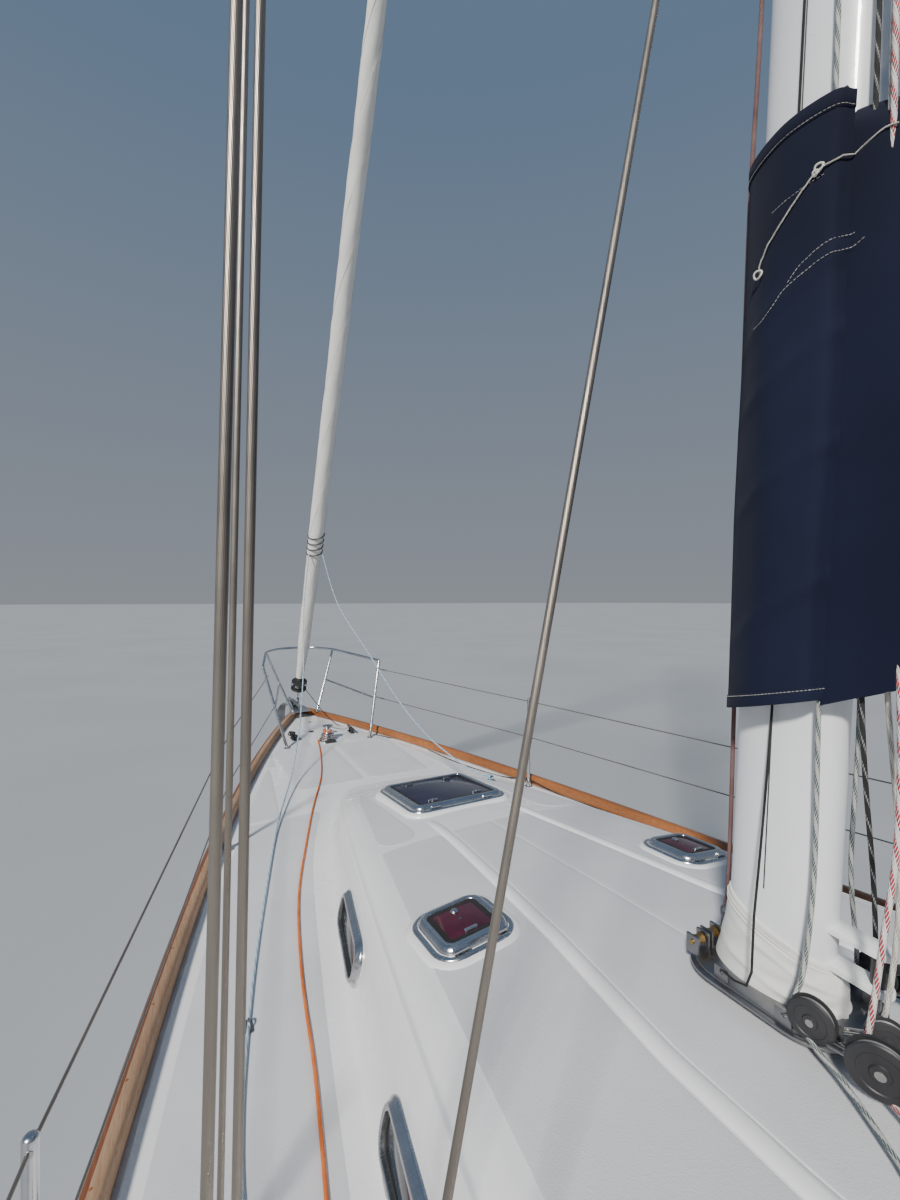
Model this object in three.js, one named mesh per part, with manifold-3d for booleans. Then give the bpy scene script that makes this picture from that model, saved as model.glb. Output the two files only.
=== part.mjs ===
// A cruising sloop about 14 m long, afloat, with its sails stowed.
// Millimetres. +X is starboard, +Y is forward, +Z is up.
// The origin is on the waterline, amidships, on the centreline.
import * as THREE from "three";
import { mergeVertices } from "three/addons/utils/BufferGeometryUtils.js";
import Module from "manifold-3d";

const wasm = await Module();
wasm.setup();

// Hull
const STEM_Y = 6900;
const LENGTH = 13900;
const HALF_BEAM = 2150;
const STEM_HALF_WIDTH = 50;
const MAX_BEAM_FROM_STEM = 8000;
const BOW_FULLNESS = 1.9;
const FULLNESS_FADE = 0.000085;
const TRANSOM_HALF_BEAM = 1500;
const RAIL_LOW = 1180;
const RAIL_LOW_FROM_STEM = 10000;
const BOW_RISE = 270;
const STERN_RISE = 50;
const CAPRAIL_HEIGHT = 72;
const CAPRAIL_WIDTH = 72;
const CANOE_DEPTH = 620;
const DEEPEST_FROM_STEM = 7500;
const TRANSOM_FOOT_Z = 150;
const TRANSOM_RAKE = 0.28;
const RAKED_FROM_Y = -5600;
const DRAUGHT = 2050;
const SEAT_GAP = 0.3;

// Deck and coachroof
const DECK_THICK = 30;
const DECK_CAMBER = 0.02;
const ROOF_Z = 1720;
const ROOF_SAG = 12.57;
const ROOF_CAMBER = 0.0917e-3;
const ROOF_INSET = 140;
const ROOF_WALL = 40;
const ROOF_FRONT_Y = 4250;
const ROOF_NOSE = 1250;
const BULKHEAD_Y = -2300;
const SOLE_Z = -300;
const BERTH_Z = 250;
const SILL_Z = 900;
const DOOR_HALF = 280;
const HATCH_SEAT = 13;
const LID_HEIGHT = 22;
const HINGE_OUT = 6;
const HINGE_UP = 10.5;
const HINGE_RADIUS = 8;

// Cockpit
const WELL_AFT_Y = -5650;
const SEAT_OUTER = 1000;
const SEAT_INNER = 430;
const COCKPIT_SOLE_Z = 420;
const SEAT_Z = 880;
const COAMING_Z = 1340;
const COAMING_WIDTH = 210;
const WINCH_Y = -3900;
const PEDESTAL_Y = -4550;
const WHEEL_Z = 1440;
const WHEEL_RADIUS = 500;

// Below the waterline
const STOCK_Y = -5850;
const STOCK_RADIUS = 34;
const BORE_GAP = 0.7;
const DRIVE_Y = -2700;
const DRIVE_Z = -1000;
const PROPELLER_RADIUS = 230;

// Rig
const MAST_Y = 1180;
const MAST_FOOT_Z = 1732;
const MAST_RAKE = 0.048;
const MAST_CHORD = 260;
const MAST_WIDTH = 150;
const MASTHEAD_Z = 17600;
const HOUNDS_Z = 14900;
const STAY_HEAD_Z = 14680;
const LOWER_SPREADER_Z = 6900;
const UPPER_SPREADER_Z = 11150;
const STAY_FOOT = { y: 6950, z: 1560 };
const STAY_SLOPE = 0.474;
const GOOSENECK_Z = 2700;
const HINGE_OFF_MAST = 90;
const VANG_DROP = 800;
const BOOM_LENGTH = 4900;
const BOOM_RISE = 0.078;
const COVER_FOOT_Z = 2470;
const COVER_HEAD_Z = 3930;
const LIFELINE_HEIGHT = 690;

const STEEL = { color: 0xb8bcc0, roughness: 0.25, metalness: 1 };
const GELCOAT = { color: 0xf0f0ee, roughness: 0.3, metalness: 0 };
const TEAK = { color: 0x9a5a2c, roughness: 0.6, metalness: 0 };
const NAVY = { color: 0x0f1838, roughness: 0.9, metalness: 0 };
const SPAR = { color: 0xe6e8ea, roughness: 0.35, metalness: 0 };
const ANTIFOULING = { color: 0x1d2a4a, roughness: 0.7, metalness: 0 };
const SAILCLOTH = { color: 0xe9e6da, roughness: 0.85, metalness: 0 };
const BLACK = { color: 0x1a1b1d, roughness: 0.5, metalness: 0 };
const TINTED = { color: 0x23202b, roughness: 0.1, metalness: 0 };
const BRONZE = { color: 0xb08d4a, roughness: 0.35, metalness: 1 };
const ORANGE = { color: 0xd9601f, roughness: 0.8, metalness: 0 };

const V = (x, y, z) => new THREE.Vector3(x, y, z);
const mix = (a, b, t) => a + (b - a) * t;
const clamp01 = (t) => Math.min(1, Math.max(0, t));
const ease = (t) => clamp01(t) ** 2 * (3 - 2 * clamp01(t));

// Joining and cutting closed meshes

function bare(geometry) {
  const copy = geometry.clone();
  copy.deleteAttribute("normal");
  copy.deleteAttribute("uv");
  return mergeVertices(copy, 1e-3);
}

function solidOf(geometry) {
  const merged = bare(geometry);
  const mesh = new wasm.Mesh({
    numProp: 3,
    vertProperties: merged.attributes.position.array,
    triVerts: new Uint32Array(merged.index.array),
  });
  return new wasm.Manifold(mesh);
}

function geometryOf(solid) {
  const mesh = solid.getMesh();
  const positions = new Float32Array(mesh.numVert * 3);
  for (let i = 0; i < mesh.numVert; i++) {
    positions.set(mesh.vertProperties.subarray(i * mesh.numProp, i * mesh.numProp + 3), i * 3);
  }
  const geometry = new THREE.BufferGeometry();
  geometry.setAttribute("position", new THREE.BufferAttribute(positions, 3));
  geometry.setIndex(new THREE.BufferAttribute(mesh.triVerts, 1));
  geometry.computeVertexNormals();
  return geometry;
}

const join = (pieces) => geometryOf(pieces.map(solidOf).reduce((a, b) => a.add(b)));
const cut = (body, tools) => geometryOf(tools.map(solidOf).reduce((a, b) => a.subtract(b), solidOf(body)));
const common = (a, b) => geometryOf(solidOf(a).intersect(solidOf(b)));
const moved = (geometry, x, y, z) => geometry.clone().translate(x, y, z);

function turnedInsideOut(geometry) {
  const index = geometry.index.array;
  for (let i = 0; i < index.length; i += 3) {
    [index[i + 1], index[i + 2]] = [index[i + 2], index[i + 1]];
  }
  return geometry;
}

const mirrored = (geometry) => turnedInsideOut(bare(geometry).scale(-1, 1, 1));

// Plain shapes

function block(x0, x1, y0, y1, z0, z1) {
  const box = new THREE.BoxGeometry(x1 - x0, y1 - y0, z1 - z0);
  return box.translate((x0 + x1) / 2, (y0 + y1) / 2, (z0 + z1) / 2);
}

// A straight round bar between two points, which can taper.
function bar(from, to, radius, sides = 8, endRadius = radius) {
  const along = to.clone().sub(from);
  const rod = new THREE.CylinderGeometry(endRadius, radius, along.length(), sides);
  rod.applyQuaternion(new THREE.Quaternion().setFromUnitVectors(V(0, 1, 0), along.normalize()));
  const middle = from.clone().add(to).multiplyScalar(0.5);
  return rod.translate(middle.x, middle.y, middle.z);
}

// A round bar bent at each of its points, with mitred corners.
function bentBar(points, radius, sides = 8) {
  let across = V(0.31, 0.17, 0.93);
  const rings = points.map((p, i) => {
    const before = points[Math.max(0, i - 1)];
    const after = points[Math.min(points.length - 1, i + 1)];
    const into = p.clone().sub(before).normalize();
    const out = after.clone().sub(p).normalize();
    const along = into.clone().add(out).normalize();
    const tight = i > 0 && i + 1 < points.length ? 1 / Math.max(0.5, along.dot(into)) : 1;
    across = across.addScaledVector(along, -across.dot(along)).normalize().clone();
    const bend = out.clone().sub(into);
    bend.addScaledVector(along, -bend.dot(along));
    if (bend.lengthSq() > 0) bend.normalize();
    return Array.from({ length: sides }, (_, j) => {
      const spoke = across.clone().applyAxisAngle(along, (j / sides) * 2 * Math.PI).multiplyScalar(radius);
      spoke.addScaledVector(bend, spoke.dot(bend) * (tight - 1));
      return spoke.add(p);
    });
  });
  return loft(rings);
}

// A closed skin over rings that all have the same number of points, with flat ends.
function loft(rings) {
  const count = rings[0].length;
  const positions = rings.flat().flatMap((p) => [p.x, p.y, p.z]);
  const faces = [];
  for (let i = 0; i + 1 < rings.length; i++) {
    for (let j = 0; j < count; j++) {
      const a = i * count + j;
      const b = i * count + ((j + 1) % count);
      faces.push(a, b, b + count, a, b + count, a + count);
    }
  }
  const outline = (ring) => {
    const normal = V(0, 0, 0);
    ring.forEach((p, j) => normal.add(p.clone().cross(ring[(j + 1) % count])));
    const u = ring[1].clone().sub(ring[0]).normalize();
    const w = normal.normalize().clone().cross(u);
    return ring.map((p) => new THREE.Vector2(p.dot(u), p.dot(w)));
  };
  for (const [ring, start, flip] of [[rings[0], 0, true], [rings.at(-1), (rings.length - 1) * count, false]]) {
    for (const [a, b, c] of THREE.ShapeUtils.triangulateShape(outline(ring), [])) {
      faces.push(start + a, start + (flip ? c : b), start + (flip ? b : c));
    }
  }
  const geometry = new THREE.BufferGeometry();
  geometry.setAttribute("position", new THREE.Float32BufferAttribute(positions, 3));
  geometry.setIndex(faces);
  return solidOf(geometry).volume() < 0 ? turnedInsideOut(geometry) : geometry;
}

// A flat plate with round corners, its lower face at z = 0.
function plate(width, length, height, corner) {
  const w = width / 2;
  const l = length / 2;
  const shape = new THREE.Shape();
  shape.moveTo(w - corner, -l);
  shape.absarc(w - corner, -l + corner, corner, -Math.PI / 2, 0);
  shape.absarc(w - corner, l - corner, corner, 0, Math.PI / 2);
  shape.absarc(-w + corner, l - corner, corner, Math.PI / 2, Math.PI);
  shape.absarc(-w + corner, -l + corner, corner, Math.PI, 1.5 * Math.PI);
  return new THREE.ExtrudeGeometry(shape, { depth: height, bevelEnabled: false, curveSegments: 1 });
}

// A solid of revolution about the vertical axis, from [radius, height] pairs.
function turned(profile, sides = 20) {
  const points = profile.map(([r, z]) => new THREE.Vector2(r, z));
  return new THREE.LatheGeometry(points, sides).rotateX(Math.PI / 2);
}

const yacht = new THREE.Group();

function addNode(name, geometry, finish, parent = yacht) {
  const mesh = new THREE.Mesh(geometry, new THREE.MeshStandardMaterial(finish));
  mesh.name = name;
  parent.add(mesh);
  return mesh;
}

function groupAt(place, rotation = [0, 0, 0]) {
  const group = new THREE.Group();
  group.position.copy(place);
  group.rotation.set(...rotation);
  yacht.add(group);
  return group;
}

// The hull's lines, each a function of y

function sheerHalf(y) {
  const d = STEM_Y - y;
  if (d <= MAX_BEAM_FROM_STEM) {
    const fullness = BOW_FULLNESS - FULLNESS_FADE * d;
    const share = 1 - Math.max(0, 1 - d / MAX_BEAM_FROM_STEM) ** fullness;
    return mix(STEM_HALF_WIDTH, HALF_BEAM, share);
  }
  const aft = (d - MAX_BEAM_FROM_STEM) / (LENGTH - MAX_BEAM_FROM_STEM);
  return mix(HALF_BEAM, TRANSOM_HALF_BEAM, aft ** 2.2);
}

function railTop(y) {
  const d = STEM_Y - y;
  const forward = Math.max(0, 1 - d / RAIL_LOW_FROM_STEM);
  const aft = Math.max(0, (d - RAIL_LOW_FROM_STEM) / (LENGTH - RAIL_LOW_FROM_STEM));
  return RAIL_LOW + BOW_RISE * forward ** 1.54 + STERN_RISE * aft ** 2;
}

const sheerZ = (y) => railTop(y) - CAPRAIL_HEIGHT;

function keelLine(y) {
  const d = STEM_Y - y;
  if (d < DEEPEST_FROM_STEM) {
    const rise = sheerZ(STEM_Y) + CANOE_DEPTH;
    return -CANOE_DEPTH + rise * (1 - d / DEEPEST_FROM_STEM) ** 6.5;
  }
  const aft = (d - DEEPEST_FROM_STEM) / (LENGTH - DEEPEST_FROM_STEM);
  return mix(-CANOE_DEPTH, TRANSOM_FOOT_Z, aft ** 2.2);
}

function deckZ(x, y) {
  const half = sheerHalf(y);
  return sheerZ(y) + DECK_CAMBER * half * (1 - Math.min(1, (x / half) ** 2));
}

// The transom leans forward towards its top.
function hullPoint(x, y, z) {
  const stern = clamp01((RAKED_FROM_Y - y) / (RAKED_FROM_Y - STEM_Y + LENGTH));
  return V(x, y + stern ** 2 * Math.max(0, z - TRANSOM_FOOT_Z) * TRANSOM_RAKE, z);
}

const HULL_STATIONS = [
  0, 60, 160, 320, 560, 900, 1350, 1900, 2600, 3400, 4300, 5300, 6400, 7500, 8600, 9700, 10800, 11800, 12600,
  13300, LENGTH,
];
const CROWN_SHARES = [0.75, 0.5, 0.25, 0, -0.25, -0.5, -0.75];
const SIDE_POINTS = 11;

function hullRing(y) {
  const half = sheerHalf(y);
  const top = sheerZ(y) - DECK_THICK;
  const foot = Math.min(keelLine(y), top - 90);
  const fullness = ease((STEM_Y - y) / 6000);
  const acrossPower = 2 / mix(1.22, 2.35, fullness);
  const downPower = 2 / mix(1.4, 1.95, fullness);
  const side = Array.from({ length: SIDE_POINTS + 1 }, (_, i) => {
    const angle = (i / SIDE_POINTS) * (Math.PI / 2);
    const x = half * Math.sin(angle) ** acrossPower;
    const z = top - (top - foot) * Math.max(0, Math.cos(angle)) ** downPower;
    return [x, z];
  });
  const crown = CROWN_SHARES.map((s) => [s * half, deckZ(s * half, y) - DECK_THICK]);
  const port = side.slice(1).reverse().map(([x, z]) => [-x, z]);
  return [...side, ...crown, ...port].map(([x, z]) => hullPoint(x, y, z));
}

// A slab under the deck's surface, its top lifted by so much.
function deckSlab(lift, depth) {
  const rings = HULL_STATIONS.map((d) => {
    const y = STEM_Y - d;
    const half = sheerHalf(y);
    const across = [1, ...CROWN_SHARES, -1];
    const top = across.map((s) => hullPoint(s * half, y, deckZ(s * half, y) + lift));
    const under = across.map((s) => hullPoint(s * half, y, deckZ(s * half, y) + lift - depth));
    return [...top, ...under.reverse()];
  });
  return loft(rings);
}

const hullBody = loft(HULL_STATIONS.map((d) => hullRing(STEM_Y - d)));
const deckSheet = deckSlab(0, DECK_THICK - SEAT_GAP);
const deckTool = deckSlab(SEAT_GAP, 500);
const onDeck = (piece) => cut(piece, [deckTool]);

// Coachroof sections

const roofHalf = (y) => 1190 - 0.1024 * y - 17.1e-6 * y * y;
const roofTop = (y) => ROOF_Z - ROOF_SAG * (Math.max(0, y) / 1000) ** 2;
const roofZ = (x, y) => roofTop(y) - ROOF_CAMBER * x * x;

// A section has side walls that lean in, a rounded shoulder and a cambered top.
function roofRing(y, wall = 0) {
  const nose = clamp01(1 - (ROOF_FRONT_Y - y) / ROOF_NOSE);
  const lower = (1 - nose ** 2.2) ** 0.62;
  const foot = mix(roofHalf(y), 0.72 * roofHalf(y), nose ** 2.6) - wall;
  const edge = foot - ROOF_INSET * mix(1, 0.8, nose);
  const deckTop = deckZ(0, y);
  const crown = mix(deckTop - 20, roofTop(y), lower) - wall;
  const base = deckTop - 120 - wall;
  const shoulder = crown - ROOF_CAMBER * edge * edge;
  const half = [
    [foot, base],
    [mix(edge, foot, 0.35), Math.max(base + 20, shoulder - 75)],
    [mix(edge, foot, 0.08), Math.max(base + 30, shoulder - 22)],
    [edge - 55, crown - ROOF_CAMBER * (edge - 55) ** 2],
    [edge * 0.62, crown - ROOF_CAMBER * (edge * 0.62) ** 2],
    [edge * 0.3, crown - ROOF_CAMBER * (edge * 0.3) ** 2],
  ];
  const starboard = half.map(([x, z]) => V(x, y, z));
  const port = half.map(([x, z]) => V(-x, y, z)).reverse();
  return [...starboard, V(0, y, crown), ...port];
}

const ROOF_STATIONS = [4249, 4200, 4080, 3900, 3650, 3350, 3000, 2500, 1900, 1200, 400, -400, -1400, BULKHEAD_Y];
const roofBody = loft(ROOF_STATIONS.map((y) => roofRing(y)));
const roofTool = moved(roofBody, 0, 0, SEAT_GAP);
const onRoof = (piece) => cut(piece, [roofTool]);

// Deck hatches: the centre of each and the size of its lid.
const HATCHES = [
  { name: "forward", x: 0, y: 3130, width: 544, length: 503 },
  { name: "port", x: -564, y: 1893, width: 240, length: 228 },
  { name: "starboard", x: 564, y: 1893, width: 240, length: 228 },
  { name: "saloon", x: 0, y: 100, width: 500, length: 500 },
];

const hatchTilt = ({ x, y }) => [
  Math.atan((-2 * ROOF_SAG * Math.max(0, y)) / 1e6),
  Math.atan(2 * ROOF_CAMBER * x),
  0,
];
const hatchMatrix = (hatch) => {
  const turn = new THREE.Matrix4().makeRotationFromEuler(new THREE.Euler(...hatchTilt(hatch)));
  return turn.setPosition(hatch.x, hatch.y, roofZ(hatch.x, hatch.y));
};

// Side windows along the coachroof: the middle of each.
const WINDOW_Y = [2410, 1450, 490, -470, -1430];
const WINDOW_LENGTH = 430;
const WINDOW_HEIGHT = 130;

function windowCut(y) {
  const x = roofHalf(y) - ROOF_INSET * 0.5;
  const hole = plate(WINDOW_HEIGHT, WINDOW_LENGTH, 300, 50).translate(0, 0, -150);
  hole.rotateY(Math.PI / 2 - Math.atan2(ROOF_INSET, 380));
  hole.rotateZ(Math.atan2(roofHalf(y + 200) - roofHalf(y - 200), 400) * -1);
  return hole.translate(x, y, deckZ(x, y) + 165);
}

const mastAxis = (z) => MAST_Y - MAST_RAKE * (z - MAST_FOOT_Z);

function mastRing(z, grow = 0, size = 1) {
  return Array.from({ length: 20 }, (_, i) => {
    const a = (i / 20) * 2 * Math.PI;
    const x = (MAST_WIDTH / 2 + grow) * size * Math.sign(Math.cos(a)) * Math.abs(Math.cos(a)) ** 0.85;
    const y = (MAST_CHORD / 2 + grow) * size * Math.sign(Math.sin(a)) * Math.abs(Math.sin(a)) ** 0.92;
    return V(x, mastAxis(z) + y, z);
  });
}

const mastHole = (grow) => loft([mastRing(SOLE_Z + 300, grow), mastRing(4500, grow)]);

// Hull, deck and coachroof

const wellCut = join([
  block(-SEAT_INNER, SEAT_INNER, WELL_AFT_Y, BULKHEAD_Y, COCKPIT_SOLE_Z, 3000),
  block(-SEAT_OUTER, SEAT_OUTER, WELL_AFT_Y, BULKHEAD_Y, SEAT_Z, 3000),
]);
const LOCKER = { x0: 500, x1: 940, y0: -3600, y1: -2600, depth: 380 };
const LID_LAP = 25;
const anchorWell = (grow) => block(-140 - grow, 140 + grow, 5960 - grow, 6400 + grow, 980, 2000);
const doorCut = block(-DOOR_HALF, DOOR_HALF, BULKHEAD_Y - 100, BULKHEAD_Y + 80, SILL_Z, 2000);

// The spaces that the two inner mouldings fill inside the hull, or larger by a gap
const cabinSpace = (gap) => join([
  block(-560 - gap, 560 + gap, BULKHEAD_Y - gap, 2480 + gap, SOLE_Z - 120 - gap, BERTH_Z),
  block(-1200 - gap, 1200 + gap, BULKHEAD_Y - gap, 1880 + gap, BERTH_Z - 190 - gap, 2000),
  block(-740 - gap, 740 + gap, 1800, 3380 + gap, BERTH_Z - 190 - gap, 2000),
]);
const cockpitSpace = (gap) => block(
  -1200 - gap, 1200 + gap, WELL_AFT_Y - 150 - gap, BULKHEAD_Y - SEAT_GAP, COCKPIT_SOLE_Z - 150 - gap, 2000,
);

function hull() {
  const stockBore = bar(V(0, STOCK_Y, -400), V(0, STOCK_Y, 260), STOCK_RADIUS + BORE_GAP, 20);
  return cut(hullBody, [cabinSpace(SEAT_GAP), cockpitSpace(SEAT_GAP), stockBore, anchorWell(-14)]);
}

function cabinMoulding() {
  return cut(common(hullBody, cabinSpace(0)), [
    block(-430, 430, BULKHEAD_Y + 60, 2300, SOLE_Z, BERTH_Z + 1),
    block(-1000, 1000, BULKHEAD_Y + 60, 1701, BERTH_Z, 2000),
    block(-560, 560, 1700, 3200, BERTH_Z, 2000),
    doorCut,
  ]);
}

function cockpitMoulding() {
  const locker = block(LOCKER.x0, LOCKER.x1, LOCKER.y0, LOCKER.y1, SEAT_Z - LOCKER.depth, SEAT_Z + 1);
  return cut(common(hullBody, cockpitSpace(0)), [wellCut, locker, mirrored(locker)]);
}

function deck() {
  const stations = [3800, 3200, 2500, 1600, 400, -1000, BULKHEAD_Y + 60];
  const underRoof = loft(stations.map((y) => {
    const half = roofHalf(y) * (y > 3300 ? 0.6 : 1) - 70;
    return [V(-half, y, 900), V(half, y, 900), V(half, y, 2000), V(-half, y, 2000)];
  }));
  return cut(deckSheet, [underRoof, wellCut, doorCut, anchorWell(0)]);
}

function coachroof() {
  const innerStations = [3650, 3000, 1900, 400, -1000, BULKHEAD_Y + ROOF_WALL];
  const inner = loft(innerStations.map((y) => roofRing(y, ROOF_WALL)));
  const mastPad = plate(620, 640, 200, 120).translate(0, MAST_Y - 30, MAST_FOOT_Z - 200);
  const seats = HATCHES.map((hatch) => {
    const seat = plate(hatch.width + 36, hatch.length + 36, 60 + HATCH_SEAT, 50);
    return seat.translate(0, 0, -60).applyMatrix4(hatchMatrix(hatch));
  });
  const rail = block(DOOR_HALF + 8, DOOR_HALF + 44, BULKHEAD_Y, -900, ROOF_Z - 60, ROOF_Z + 28);
  const body = join([cut(roofBody, [inner]), mastPad, ...seats, rail, mirrored(rail)]);
  const holes = HATCHES.map((hatch) => {
    const hole = plate(hatch.width - 60, hatch.length - 60, 500, 35);
    return hole.translate(0, 0, -300).applyMatrix4(hatchMatrix(hatch));
  });
  const windows = WINDOW_Y.map(windowCut);
  const slideHole = block(-DOOR_HALF, DOOR_HALF, BULKHEAD_Y - 50, -1660, 1500, 2000);
  return cut(body, [
    ...holes, ...windows, ...windows.map(mirrored), slideHole, doorCut, mastHole(5), deckTool,
    block(-3000, 3000, -3000, 4800, 0, 1100),
  ]);
}

function coaming() {
  const inner = SEAT_OUTER;
  const outer = inner + COAMING_WIDTH;
  const ring = (y) => {
    const top = COAMING_Z + 0.02 * (y - WELL_AFT_Y);
    return [
      V(inner, y, 1000), V(outer + 30, y, 1000), V(outer + 5, y, top - 25), V(outer - 20, y, top), V(inner, y, top),
    ];
  };
  const side = loft([ring(BULKHEAD_Y - SEAT_GAP), ring(WELL_AFT_Y - 140)]);
  const aft = block(-outer, outer, WELL_AFT_Y - 140, WELL_AFT_Y, 1000, COAMING_Z - 20);
  const winchBase = turned([[0, 1200], [98, 1200], [98, 1384], [86, 1396], [0, 1396]]);
  const base = winchBase.translate(inner + COAMING_WIDTH / 2, WINCH_Y, 0);
  return onDeck(join([side, mirrored(side), aft, base, mirrored(base)]));
}

function winchDrum() {
  return turned([[0, 0], [78, 0], [78, 22], [52, 44], [48, 110], [60, 142], [66, 150], [66, 172], [30, 180], [0, 180]]);
}

function seaHood() {
  const top = ROOF_Z + 84;
  const shell = cut(block(-385, 385, -1640, -860, ROOF_Z - 60, top), [
    block(-362, 362, -1700, -885, ROOF_Z - 100, top - 20),
  ]);
  return onRoof(shell);
}

function slide() {
  const panel = block(-325, 325, BULKHEAD_Y - 30, -1645, 0, 22);
  const lip = block(-325, 325, BULKHEAD_Y - 30, BULKHEAD_Y - 10, 0, 40);
  return join([panel, lip]).translate(0, 0, ROOF_Z + 28 + SEAT_GAP);
}

function washboards() {
  const half = DOOR_HALF - SEAT_GAP;
  return block(-half, half, BULKHEAD_Y + 8, BULKHEAD_Y + 33, SILL_Z + SEAT_GAP, ROOF_Z + 18);
}

// The lid turns about the two knuckles at its aft edge, where the origin is.
function hatchLid({ width, length }) {
  const rim = plate(width, length, LID_HEIGHT, 45).translate(0, length / 2 + HINGE_OUT, -HINGE_UP);
  const knuckles = [-0.3, 0.3].map((s) => bar(V(s * width - 26, 0, 0), V(s * width + 26, 0, 0), HINGE_RADIUS, 8));
  return join([rim, ...knuckles]);
}

// The lid fills its opening in the deck, less a running gap all round.
function anchorLid() {
  const gap = 6;
  const prism = block(-140 + gap, 140 - gap, 5960 + gap, 6400 - gap, 1000, 2000);
  return moved(common(deckSheet, prism), 0, 0, SEAT_GAP);
}

function seatLid() {
  const width = LOCKER.x1 - LOCKER.x0 + 2 * LID_LAP;
  const length = LOCKER.y1 - LOCKER.y0 + 2 * LID_LAP;
  return block(-width, 0, -length / 2, length / 2, 0, 22);
}

// Toe rails, deck fittings and rails

function caprail() {
  const stations = [90, 200, ...HULL_STATIONS.filter((d) => d > 300 && d < LENGTH), LENGTH - 30];
  const rings = stations.map((d) => {
    const y = STEM_Y - d;
    const outer = sheerHalf(y) - 4;
    const inner = outer - CAPRAIL_WIDTH;
    const z = sheerZ(y);
    const top = z + CAPRAIL_HEIGHT;
    return [
      hullPoint(outer, y, z - 20), hullPoint(outer, y, top - 14), hullPoint(outer - 12, y, top),
      hullPoint(inner + 12, y, top), hullPoint(inner, y, top - 14), hullPoint(inner, y, z - 20),
    ];
  });
  return onDeck(loft(rings));
}

function stemhead() {
  const z = railTop(STEM_Y - 90) + SEAT_GAP;
  const base = block(-118, 62, 6540, 6990, z, z + 8);
  const cheeks = [-112, -44].map((x) => block(x - 4, x + 4, 6700, 7090, z, z + 80));
  const roller = bar(V(-112, 7045, z + 26), V(-44, 7045, z + 26), 24, 12);
  const tang = block(-8, 8, STAY_FOOT.y - 45, STAY_FOOT.y + 32, z, STAY_FOOT.z - 12);
  return join([base, ...cheeks, roller, tang]);
}

// A claw anchor: its shank lies on the roller and the flukes hang ahead of the stem.
function anchor() {
  const z = railTop(STEM_Y - 90) + SEAT_GAP + 48 + SEAT_GAP;
  const x = -78;
  const shank = loft([
    [V(x - 9, 6560, z + 8), V(x + 9, 6560, z + 8), V(x + 9, 6560, z + 42), V(x - 9, 6560, z + 42)],
    [V(x - 11, 7060, z + 2), V(x + 11, 7060, z + 2), V(x + 11, 7060, z + 52), V(x - 11, 7060, z + 52)],
    [V(x - 11, 7150, z - 60), V(x + 11, 7150, z - 60), V(x + 11, 7200, z - 20), V(x - 11, 7200, z - 20)],
  ]);
  const crown = bar(V(x - 70, 7165, z - 60), V(x + 70, 7165, z - 60), 17, 8);
  const fluke = (side) => loft([
    [V(x + 20 * side, 7186, z - 60), V(x + 88 * side, 7176, z - 60), V(x + 88 * side, 7154, z - 60),
      V(x + 20 * side, 7160, z - 60)],
    [V(x + 30 * side, 7200, z - 190), V(x + 150 * side, 7160, z - 170), V(x + 150 * side, 7142, z - 170),
      V(x + 30 * side, 7180, z - 190)],
    [V(x + 30 * side, 7120, z - 330), V(x + 100 * side, 7098, z - 300), V(x + 100 * side, 7088, z - 300),
      V(x + 30 * side, 7106, z - 330)],
  ]);
  return join([shank, crown, fluke(1), fluke(-1)]);
}

const WINDLASS_Y = 5600;

function windlass() {
  const z = deckZ(0, WINDLASS_Y);
  const body = turned([
    [0, z - 40], [84, z - 40], [84, z + 22], [60, z + 34], [60, z + 62], [40, z + 74], [36, z + 112], [52, z + 134],
    [52, z + 146], [0, z + 152],
  ], 16);
  return onDeck(body.translate(0, WINDLASS_Y, 0));
}

const BOW_CLEAT = { x: 300, y: 5780 };

function bowCleat() {
  const { x, y } = BOW_CLEAT;
  const z = deckZ(x, y);
  const base = block(x - 22, x + 22, y - 75, y + 75, z - 25, z + 9);
  const legs = [-38, 38].map((dy) => block(x - 13, x + 13, y + dy - 13, y + dy + 13, z, z + 50));
  const horn = block(x - 13, x + 13, y - 118, y + 118, z + 42, z + 62);
  return onDeck(join([base, ...legs, horn]));
}

const PULPIT = {
  aftFoot: [415, 5510],
  aftTop: [600, 5730],
  foreFoot: [138, 6560],
  foreTop: [400, 6820],
  nose: [190, 7080],
};

const railHeight = (y) => railTop(y) + LIFELINE_HEIGHT;

function leg([fx, fy], [tx, ty], sign, footZ = deckZ(fx, fy) - 30) {
  return bar(V(sign * fx, fy, footZ), V(sign * tx, ty, railHeight(ty)), 14, 6);
}

function pulpit() {
  const { aftFoot, aftTop, foreFoot, foreTop, nose } = PULPIT;
  const at = ([x, y], sign) => V(sign * x, y, railHeight(y));
  const onRail = railTop(foreFoot[1]) - 20;
  const middle = (sign) => {
    const low = (foot, top, z) => V(
      sign * mix(foot[0], top[0], 0.5), mix(foot[1], top[1], 0.5), mix(z, railHeight(top[1]), 0.5),
    );
    return bar(low(aftFoot, aftTop, deckZ(...aftFoot)), low(foreFoot, foreTop, onRail), 11, 6);
  };
  const side = (sign) => [
    leg(aftFoot, aftTop, sign), leg(foreFoot, foreTop, sign, onRail), middle(sign),
  ];
  const loop = [at(aftTop, 1), at(foreTop, 1), at(nose, 1), at(nose, -1), at(foreTop, -1), at(aftTop, -1)];
  const frame = onDeck(join([bentBar(loop, 14, 6), ...side(1), ...side(-1)]));
  const rail = moved(caprail(), 0, 0, SEAT_GAP);
  return cut(frame, [rail, mirrored(rail)]);
}

const PUSHPIT = [[1746, -5300], [1520, -6330], [1270, -6610], [460, -6610]];

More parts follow.
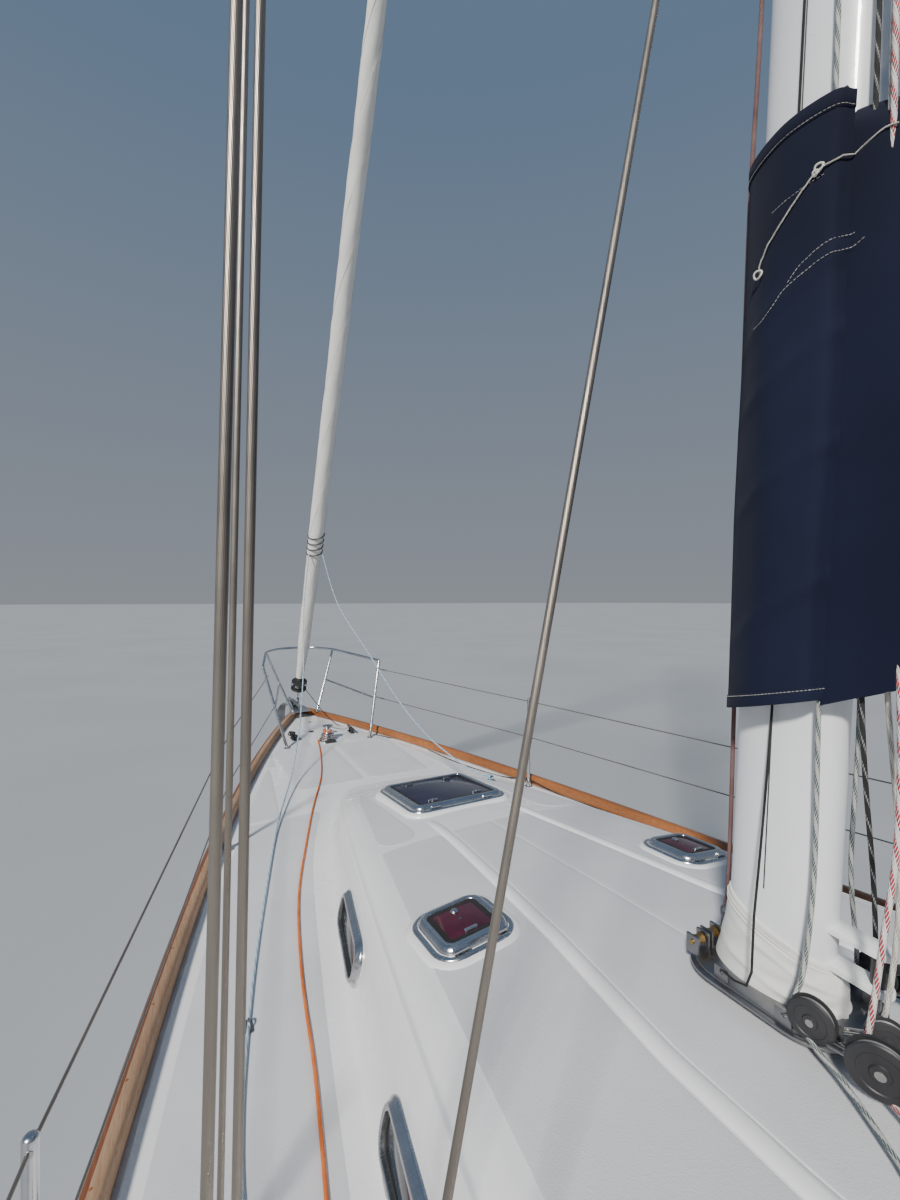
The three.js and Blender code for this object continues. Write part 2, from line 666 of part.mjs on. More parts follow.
function pushpit() {
  const wholeRail = (drop, radius) => {
    const starboard = PUSHPIT.map(([x, y]) => V(x, y, railHeight(y) - drop));
    return bentBar([...starboard, ...starboard.map((p) => V(-p.x, p.y, p.z)).reverse()], radius, 6);
  };
  const legs = [1, -1].flatMap((sign) => PUSHPIT.map((foot) => leg(foot, foot, sign)));
  return onDeck(join([wholeRail(0, 14), wholeRail(330, 11), ...legs]));
}

const STANCHION_Y = [3740, 1430, -650, -2950];

function guardrail() {
  const foot = (y) => V(sheerHalf(y) - 115, y, deckZ(sheerHalf(y) - 115, y));
  const posts = STANCHION_Y.map((y) => {
    const base = foot(y);
    const stem = bar(V(base.x, y, base.z - 30), V(base.x, y, railTop(y) + LIFELINE_HEIGHT - 60), 13);
    return join([stem, bar(V(base.x, y, base.z - 30), V(base.x, y, base.z + 22), 30)]);
  });
  const forward = V(PULPIT.aftTop[0] - 15, PULPIT.aftTop[1] - 22, 0);
  const aft = V(PUSHPIT[0][0], PUSHPIT[0][1] + 14.5, 0);
  const wire = (drop, lean) => bentBar([
    V(forward.x - lean * 74, forward.y - lean * 100, railTop(forward.y) + LIFELINE_HEIGHT - drop),
    ...STANCHION_Y.map((y) => V(foot(y).x, y, railTop(y) + LIFELINE_HEIGHT - drop)),
    V(aft.x, aft.y, railTop(aft.y) + LIFELINE_HEIGHT - drop),
  ], 4, 6);
  return onDeck(join([...posts, wire(80, 0.3), wire(365, 1)]));
}

// Appendages

const foil = (chord, thickness, y, z, sweep = 0) => {
  const shape = [0, 0.04, 0.15, 0.35, 0.6, 0.85, 1];
  const half = shape.map((s) => 2.6 * thickness * (Math.sqrt(s) - s) + 0.5 * (1 - s) + 2);
  const starboard = shape.map((s, i) => V(half[i], y - s * chord - sweep, z));
  const port = shape.map((s, i) => V(-half[i], y - s * chord - sweep, z)).reverse();
  return [...starboard, ...port];
};

function keel() {
  const fin = loft([foil(2750, 330, 1350, -400), foil(2450, 300, 1150, -700), foil(1800, 260, 800, -1850)]);
  const bulb = loft([[640, 40, 60], [560, 90, 100], [250, 150, 130], [-500, 165, 140], [-1300, 100, 100], [-1650, 30, 60]]
    .map(([y, half, high]) => [
      V(half * 0.6, y, -DRAUGHT), V(half, y, -DRAUGHT + high * 0.45), V(half * 0.8, y, -DRAUGHT + high * 1.3),
      V(0, y, -DRAUGHT + high * 1.9), V(-half * 0.8, y, -DRAUGHT + high * 1.3),
      V(-half, y, -DRAUGHT + high * 0.45), V(-half * 0.6, y, -DRAUGHT),
    ]));
  return cut(join([fin, bulb]), [moved(hullBody, 0, 0, -SEAT_GAP)]);
}

// The blade hangs from a vertical stock, which is the turning axis at the origin.
function rudder() {
  const blade = loft([foil(580, 110, 170, -215), foil(560, 100, 165, -800), foil(400, 70, 100, -1750)]);
  return join([blade, bar(V(0, 0, -800), V(0, 0, 240), STOCK_RADIUS, 20)]);
}

function saildrive() {
  const leg = loft([foil(330, 110, DRIVE_Y + 40, -400), foil(300, 90, DRIVE_Y + 20, DRIVE_Z)]);
  const gears = turned([
    [0, -150], [30, -140], [58, -90], [68, 0], [62, 160], [50, 240], [0, 240],
  ], 16).rotateX(Math.PI / 2).translate(0, DRIVE_Y - 80, DRIVE_Z);
  return cut(join([leg, gears]), [moved(hullBody, 0, 0, -SEAT_GAP)]);
}

// The hub turns about the Y axis, with the origin at its front face.
function propeller() {
  const hub = turned([[0, 0], [48, 0], [48, 75], [32, 120], [0, 134]], 12).rotateX(Math.PI / 2);
  const section = (r, chord, pitch) => {
    const across = Math.cos(pitch) * chord;
    const along = Math.sin(pitch) * chord;
    const thick = 6;
    return [
      V(-across, along - 40, r), V(thick, thick - 40, r), V(across, -along - 40, r), V(-thick, -thick - 40, r),
    ];
  };
  const blade = [section(30, 34, 0.85), section(120, 66, 0.55), section(190, 56, 0.42),
    section(PROPELLER_RADIUS, 24, 0.36)];
  return join([hub, ...[0, 1, 2].map((i) => loft(blade).rotateY((i * 2 * Math.PI) / 3))]);
}

// Steering

function pedestal() {
  const ring = (half, depth, z) => [
    V(-half, PEDESTAL_Y - depth, z), V(half, PEDESTAL_Y - depth, z), V(half, PEDESTAL_Y + depth, z),
    V(-half, PEDESTAL_Y + depth, z),
  ];
  const column = loft([ring(150, 130, COCKPIT_SOLE_Z + SEAT_GAP), ring(90, 80, 900), ring(90, 80, 1330)]);
  const head = block(-110, 110, PEDESTAL_Y - 95, PEDESTAL_Y + 95, 1300, 1530);
  const boss = bar(V(0, PEDESTAL_Y - 90, WHEEL_Z), V(0, PEDESTAL_Y - 120, WHEEL_Z), 42, 16);
  return join([column, head, boss]);
}

function steeringWheel() {
  const rim = new THREE.TorusGeometry(WHEEL_RADIUS, 15, 6, 32).rotateX(Math.PI / 2).translate(0, -60, 0);
  const hub = bar(V(0, 0, 0), V(0, -80, 0), 40, 16);
  const spokes = Array.from({ length: 6 }, (_, i) => {
    const a = (i * Math.PI) / 3;
    return bar(V(0, -50, 0), V(Math.sin(a) * WHEEL_RADIUS, -60, Math.cos(a) * WHEEL_RADIUS), 9, 6);
  });
  return join([rim, hub, ...spokes]);
}

const TRAVELLER = { y: -1250, half: 760, z: 1850 };

function traveller() {
  const { y, half, z } = TRAVELLER;
  const beam = block(-half, half, y - 24, y + 24, z, z + 34);
  const foot = block(half - 60, half, y - 40, y + 40, 1500, z + 2);
  const car = block(-60, 60, y - 34, y + 34, z + 30, z + 62);
  return onRoof(join([beam, foot, mirrored(foot), car]));
}

// Mast and standing rigging

const TANG = { drop: 60, reach: 34, half: 20 };
const sideTang = (z, dy = 0) => {
  const y = mastAxis(z) + dy;
  const plateAt = block(-1, MAST_WIDTH / 2 + TANG.reach, y - TANG.half, y + TANG.half, z, z + TANG.drop);
  return [plateAt, mirrored(plateAt)];
};
const TANG_X = MAST_WIDTH / 2 + 18;
const RAKE_ANGLE = Math.atan(MAST_RAKE);
const LUG_GAP = 40;
const hingeY = (z) => mastAxis(z) - MAST_CHORD / 2 - HINGE_OFF_MAST;

function mast() {
  const tube = loft([mastRing(SOLE_Z + SEAT_GAP), mastRing(15600), mastRing(MASTHEAD_Z, 0, 0.72)]);
  const top = mastAxis(MASTHEAD_Z);
  const crane = block(-26, 26, top - 200, top + 70, MASTHEAD_Z - 30, MASTHEAD_Z + 36);
  const stayY = stayAt(STAY_HEAD_Z).y;
  const stayTang = block(-14, 14, mastAxis(STAY_HEAD_Z), stayY + 24, STAY_HEAD_Z, STAY_HEAD_Z + 70);
  const lugPair = (z) => [-LUG_GAP - 12, LUG_GAP].map((dz) => (
    block(-26, 26, -26, HINGE_OFF_MAST + 60, dz, dz + 12).rotateX(RAKE_ANGLE).translate(0, hingeY(z), z)
  ));
  const tangs = [
    ...sideTang(LOWER_SPREADER_Z - 190), ...sideTang(UPPER_SPREADER_Z - 190), ...sideTang(HOUNDS_Z),
    ...sideTang(MASTHEAD_Z - 180),
  ];
  return join([tube, crane, stayTang, ...lugPair(GOOSENECK_Z), ...lugPair(GOOSENECK_Z - VANG_DROP * Math.cos(RAKE_ANGLE)), ...tangs]);
}

const stayAt = (z) => V(0, STAY_FOOT.y - STAY_SLOPE * (z - STAY_FOOT.z), z);

function mastCollar() {
  const base = plate(340, 410, 12, 110).translate(0, MAST_Y - 10, MAST_FOOT_Z + SEAT_GAP);
  const lugs = [[-150, 60], [-155, -100], [-90, -175], [90, -175], [155, -100], [150, 60]].map(([x, y]) => (
    block(x - 5, x + 5, MAST_Y + y - 22, MAST_Y + y + 22, MAST_FOOT_Z + 6, MAST_FOOT_Z + 50)
  ));
  return cut(join([base, ...lugs]), [mastHole(2)]);
}

// Spreader tips: how far out, and how high.
const SPREADERS = {
  lower: { z: LOWER_SPREADER_Z, reach: 1290, lift: 60 },
  upper: { z: UPPER_SPREADER_Z, reach: 1010, lift: 50 },
};

function spreader({ z, reach, lift }) {
  const y = mastAxis(z);
  const section = (x, half, high, mid) => [
    V(x, y - half, mid), V(x, y - half * 0.4, mid - high), V(x, y + half, mid), V(x, y - half * 0.4, mid + high),
  ];
  const arm = loft([section(MAST_WIDTH / 2 + SEAT_GAP, 70, 22, z), section(reach - 10, 42, 13, z + lift)]);
  const tip = block(reach - 22, reach, y - 70, y + 70, z + lift - 26, z + lift + 26);
  return join([arm, tip]);
}

const CHAINPLATE_Z = 60;
const CHAINPLATES = {
  cap: { x: 1425, y: 968, radius: 6.5 },
  topmast: { x: 1402, y: 1035, radius: 4 },
  inner: { x: 1400, y: 905, radius: 5 },
  lower: { x: 1428, y: 790, radius: 5 },
};

function chainplates() {
  const base = block(1372, 1456, 740, 1090, 1100, deckZ(1400, 1090) + 14);
  const lugs = Object.values(CHAINPLATES).map(({ x, y }) => (
    block(x - 6, x + 6, y - 20, y + 20, 1150, deckZ(1400, 900) + CHAINPLATE_Z)
  ));
  return onDeck(join([base, ...lugs]));
}

function tipPoint({ z, reach, lift }, radius, dy) {
  return V(reach + radius + SEAT_GAP, mastAxis(z) + dy, z + lift + 26 + SEAT_GAP);
}

function shroud(name) {
  const { x, y, radius } = CHAINPLATES[name];
  const foot = V(x, y, deckZ(1400, 900) + CHAINPLATE_Z + 2);
  const endAt = (z, dy) => V(TANG_X, mastAxis(z) + dy, z - 4);
  const { lower, upper } = SPREADERS;
  const route = {
    cap: () => [tipPoint(lower, radius, 0), tipPoint(upper, radius, 0), endAt(HOUNDS_Z, 0)],
    topmast: () => [tipPoint(lower, radius, 40), tipPoint(upper, radius, 40), endAt(MASTHEAD_Z - 180, 0)],
    inner: () => [tipPoint(lower, radius, -40), endAt(UPPER_SPREADER_Z - 190, 0)],
    lower: () => [endAt(LOWER_SPREADER_Z - 190, 0)],
  }[name]();
  const first = route[0].clone().sub(foot).normalize();
  const screwTop = foot.clone().addScaledVector(first, 330);
  return join([bar(foot, screwTop, radius + 7), bentBar([foot, ...route], radius)]);
}

// A solid of revolution about the forestay, from [radius, height] pairs.
function turnedOnStay(profile) {
  const stretch = Math.hypot(1, STAY_SLOPE);
  const geometry = turned(profile.map(([r, z]) => [r, (z - STAY_FOOT.z) * stretch]), 12);
  return geometry.rotateX(Math.atan(STAY_SLOPE)).translate(0, STAY_FOOT.y, STAY_FOOT.z);
}

const FOIL_RADIUS = 9;
const DRUM = { z0: 1672, z1: 1752, radius: 92, hub: 34, flange: 12 };
const SWIVEL = { z0: 14330, z1: 14440, radius: 30 };

function forestay() {
  const { z0, z1, radius, hub, flange } = DRUM;
  return turnedOnStay([
    [0, STAY_FOOT.z - 8], [FOIL_RADIUS, STAY_FOOT.z - 8], [FOIL_RADIUS, z0 - flange], [radius, z0 - flange],
    [radius, z0], [hub, z0], [hub, z1], [radius, z1], [radius, z1 + flange], [FOIL_RADIUS, z1 + flange],
    [FOIL_RADIUS, SWIVEL.z0], [SWIVEL.radius, SWIVEL.z0], [SWIVEL.radius, SWIVEL.z1], [FOIL_RADIUS, SWIVEL.z1],
    [FOIL_RADIUS, STAY_HEAD_Z - 4.2], [0, STAY_HEAD_Z - 4.2],
  ]);
}

// The sail is rolled round the stay; each pair below is a height and a radius.
const ROLL = [[1800, 44], [2300, 66], [3600, 80], [6000, 80], [9000, 66], [12500, 42], [14310, 24]];

function furledGenoa() {
  const rings = ROLL.map(([z, radius]) => {
    const centre = stayAt(z);
    return Array.from({ length: 12 }, (_, i) => {
      const a = (i / 12) * 2 * Math.PI;
      return V(Math.cos(a) * radius, centre.y + Math.sin(a) * radius, z + Math.sin(a) * radius * STAY_SLOPE);
    });
  });
  const bore = FOIL_RADIUS + SEAT_GAP;
  return cut(loft(rings), [turnedOnStay([[0, 1700], [bore, 1700], [bore, 14700], [0, 14700]])]);
}

function backstay() {
  const top = V(0, mastAxis(MASTHEAD_Z) - 180, MASTHEAD_Z - 37);
  const deckY = -6620;
  const foot = V(0, deckY, deckZ(0, deckY));
  const plateAt = block(-6, 6, deckY - 40, deckY + 50, foot.z - 20, foot.z + 90);
  const start = V(0, deckY, foot.z + 70);
  const along = top.clone().sub(start).normalize();
  const screw = bar(start, start.clone().addScaledVector(along, 420), 12);
  return onDeck(join([plateAt, screw, bar(start, top, 5)]));
}

// Boom: its frame stands on the gooseneck pin, with Z along the mast and -Y along the boom.

const alongBoom = (distance, z = 0) => V(0, -distance * Math.cos(BOOM_RISE), distance * Math.sin(BOOM_RISE) + z);

function boomSection(distance, half, low, high, corner) {
  const { y, z } = alongBoom(distance);
  return [
    V(half, y, z - low + corner), V(half, y, z + high - corner), V(half - corner, y, z + high),
    V(-half + corner, y, z + high), V(-half, y, z + high - corner), V(-half, y, z - low + corner),
    V(-half + corner, y, z - low), V(half - corner, y, z - low),
  ];
}

const BOOM_HALF = 55;
const BOOM_HIGH = 82;

function boom() {
  const beam = loft([boomSection(75, BOOM_HALF, BOOM_HIGH, BOOM_HIGH, 22),
    boomSection(BOOM_LENGTH, BOOM_HALF, BOOM_HIGH, BOOM_HIGH, 22)]);
  const pin = LUG_GAP - SEAT_GAP;
  const tongue = join([bar(V(0, 0, -pin), V(0, 0, pin), 20, 12), block(-14, 14, -90, 0, -22, 22)]);
  return join([beam, tongue]);
}

function boomVang() {
  const low = V(0, 0, -VANG_DROP);
  const high = alongBoom(1180, -BOOM_HIGH - 26);
  const dir = high.clone().sub(low).normalize();
  const pin = LUG_GAP - SEAT_GAP;
  const tongue = bar(V(0, 0, -VANG_DROP - pin), V(0, 0, -VANG_DROP + pin), 18, 12);
  const middle = low.clone().lerp(high, 0.55);
  const toe = block(-18, 18, high.y - 50, high.y + 50, high.z - 20, high.z + 60);
  const rod = [bar(low, low.clone().addScaledVector(dir, 110), 12), bar(low.clone().addScaledVector(dir, 100), middle, 34),
    bar(middle, high, 24)];
  return cut(join([tongue, ...rod, toe]), [loft([boomSection(75, 60, BOOM_HIGH + SEAT_GAP, BOOM_HIGH, 20),
    boomSection(BOOM_LENGTH, 60, BOOM_HIGH + SEAT_GAP, BOOM_HIGH, 20)])]);
}

// Sections of the stowed sail's cover: distance from the pin, half width and height over the boom's middle.
const COVER = [[215, 120, 1050], [420, 150, 960], [900, 165, 720], [1700, 165, 520], [2900, 150, 410], [4000, 130, 340],
  [4700, 95, 260]];

function boomCover() {
  const rings = COVER.map(([distance, half, high]) => {
    const { y, z } = alongBoom(distance);
    return [
      V(half * 0.7, y, z - 70), V(half, y, z + 90), V(half * 0.92, y, z + high * 0.45), V(half * 0.55, y, z + high * 0.85),
      V(0, y, z + high), V(-half * 0.55, y, z + high * 0.85), V(-half * 0.92, y, z + high * 0.45),
      V(-half, y, z + 90), V(-half * 0.7, y, z - 70),
    ];
  });
  const grow = 0.5;
  const channel = loft([boomSection(60, BOOM_HALF + grow, BOOM_HIGH + 40, BOOM_HIGH + grow, 22),
    boomSection(BOOM_LENGTH + 50, BOOM_HALF + grow, BOOM_HIGH + 40, BOOM_HIGH + grow, 22)]);
  return cut(loft(rings), [channel]);
}

// The forward part of the cover laces round the mast, ahead of the boom's hinge.
function mastCover() {
  const ring = (z, size) => {
    const y = hingeY(z);
    const half = [[92, 102], [136, 130], [158, 235], [118, 350], [50, 402]];
    const side = half.map(([x, dy]) => V(x * size, y + 94 + (dy - 94) * size, z));
    return [...side, ...side.map((p) => V(-p.x, p.y, p.z)).reverse()];
  };
  const body = loft([ring(COVER_FOOT_Z, 1), ring(3200, 1), ring(COVER_HEAD_Z, 0.92)]);
  return cut(body, [mastHole(0.5)]);
}

// The safety line along the port side deck, from the windlass aft.
const LINE_RADIUS = 6;
const LINE_ROUTE = [
  [-96, 5600], [-180, 5180], [-330, 4600], [-520, 4080], [-680, 3600], [-850, 3050], [-960, 2500], [-1020, 2050],
  [-1080, 1700], [-1128, 1430],
];

function jackline() {
  const points = LINE_ROUTE.map(([x, y]) => V(x, y, deckZ(x, y) + LINE_RADIUS + 0.6));
  const curve = new THREE.CatmullRomCurve3(points, false, "centripetal");
  const section = new THREE.Shape().absarc(0, 0, LINE_RADIUS, 0, 2 * Math.PI);
  return new THREE.ExtrudeGeometry(section, { steps: 38, extrudePath: curve, curveSegments: 4 });
}

// The nodes

const SIDES = [["port", -1], ["starboard", 1]];
const forSide = (sign, geometry) => (sign > 0 ? geometry : mirrored(geometry));

addNode("hull", hull(), GELCOAT);
addNode("cabin_moulding", cabinMoulding(), GELCOAT);
addNode("cockpit_moulding", cockpitMoulding(), GELCOAT);
addNode("deck", deck(), GELCOAT);
addNode("coachroof", coachroof(), GELCOAT);
addNode("cockpit_coaming", coaming(), GELCOAT);
addNode("sea_hood", seaHood(), GELCOAT);
addNode("companionway_slide", slide(), GELCOAT);
addNode("washboards", washboards(), TEAK);
addNode("keel", keel(), ANTIFOULING);
addNode("saildrive", saildrive(), ANTIFOULING);
addNode("rudder", rudder(), ANTIFOULING, groupAt(V(0, STOCK_Y, 0)));
addNode("propeller", propeller(), BRONZE, groupAt(V(0, DRIVE_Y - 320 - SEAT_GAP, DRIVE_Z)));
addNode("stemhead", stemhead(), STEEL);
addNode("anchor", anchor(), STEEL);
addNode("anchor_locker_lid", anchorLid(), GELCOAT);
addNode("windlass", windlass(), STEEL);
addNode("pulpit", pulpit(), STEEL);
addNode("pushpit", pushpit(), STEEL);
addNode("pedestal", pedestal(), GELCOAT);
addNode("steering_wheel", steeringWheel(), STEEL, groupAt(V(0, PEDESTAL_Y - 120 - SEAT_GAP, WHEEL_Z)));
addNode("traveller", traveller(), STEEL);
addNode("mast", mast(), SPAR);
addNode("mast_collar", mastCollar(), STEEL);
addNode("forestay", forestay(), STEEL);
addNode("furled_genoa", furledGenoa(), SAILCLOTH);
addNode("backstay", backstay(), STEEL);
addNode("cover_mast", mastCover(), NAVY);
addNode("jackline", jackline(), ORANGE);

const hinge = groupAt(V(0, hingeY(GOOSENECK_Z), GOOSENECK_Z), [RAKE_ANGLE, 0, 0]);
addNode("boom", boom(), SPAR, hinge);
addNode("boom_vang", boomVang(), BLACK, hinge);
addNode("cover_boom", boomCover(), NAVY, hinge);

for (const hatch of HATCHES) {
  const pin = V(0, -hatch.length / 2 - HINGE_OUT, HATCH_SEAT + SEAT_GAP + HINGE_UP).applyMatrix4(hatchMatrix(hatch));
  addNode(`hatch_lid_${hatch.name}`, hatchLid(hatch), TINTED, groupAt(pin, hatchTilt(hatch)));
}

for (const [side, sign] of SIDES) {
  const name = (part) => `${part}_${side}`;
  addNode(name("caprail"), forSide(sign, caprail()), TEAK);
  addNode(name("bow_cleat"), forSide(sign, bowCleat()), STEEL);
  addNode(name("guardrail"), forSide(sign, guardrail()), STEEL);
  addNode(name("chainplates"), forSide(sign, chainplates()), STEEL);
  for (const level of ["lower", "upper"]) {
    addNode(name(`spreader_${level}`), forSide(sign, spreader(SPREADERS[level])), SPAR);
  }
  for (const wire of Object.keys(CHAINPLATES)) {
    addNode(name(`shroud_${wire}`), forSide(sign, shroud(wire)), STEEL);
  }
  const winchX = sign * (SEAT_OUTER + COAMING_WIDTH / 2);
  addNode(name("winch_drum"), winchDrum(), STEEL, groupAt(V(winchX, WINCH_Y, 1396 + SEAT_GAP)));
  const lidEdge = V(sign * (LOCKER.x1 + LID_LAP), (LOCKER.y0 + LOCKER.y1) / 2, SEAT_Z + SEAT_GAP);
  addNode(name("seat_locker_lid"), forSide(sign, seatLid()), TEAK, groupAt(lidEdge));
}

export default yacht;
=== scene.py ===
import random
from math import atan, atan2, copysign, cos, exp, hypot, pi, radians, sin, sqrt

import bmesh
import bpy
from mathutils import Matrix, Vector


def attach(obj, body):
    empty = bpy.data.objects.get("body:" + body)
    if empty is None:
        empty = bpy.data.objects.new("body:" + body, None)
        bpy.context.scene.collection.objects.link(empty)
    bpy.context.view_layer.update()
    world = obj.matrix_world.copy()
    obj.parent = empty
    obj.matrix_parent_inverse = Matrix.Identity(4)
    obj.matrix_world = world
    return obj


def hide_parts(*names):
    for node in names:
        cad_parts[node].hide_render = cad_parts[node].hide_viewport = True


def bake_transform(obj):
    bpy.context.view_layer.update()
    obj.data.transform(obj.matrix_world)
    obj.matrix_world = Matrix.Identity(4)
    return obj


# A cruising sloop afloat. Metres. +X is starboard, +Y is forward, +Z is up from the waterline.

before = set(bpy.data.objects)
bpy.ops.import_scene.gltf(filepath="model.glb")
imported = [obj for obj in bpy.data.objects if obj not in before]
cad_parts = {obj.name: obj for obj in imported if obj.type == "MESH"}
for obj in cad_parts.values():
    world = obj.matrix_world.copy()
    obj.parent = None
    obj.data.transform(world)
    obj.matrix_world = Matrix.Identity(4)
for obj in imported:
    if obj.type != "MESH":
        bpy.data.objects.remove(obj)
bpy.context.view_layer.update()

# The hull's lines, as in the part's source, and the places that pieces share

STEM_Y = 6.9
LENGTH = 13.9
STEM_HALF_WIDTH = 0.05
HALF_BEAM = 2.15
TRANSOM_HALF_BEAM = 1.5
MAX_BEAM_FROM_STEM = 8
BOW_FULLNESS = 1.9
FULLNESS_FADE = 0.085
RAIL_LOW = 1.18
RAIL_LOW_FROM_STEM = 10
BOW_RISE = 0.27
STERN_RISE = 0.05
CANOE_DEPTH = 0.62
DEEPEST_FROM_STEM = 7.5
TRANSOM_FOOT_Z = 0.15
TRANSOM_RAKE = 0.28
RAKED_FROM_Y = -5.6
DECK_CAMBER = 0.02
DECK_THICK = 0.03
CAPRAIL_HEIGHT = 0.072
ROOF_Z = 1.72
ROOF_INSET = 0.14
ROOF_WALL = 0.04
ROOF_FRONT_Y = 4.25
ROOF_CAMBER = 0.0917
ROOF_FALL = 0.01257
BULKHEAD_Y = -2.3
WELL_AFT_Y = -5.65
SOLE_Z = -0.3
BERTH_Z = 0.25
SILL_Z = 0.9
DOOR_HALF = 0.28
SEAT_OUTER = 1.0
SEAT_INNER = 0.43
COCKPIT_SOLE_Z = 0.42
SEAT_Z = 0.88
COAMING_Z = 1.34
COAMING_WIDTH = 0.21
WINCH_Y = -3.9
PEDESTAL_Y = -4.55
PEDESTAL_TOP_Z = 1.5265
WHEEL_Z = 1.44
WHEEL_RADIUS = 0.5
MAST_Y = 1.18
MAST_FOOT_Z = 1.732
MAST_RAKE = 0.048
MAST_HALF_WIDTH = 0.075
MAST_HALF_DEPTH = 0.13
MASTHEAD_Z = 17.6
BOOM_HINGE_Z = 2.7
VANG_DROP = 0.8
TRAVELLER_Y = -1.25
SHACKLE_Y = 1.345
CLUTCH_Y = -0.72
ORGANISER_Y = 0.42
LOCKER_LID = (0.72, -3.1)
WINDLASS_Y = 5.6
BOW_CLEAT = (0.3, 5.78)
ANCHOR_X = -0.078
BACKSTAY_Y = -6.62
RUDDER_Y = -5.85
DRIVE_Z = -1.0
HOUNDS_Z = 14.9
STAY_FOOT = (6.95, 1.56)
STAY_SLOPE = 0.474
LIFELINE_HEIGHT = 0.69
STANCHION_Y = [3.74, 1.43, -0.65, -2.95]
LINE_ROUTE = [
    (-0.096, 5.6), (-0.18, 5.18), (-0.33, 4.6), (-0.52, 4.08), (-0.68, 3.6), (-0.85, 3.05), (-0.96, 2.5),
    (-1.02, 2.05), (-1.08, 1.7), (-1.128, 1.43),
]
LINE_RADIUS = 0.006


def mix(a, b, t):
    return a + (b - a) * t


def clamp(t):
    return min(1.0, max(0.0, t))


def ease(t):
    return clamp(t) ** 2 * (3 - 2 * clamp(t))


def spaced(low, high, steps):
    """Evenly spaced values from low to high, both included."""
    return [mix(low, high, k / steps) for k in range(steps + 1)]


def angles(count, shift=0):
    """So many angles, evenly spaced round a full turn."""
    return [2 * pi * (i + shift) / count for i in range(count)]


def between(table, at, way=clamp):
    """The values in a table of (place, value, ...) rows, read at a place between two of its rows."""
    for (p, *low), (q, *high) in zip(table, table[1:]):
        if at <= q:
            t = way((at - p) / (q - p))
            return [mix(a, b, t) for a, b in zip(low, high)]
    return table[-1][1:]


def moved(x, y, z):
    return Matrix.Translation((x, y, z))


def sheer_half(y):
    d = STEM_Y - y
    if d <= MAX_BEAM_FROM_STEM:
        share = 1 - max(0, 1 - d / MAX_BEAM_FROM_STEM) ** (BOW_FULLNESS - FULLNESS_FADE * d)
        return mix(STEM_HALF_WIDTH, HALF_BEAM, share)
    aft = (d - MAX_BEAM_FROM_STEM) / (LENGTH - MAX_BEAM_FROM_STEM)
    return mix(HALF_BEAM, TRANSOM_HALF_BEAM, aft ** 2.2)


def rail_top(y):
    d = STEM_Y - y
    forward = max(0, 1 - d / RAIL_LOW_FROM_STEM)
    aft = max(0, (d - RAIL_LOW_FROM_STEM) / (LENGTH - RAIL_LOW_FROM_STEM))
    return RAIL_LOW + BOW_RISE * forward ** 1.54 + STERN_RISE * aft ** 2


def sheer_z(y):
    return rail_top(y) - CAPRAIL_HEIGHT


def keel_line(y):
    d = STEM_Y - y
    if d < DEEPEST_FROM_STEM:
        return -CANOE_DEPTH + (sheer_z(STEM_Y) + CANOE_DEPTH) * (1 - d / DEEPEST_FROM_STEM) ** 6.5
    aft = (d - DEEPEST_FROM_STEM) / (LENGTH - DEEPEST_FROM_STEM)
    return mix(-CANOE_DEPTH, TRANSOM_FOOT_Z, aft ** 2.2)


def deck_z(x, y):
    half = sheer_half(y)
    return sheer_z(y) + DECK_CAMBER * half * (1 - min(1, (x / half) ** 2))


def raked(x, y, z):
    """A point of the hull: the transom leans forward towards its top."""
    stern = clamp((RAKED_FROM_Y - y) / (RAKED_FROM_Y - STEM_Y + LENGTH))
    return Vector((x, y + stern ** 2 * max(0, z - TRANSOM_FOOT_Z) * TRANSOM_RAKE, z))


def roof_half(y):
    return 1.19 - 0.1024 * y - 0.0171 * y * y


def roof_top(y):
    return ROOF_Z - ROOF_FALL * max(0, y) ** 2


def roof_z(x, y):
    return roof_top(y) - ROOF_CAMBER * x * x


def mast_axis(z):
    return MAST_Y - MAST_RAKE * (z - MAST_FOOT_Z)


def stay_at(z):
    return Vector((0, STAY_FOOT[0] - STAY_SLOPE * (z - STAY_FOOT[1]), z))


# Camera, at eye height over the port side deck

def set_camera():
    data = bpy.data.cameras.new("deck_camera")
    data.lens = 15.69
    data.sensor_width = 36
    data.clip_start = 0.05
    data.clip_end = 500
    camera = bpy.data.objects.new("deck_camera", data)
    camera.location = (-1.443, 0.37, 2.75)
    camera.rotation_euler = (radians(90), 0, -atan2(0.4787, 0.878))
    bpy.context.scene.collection.objects.link(camera)
    bpy.context.scene.camera = camera


set_camera()


# Shapes are gathered in a Form and become one mesh.

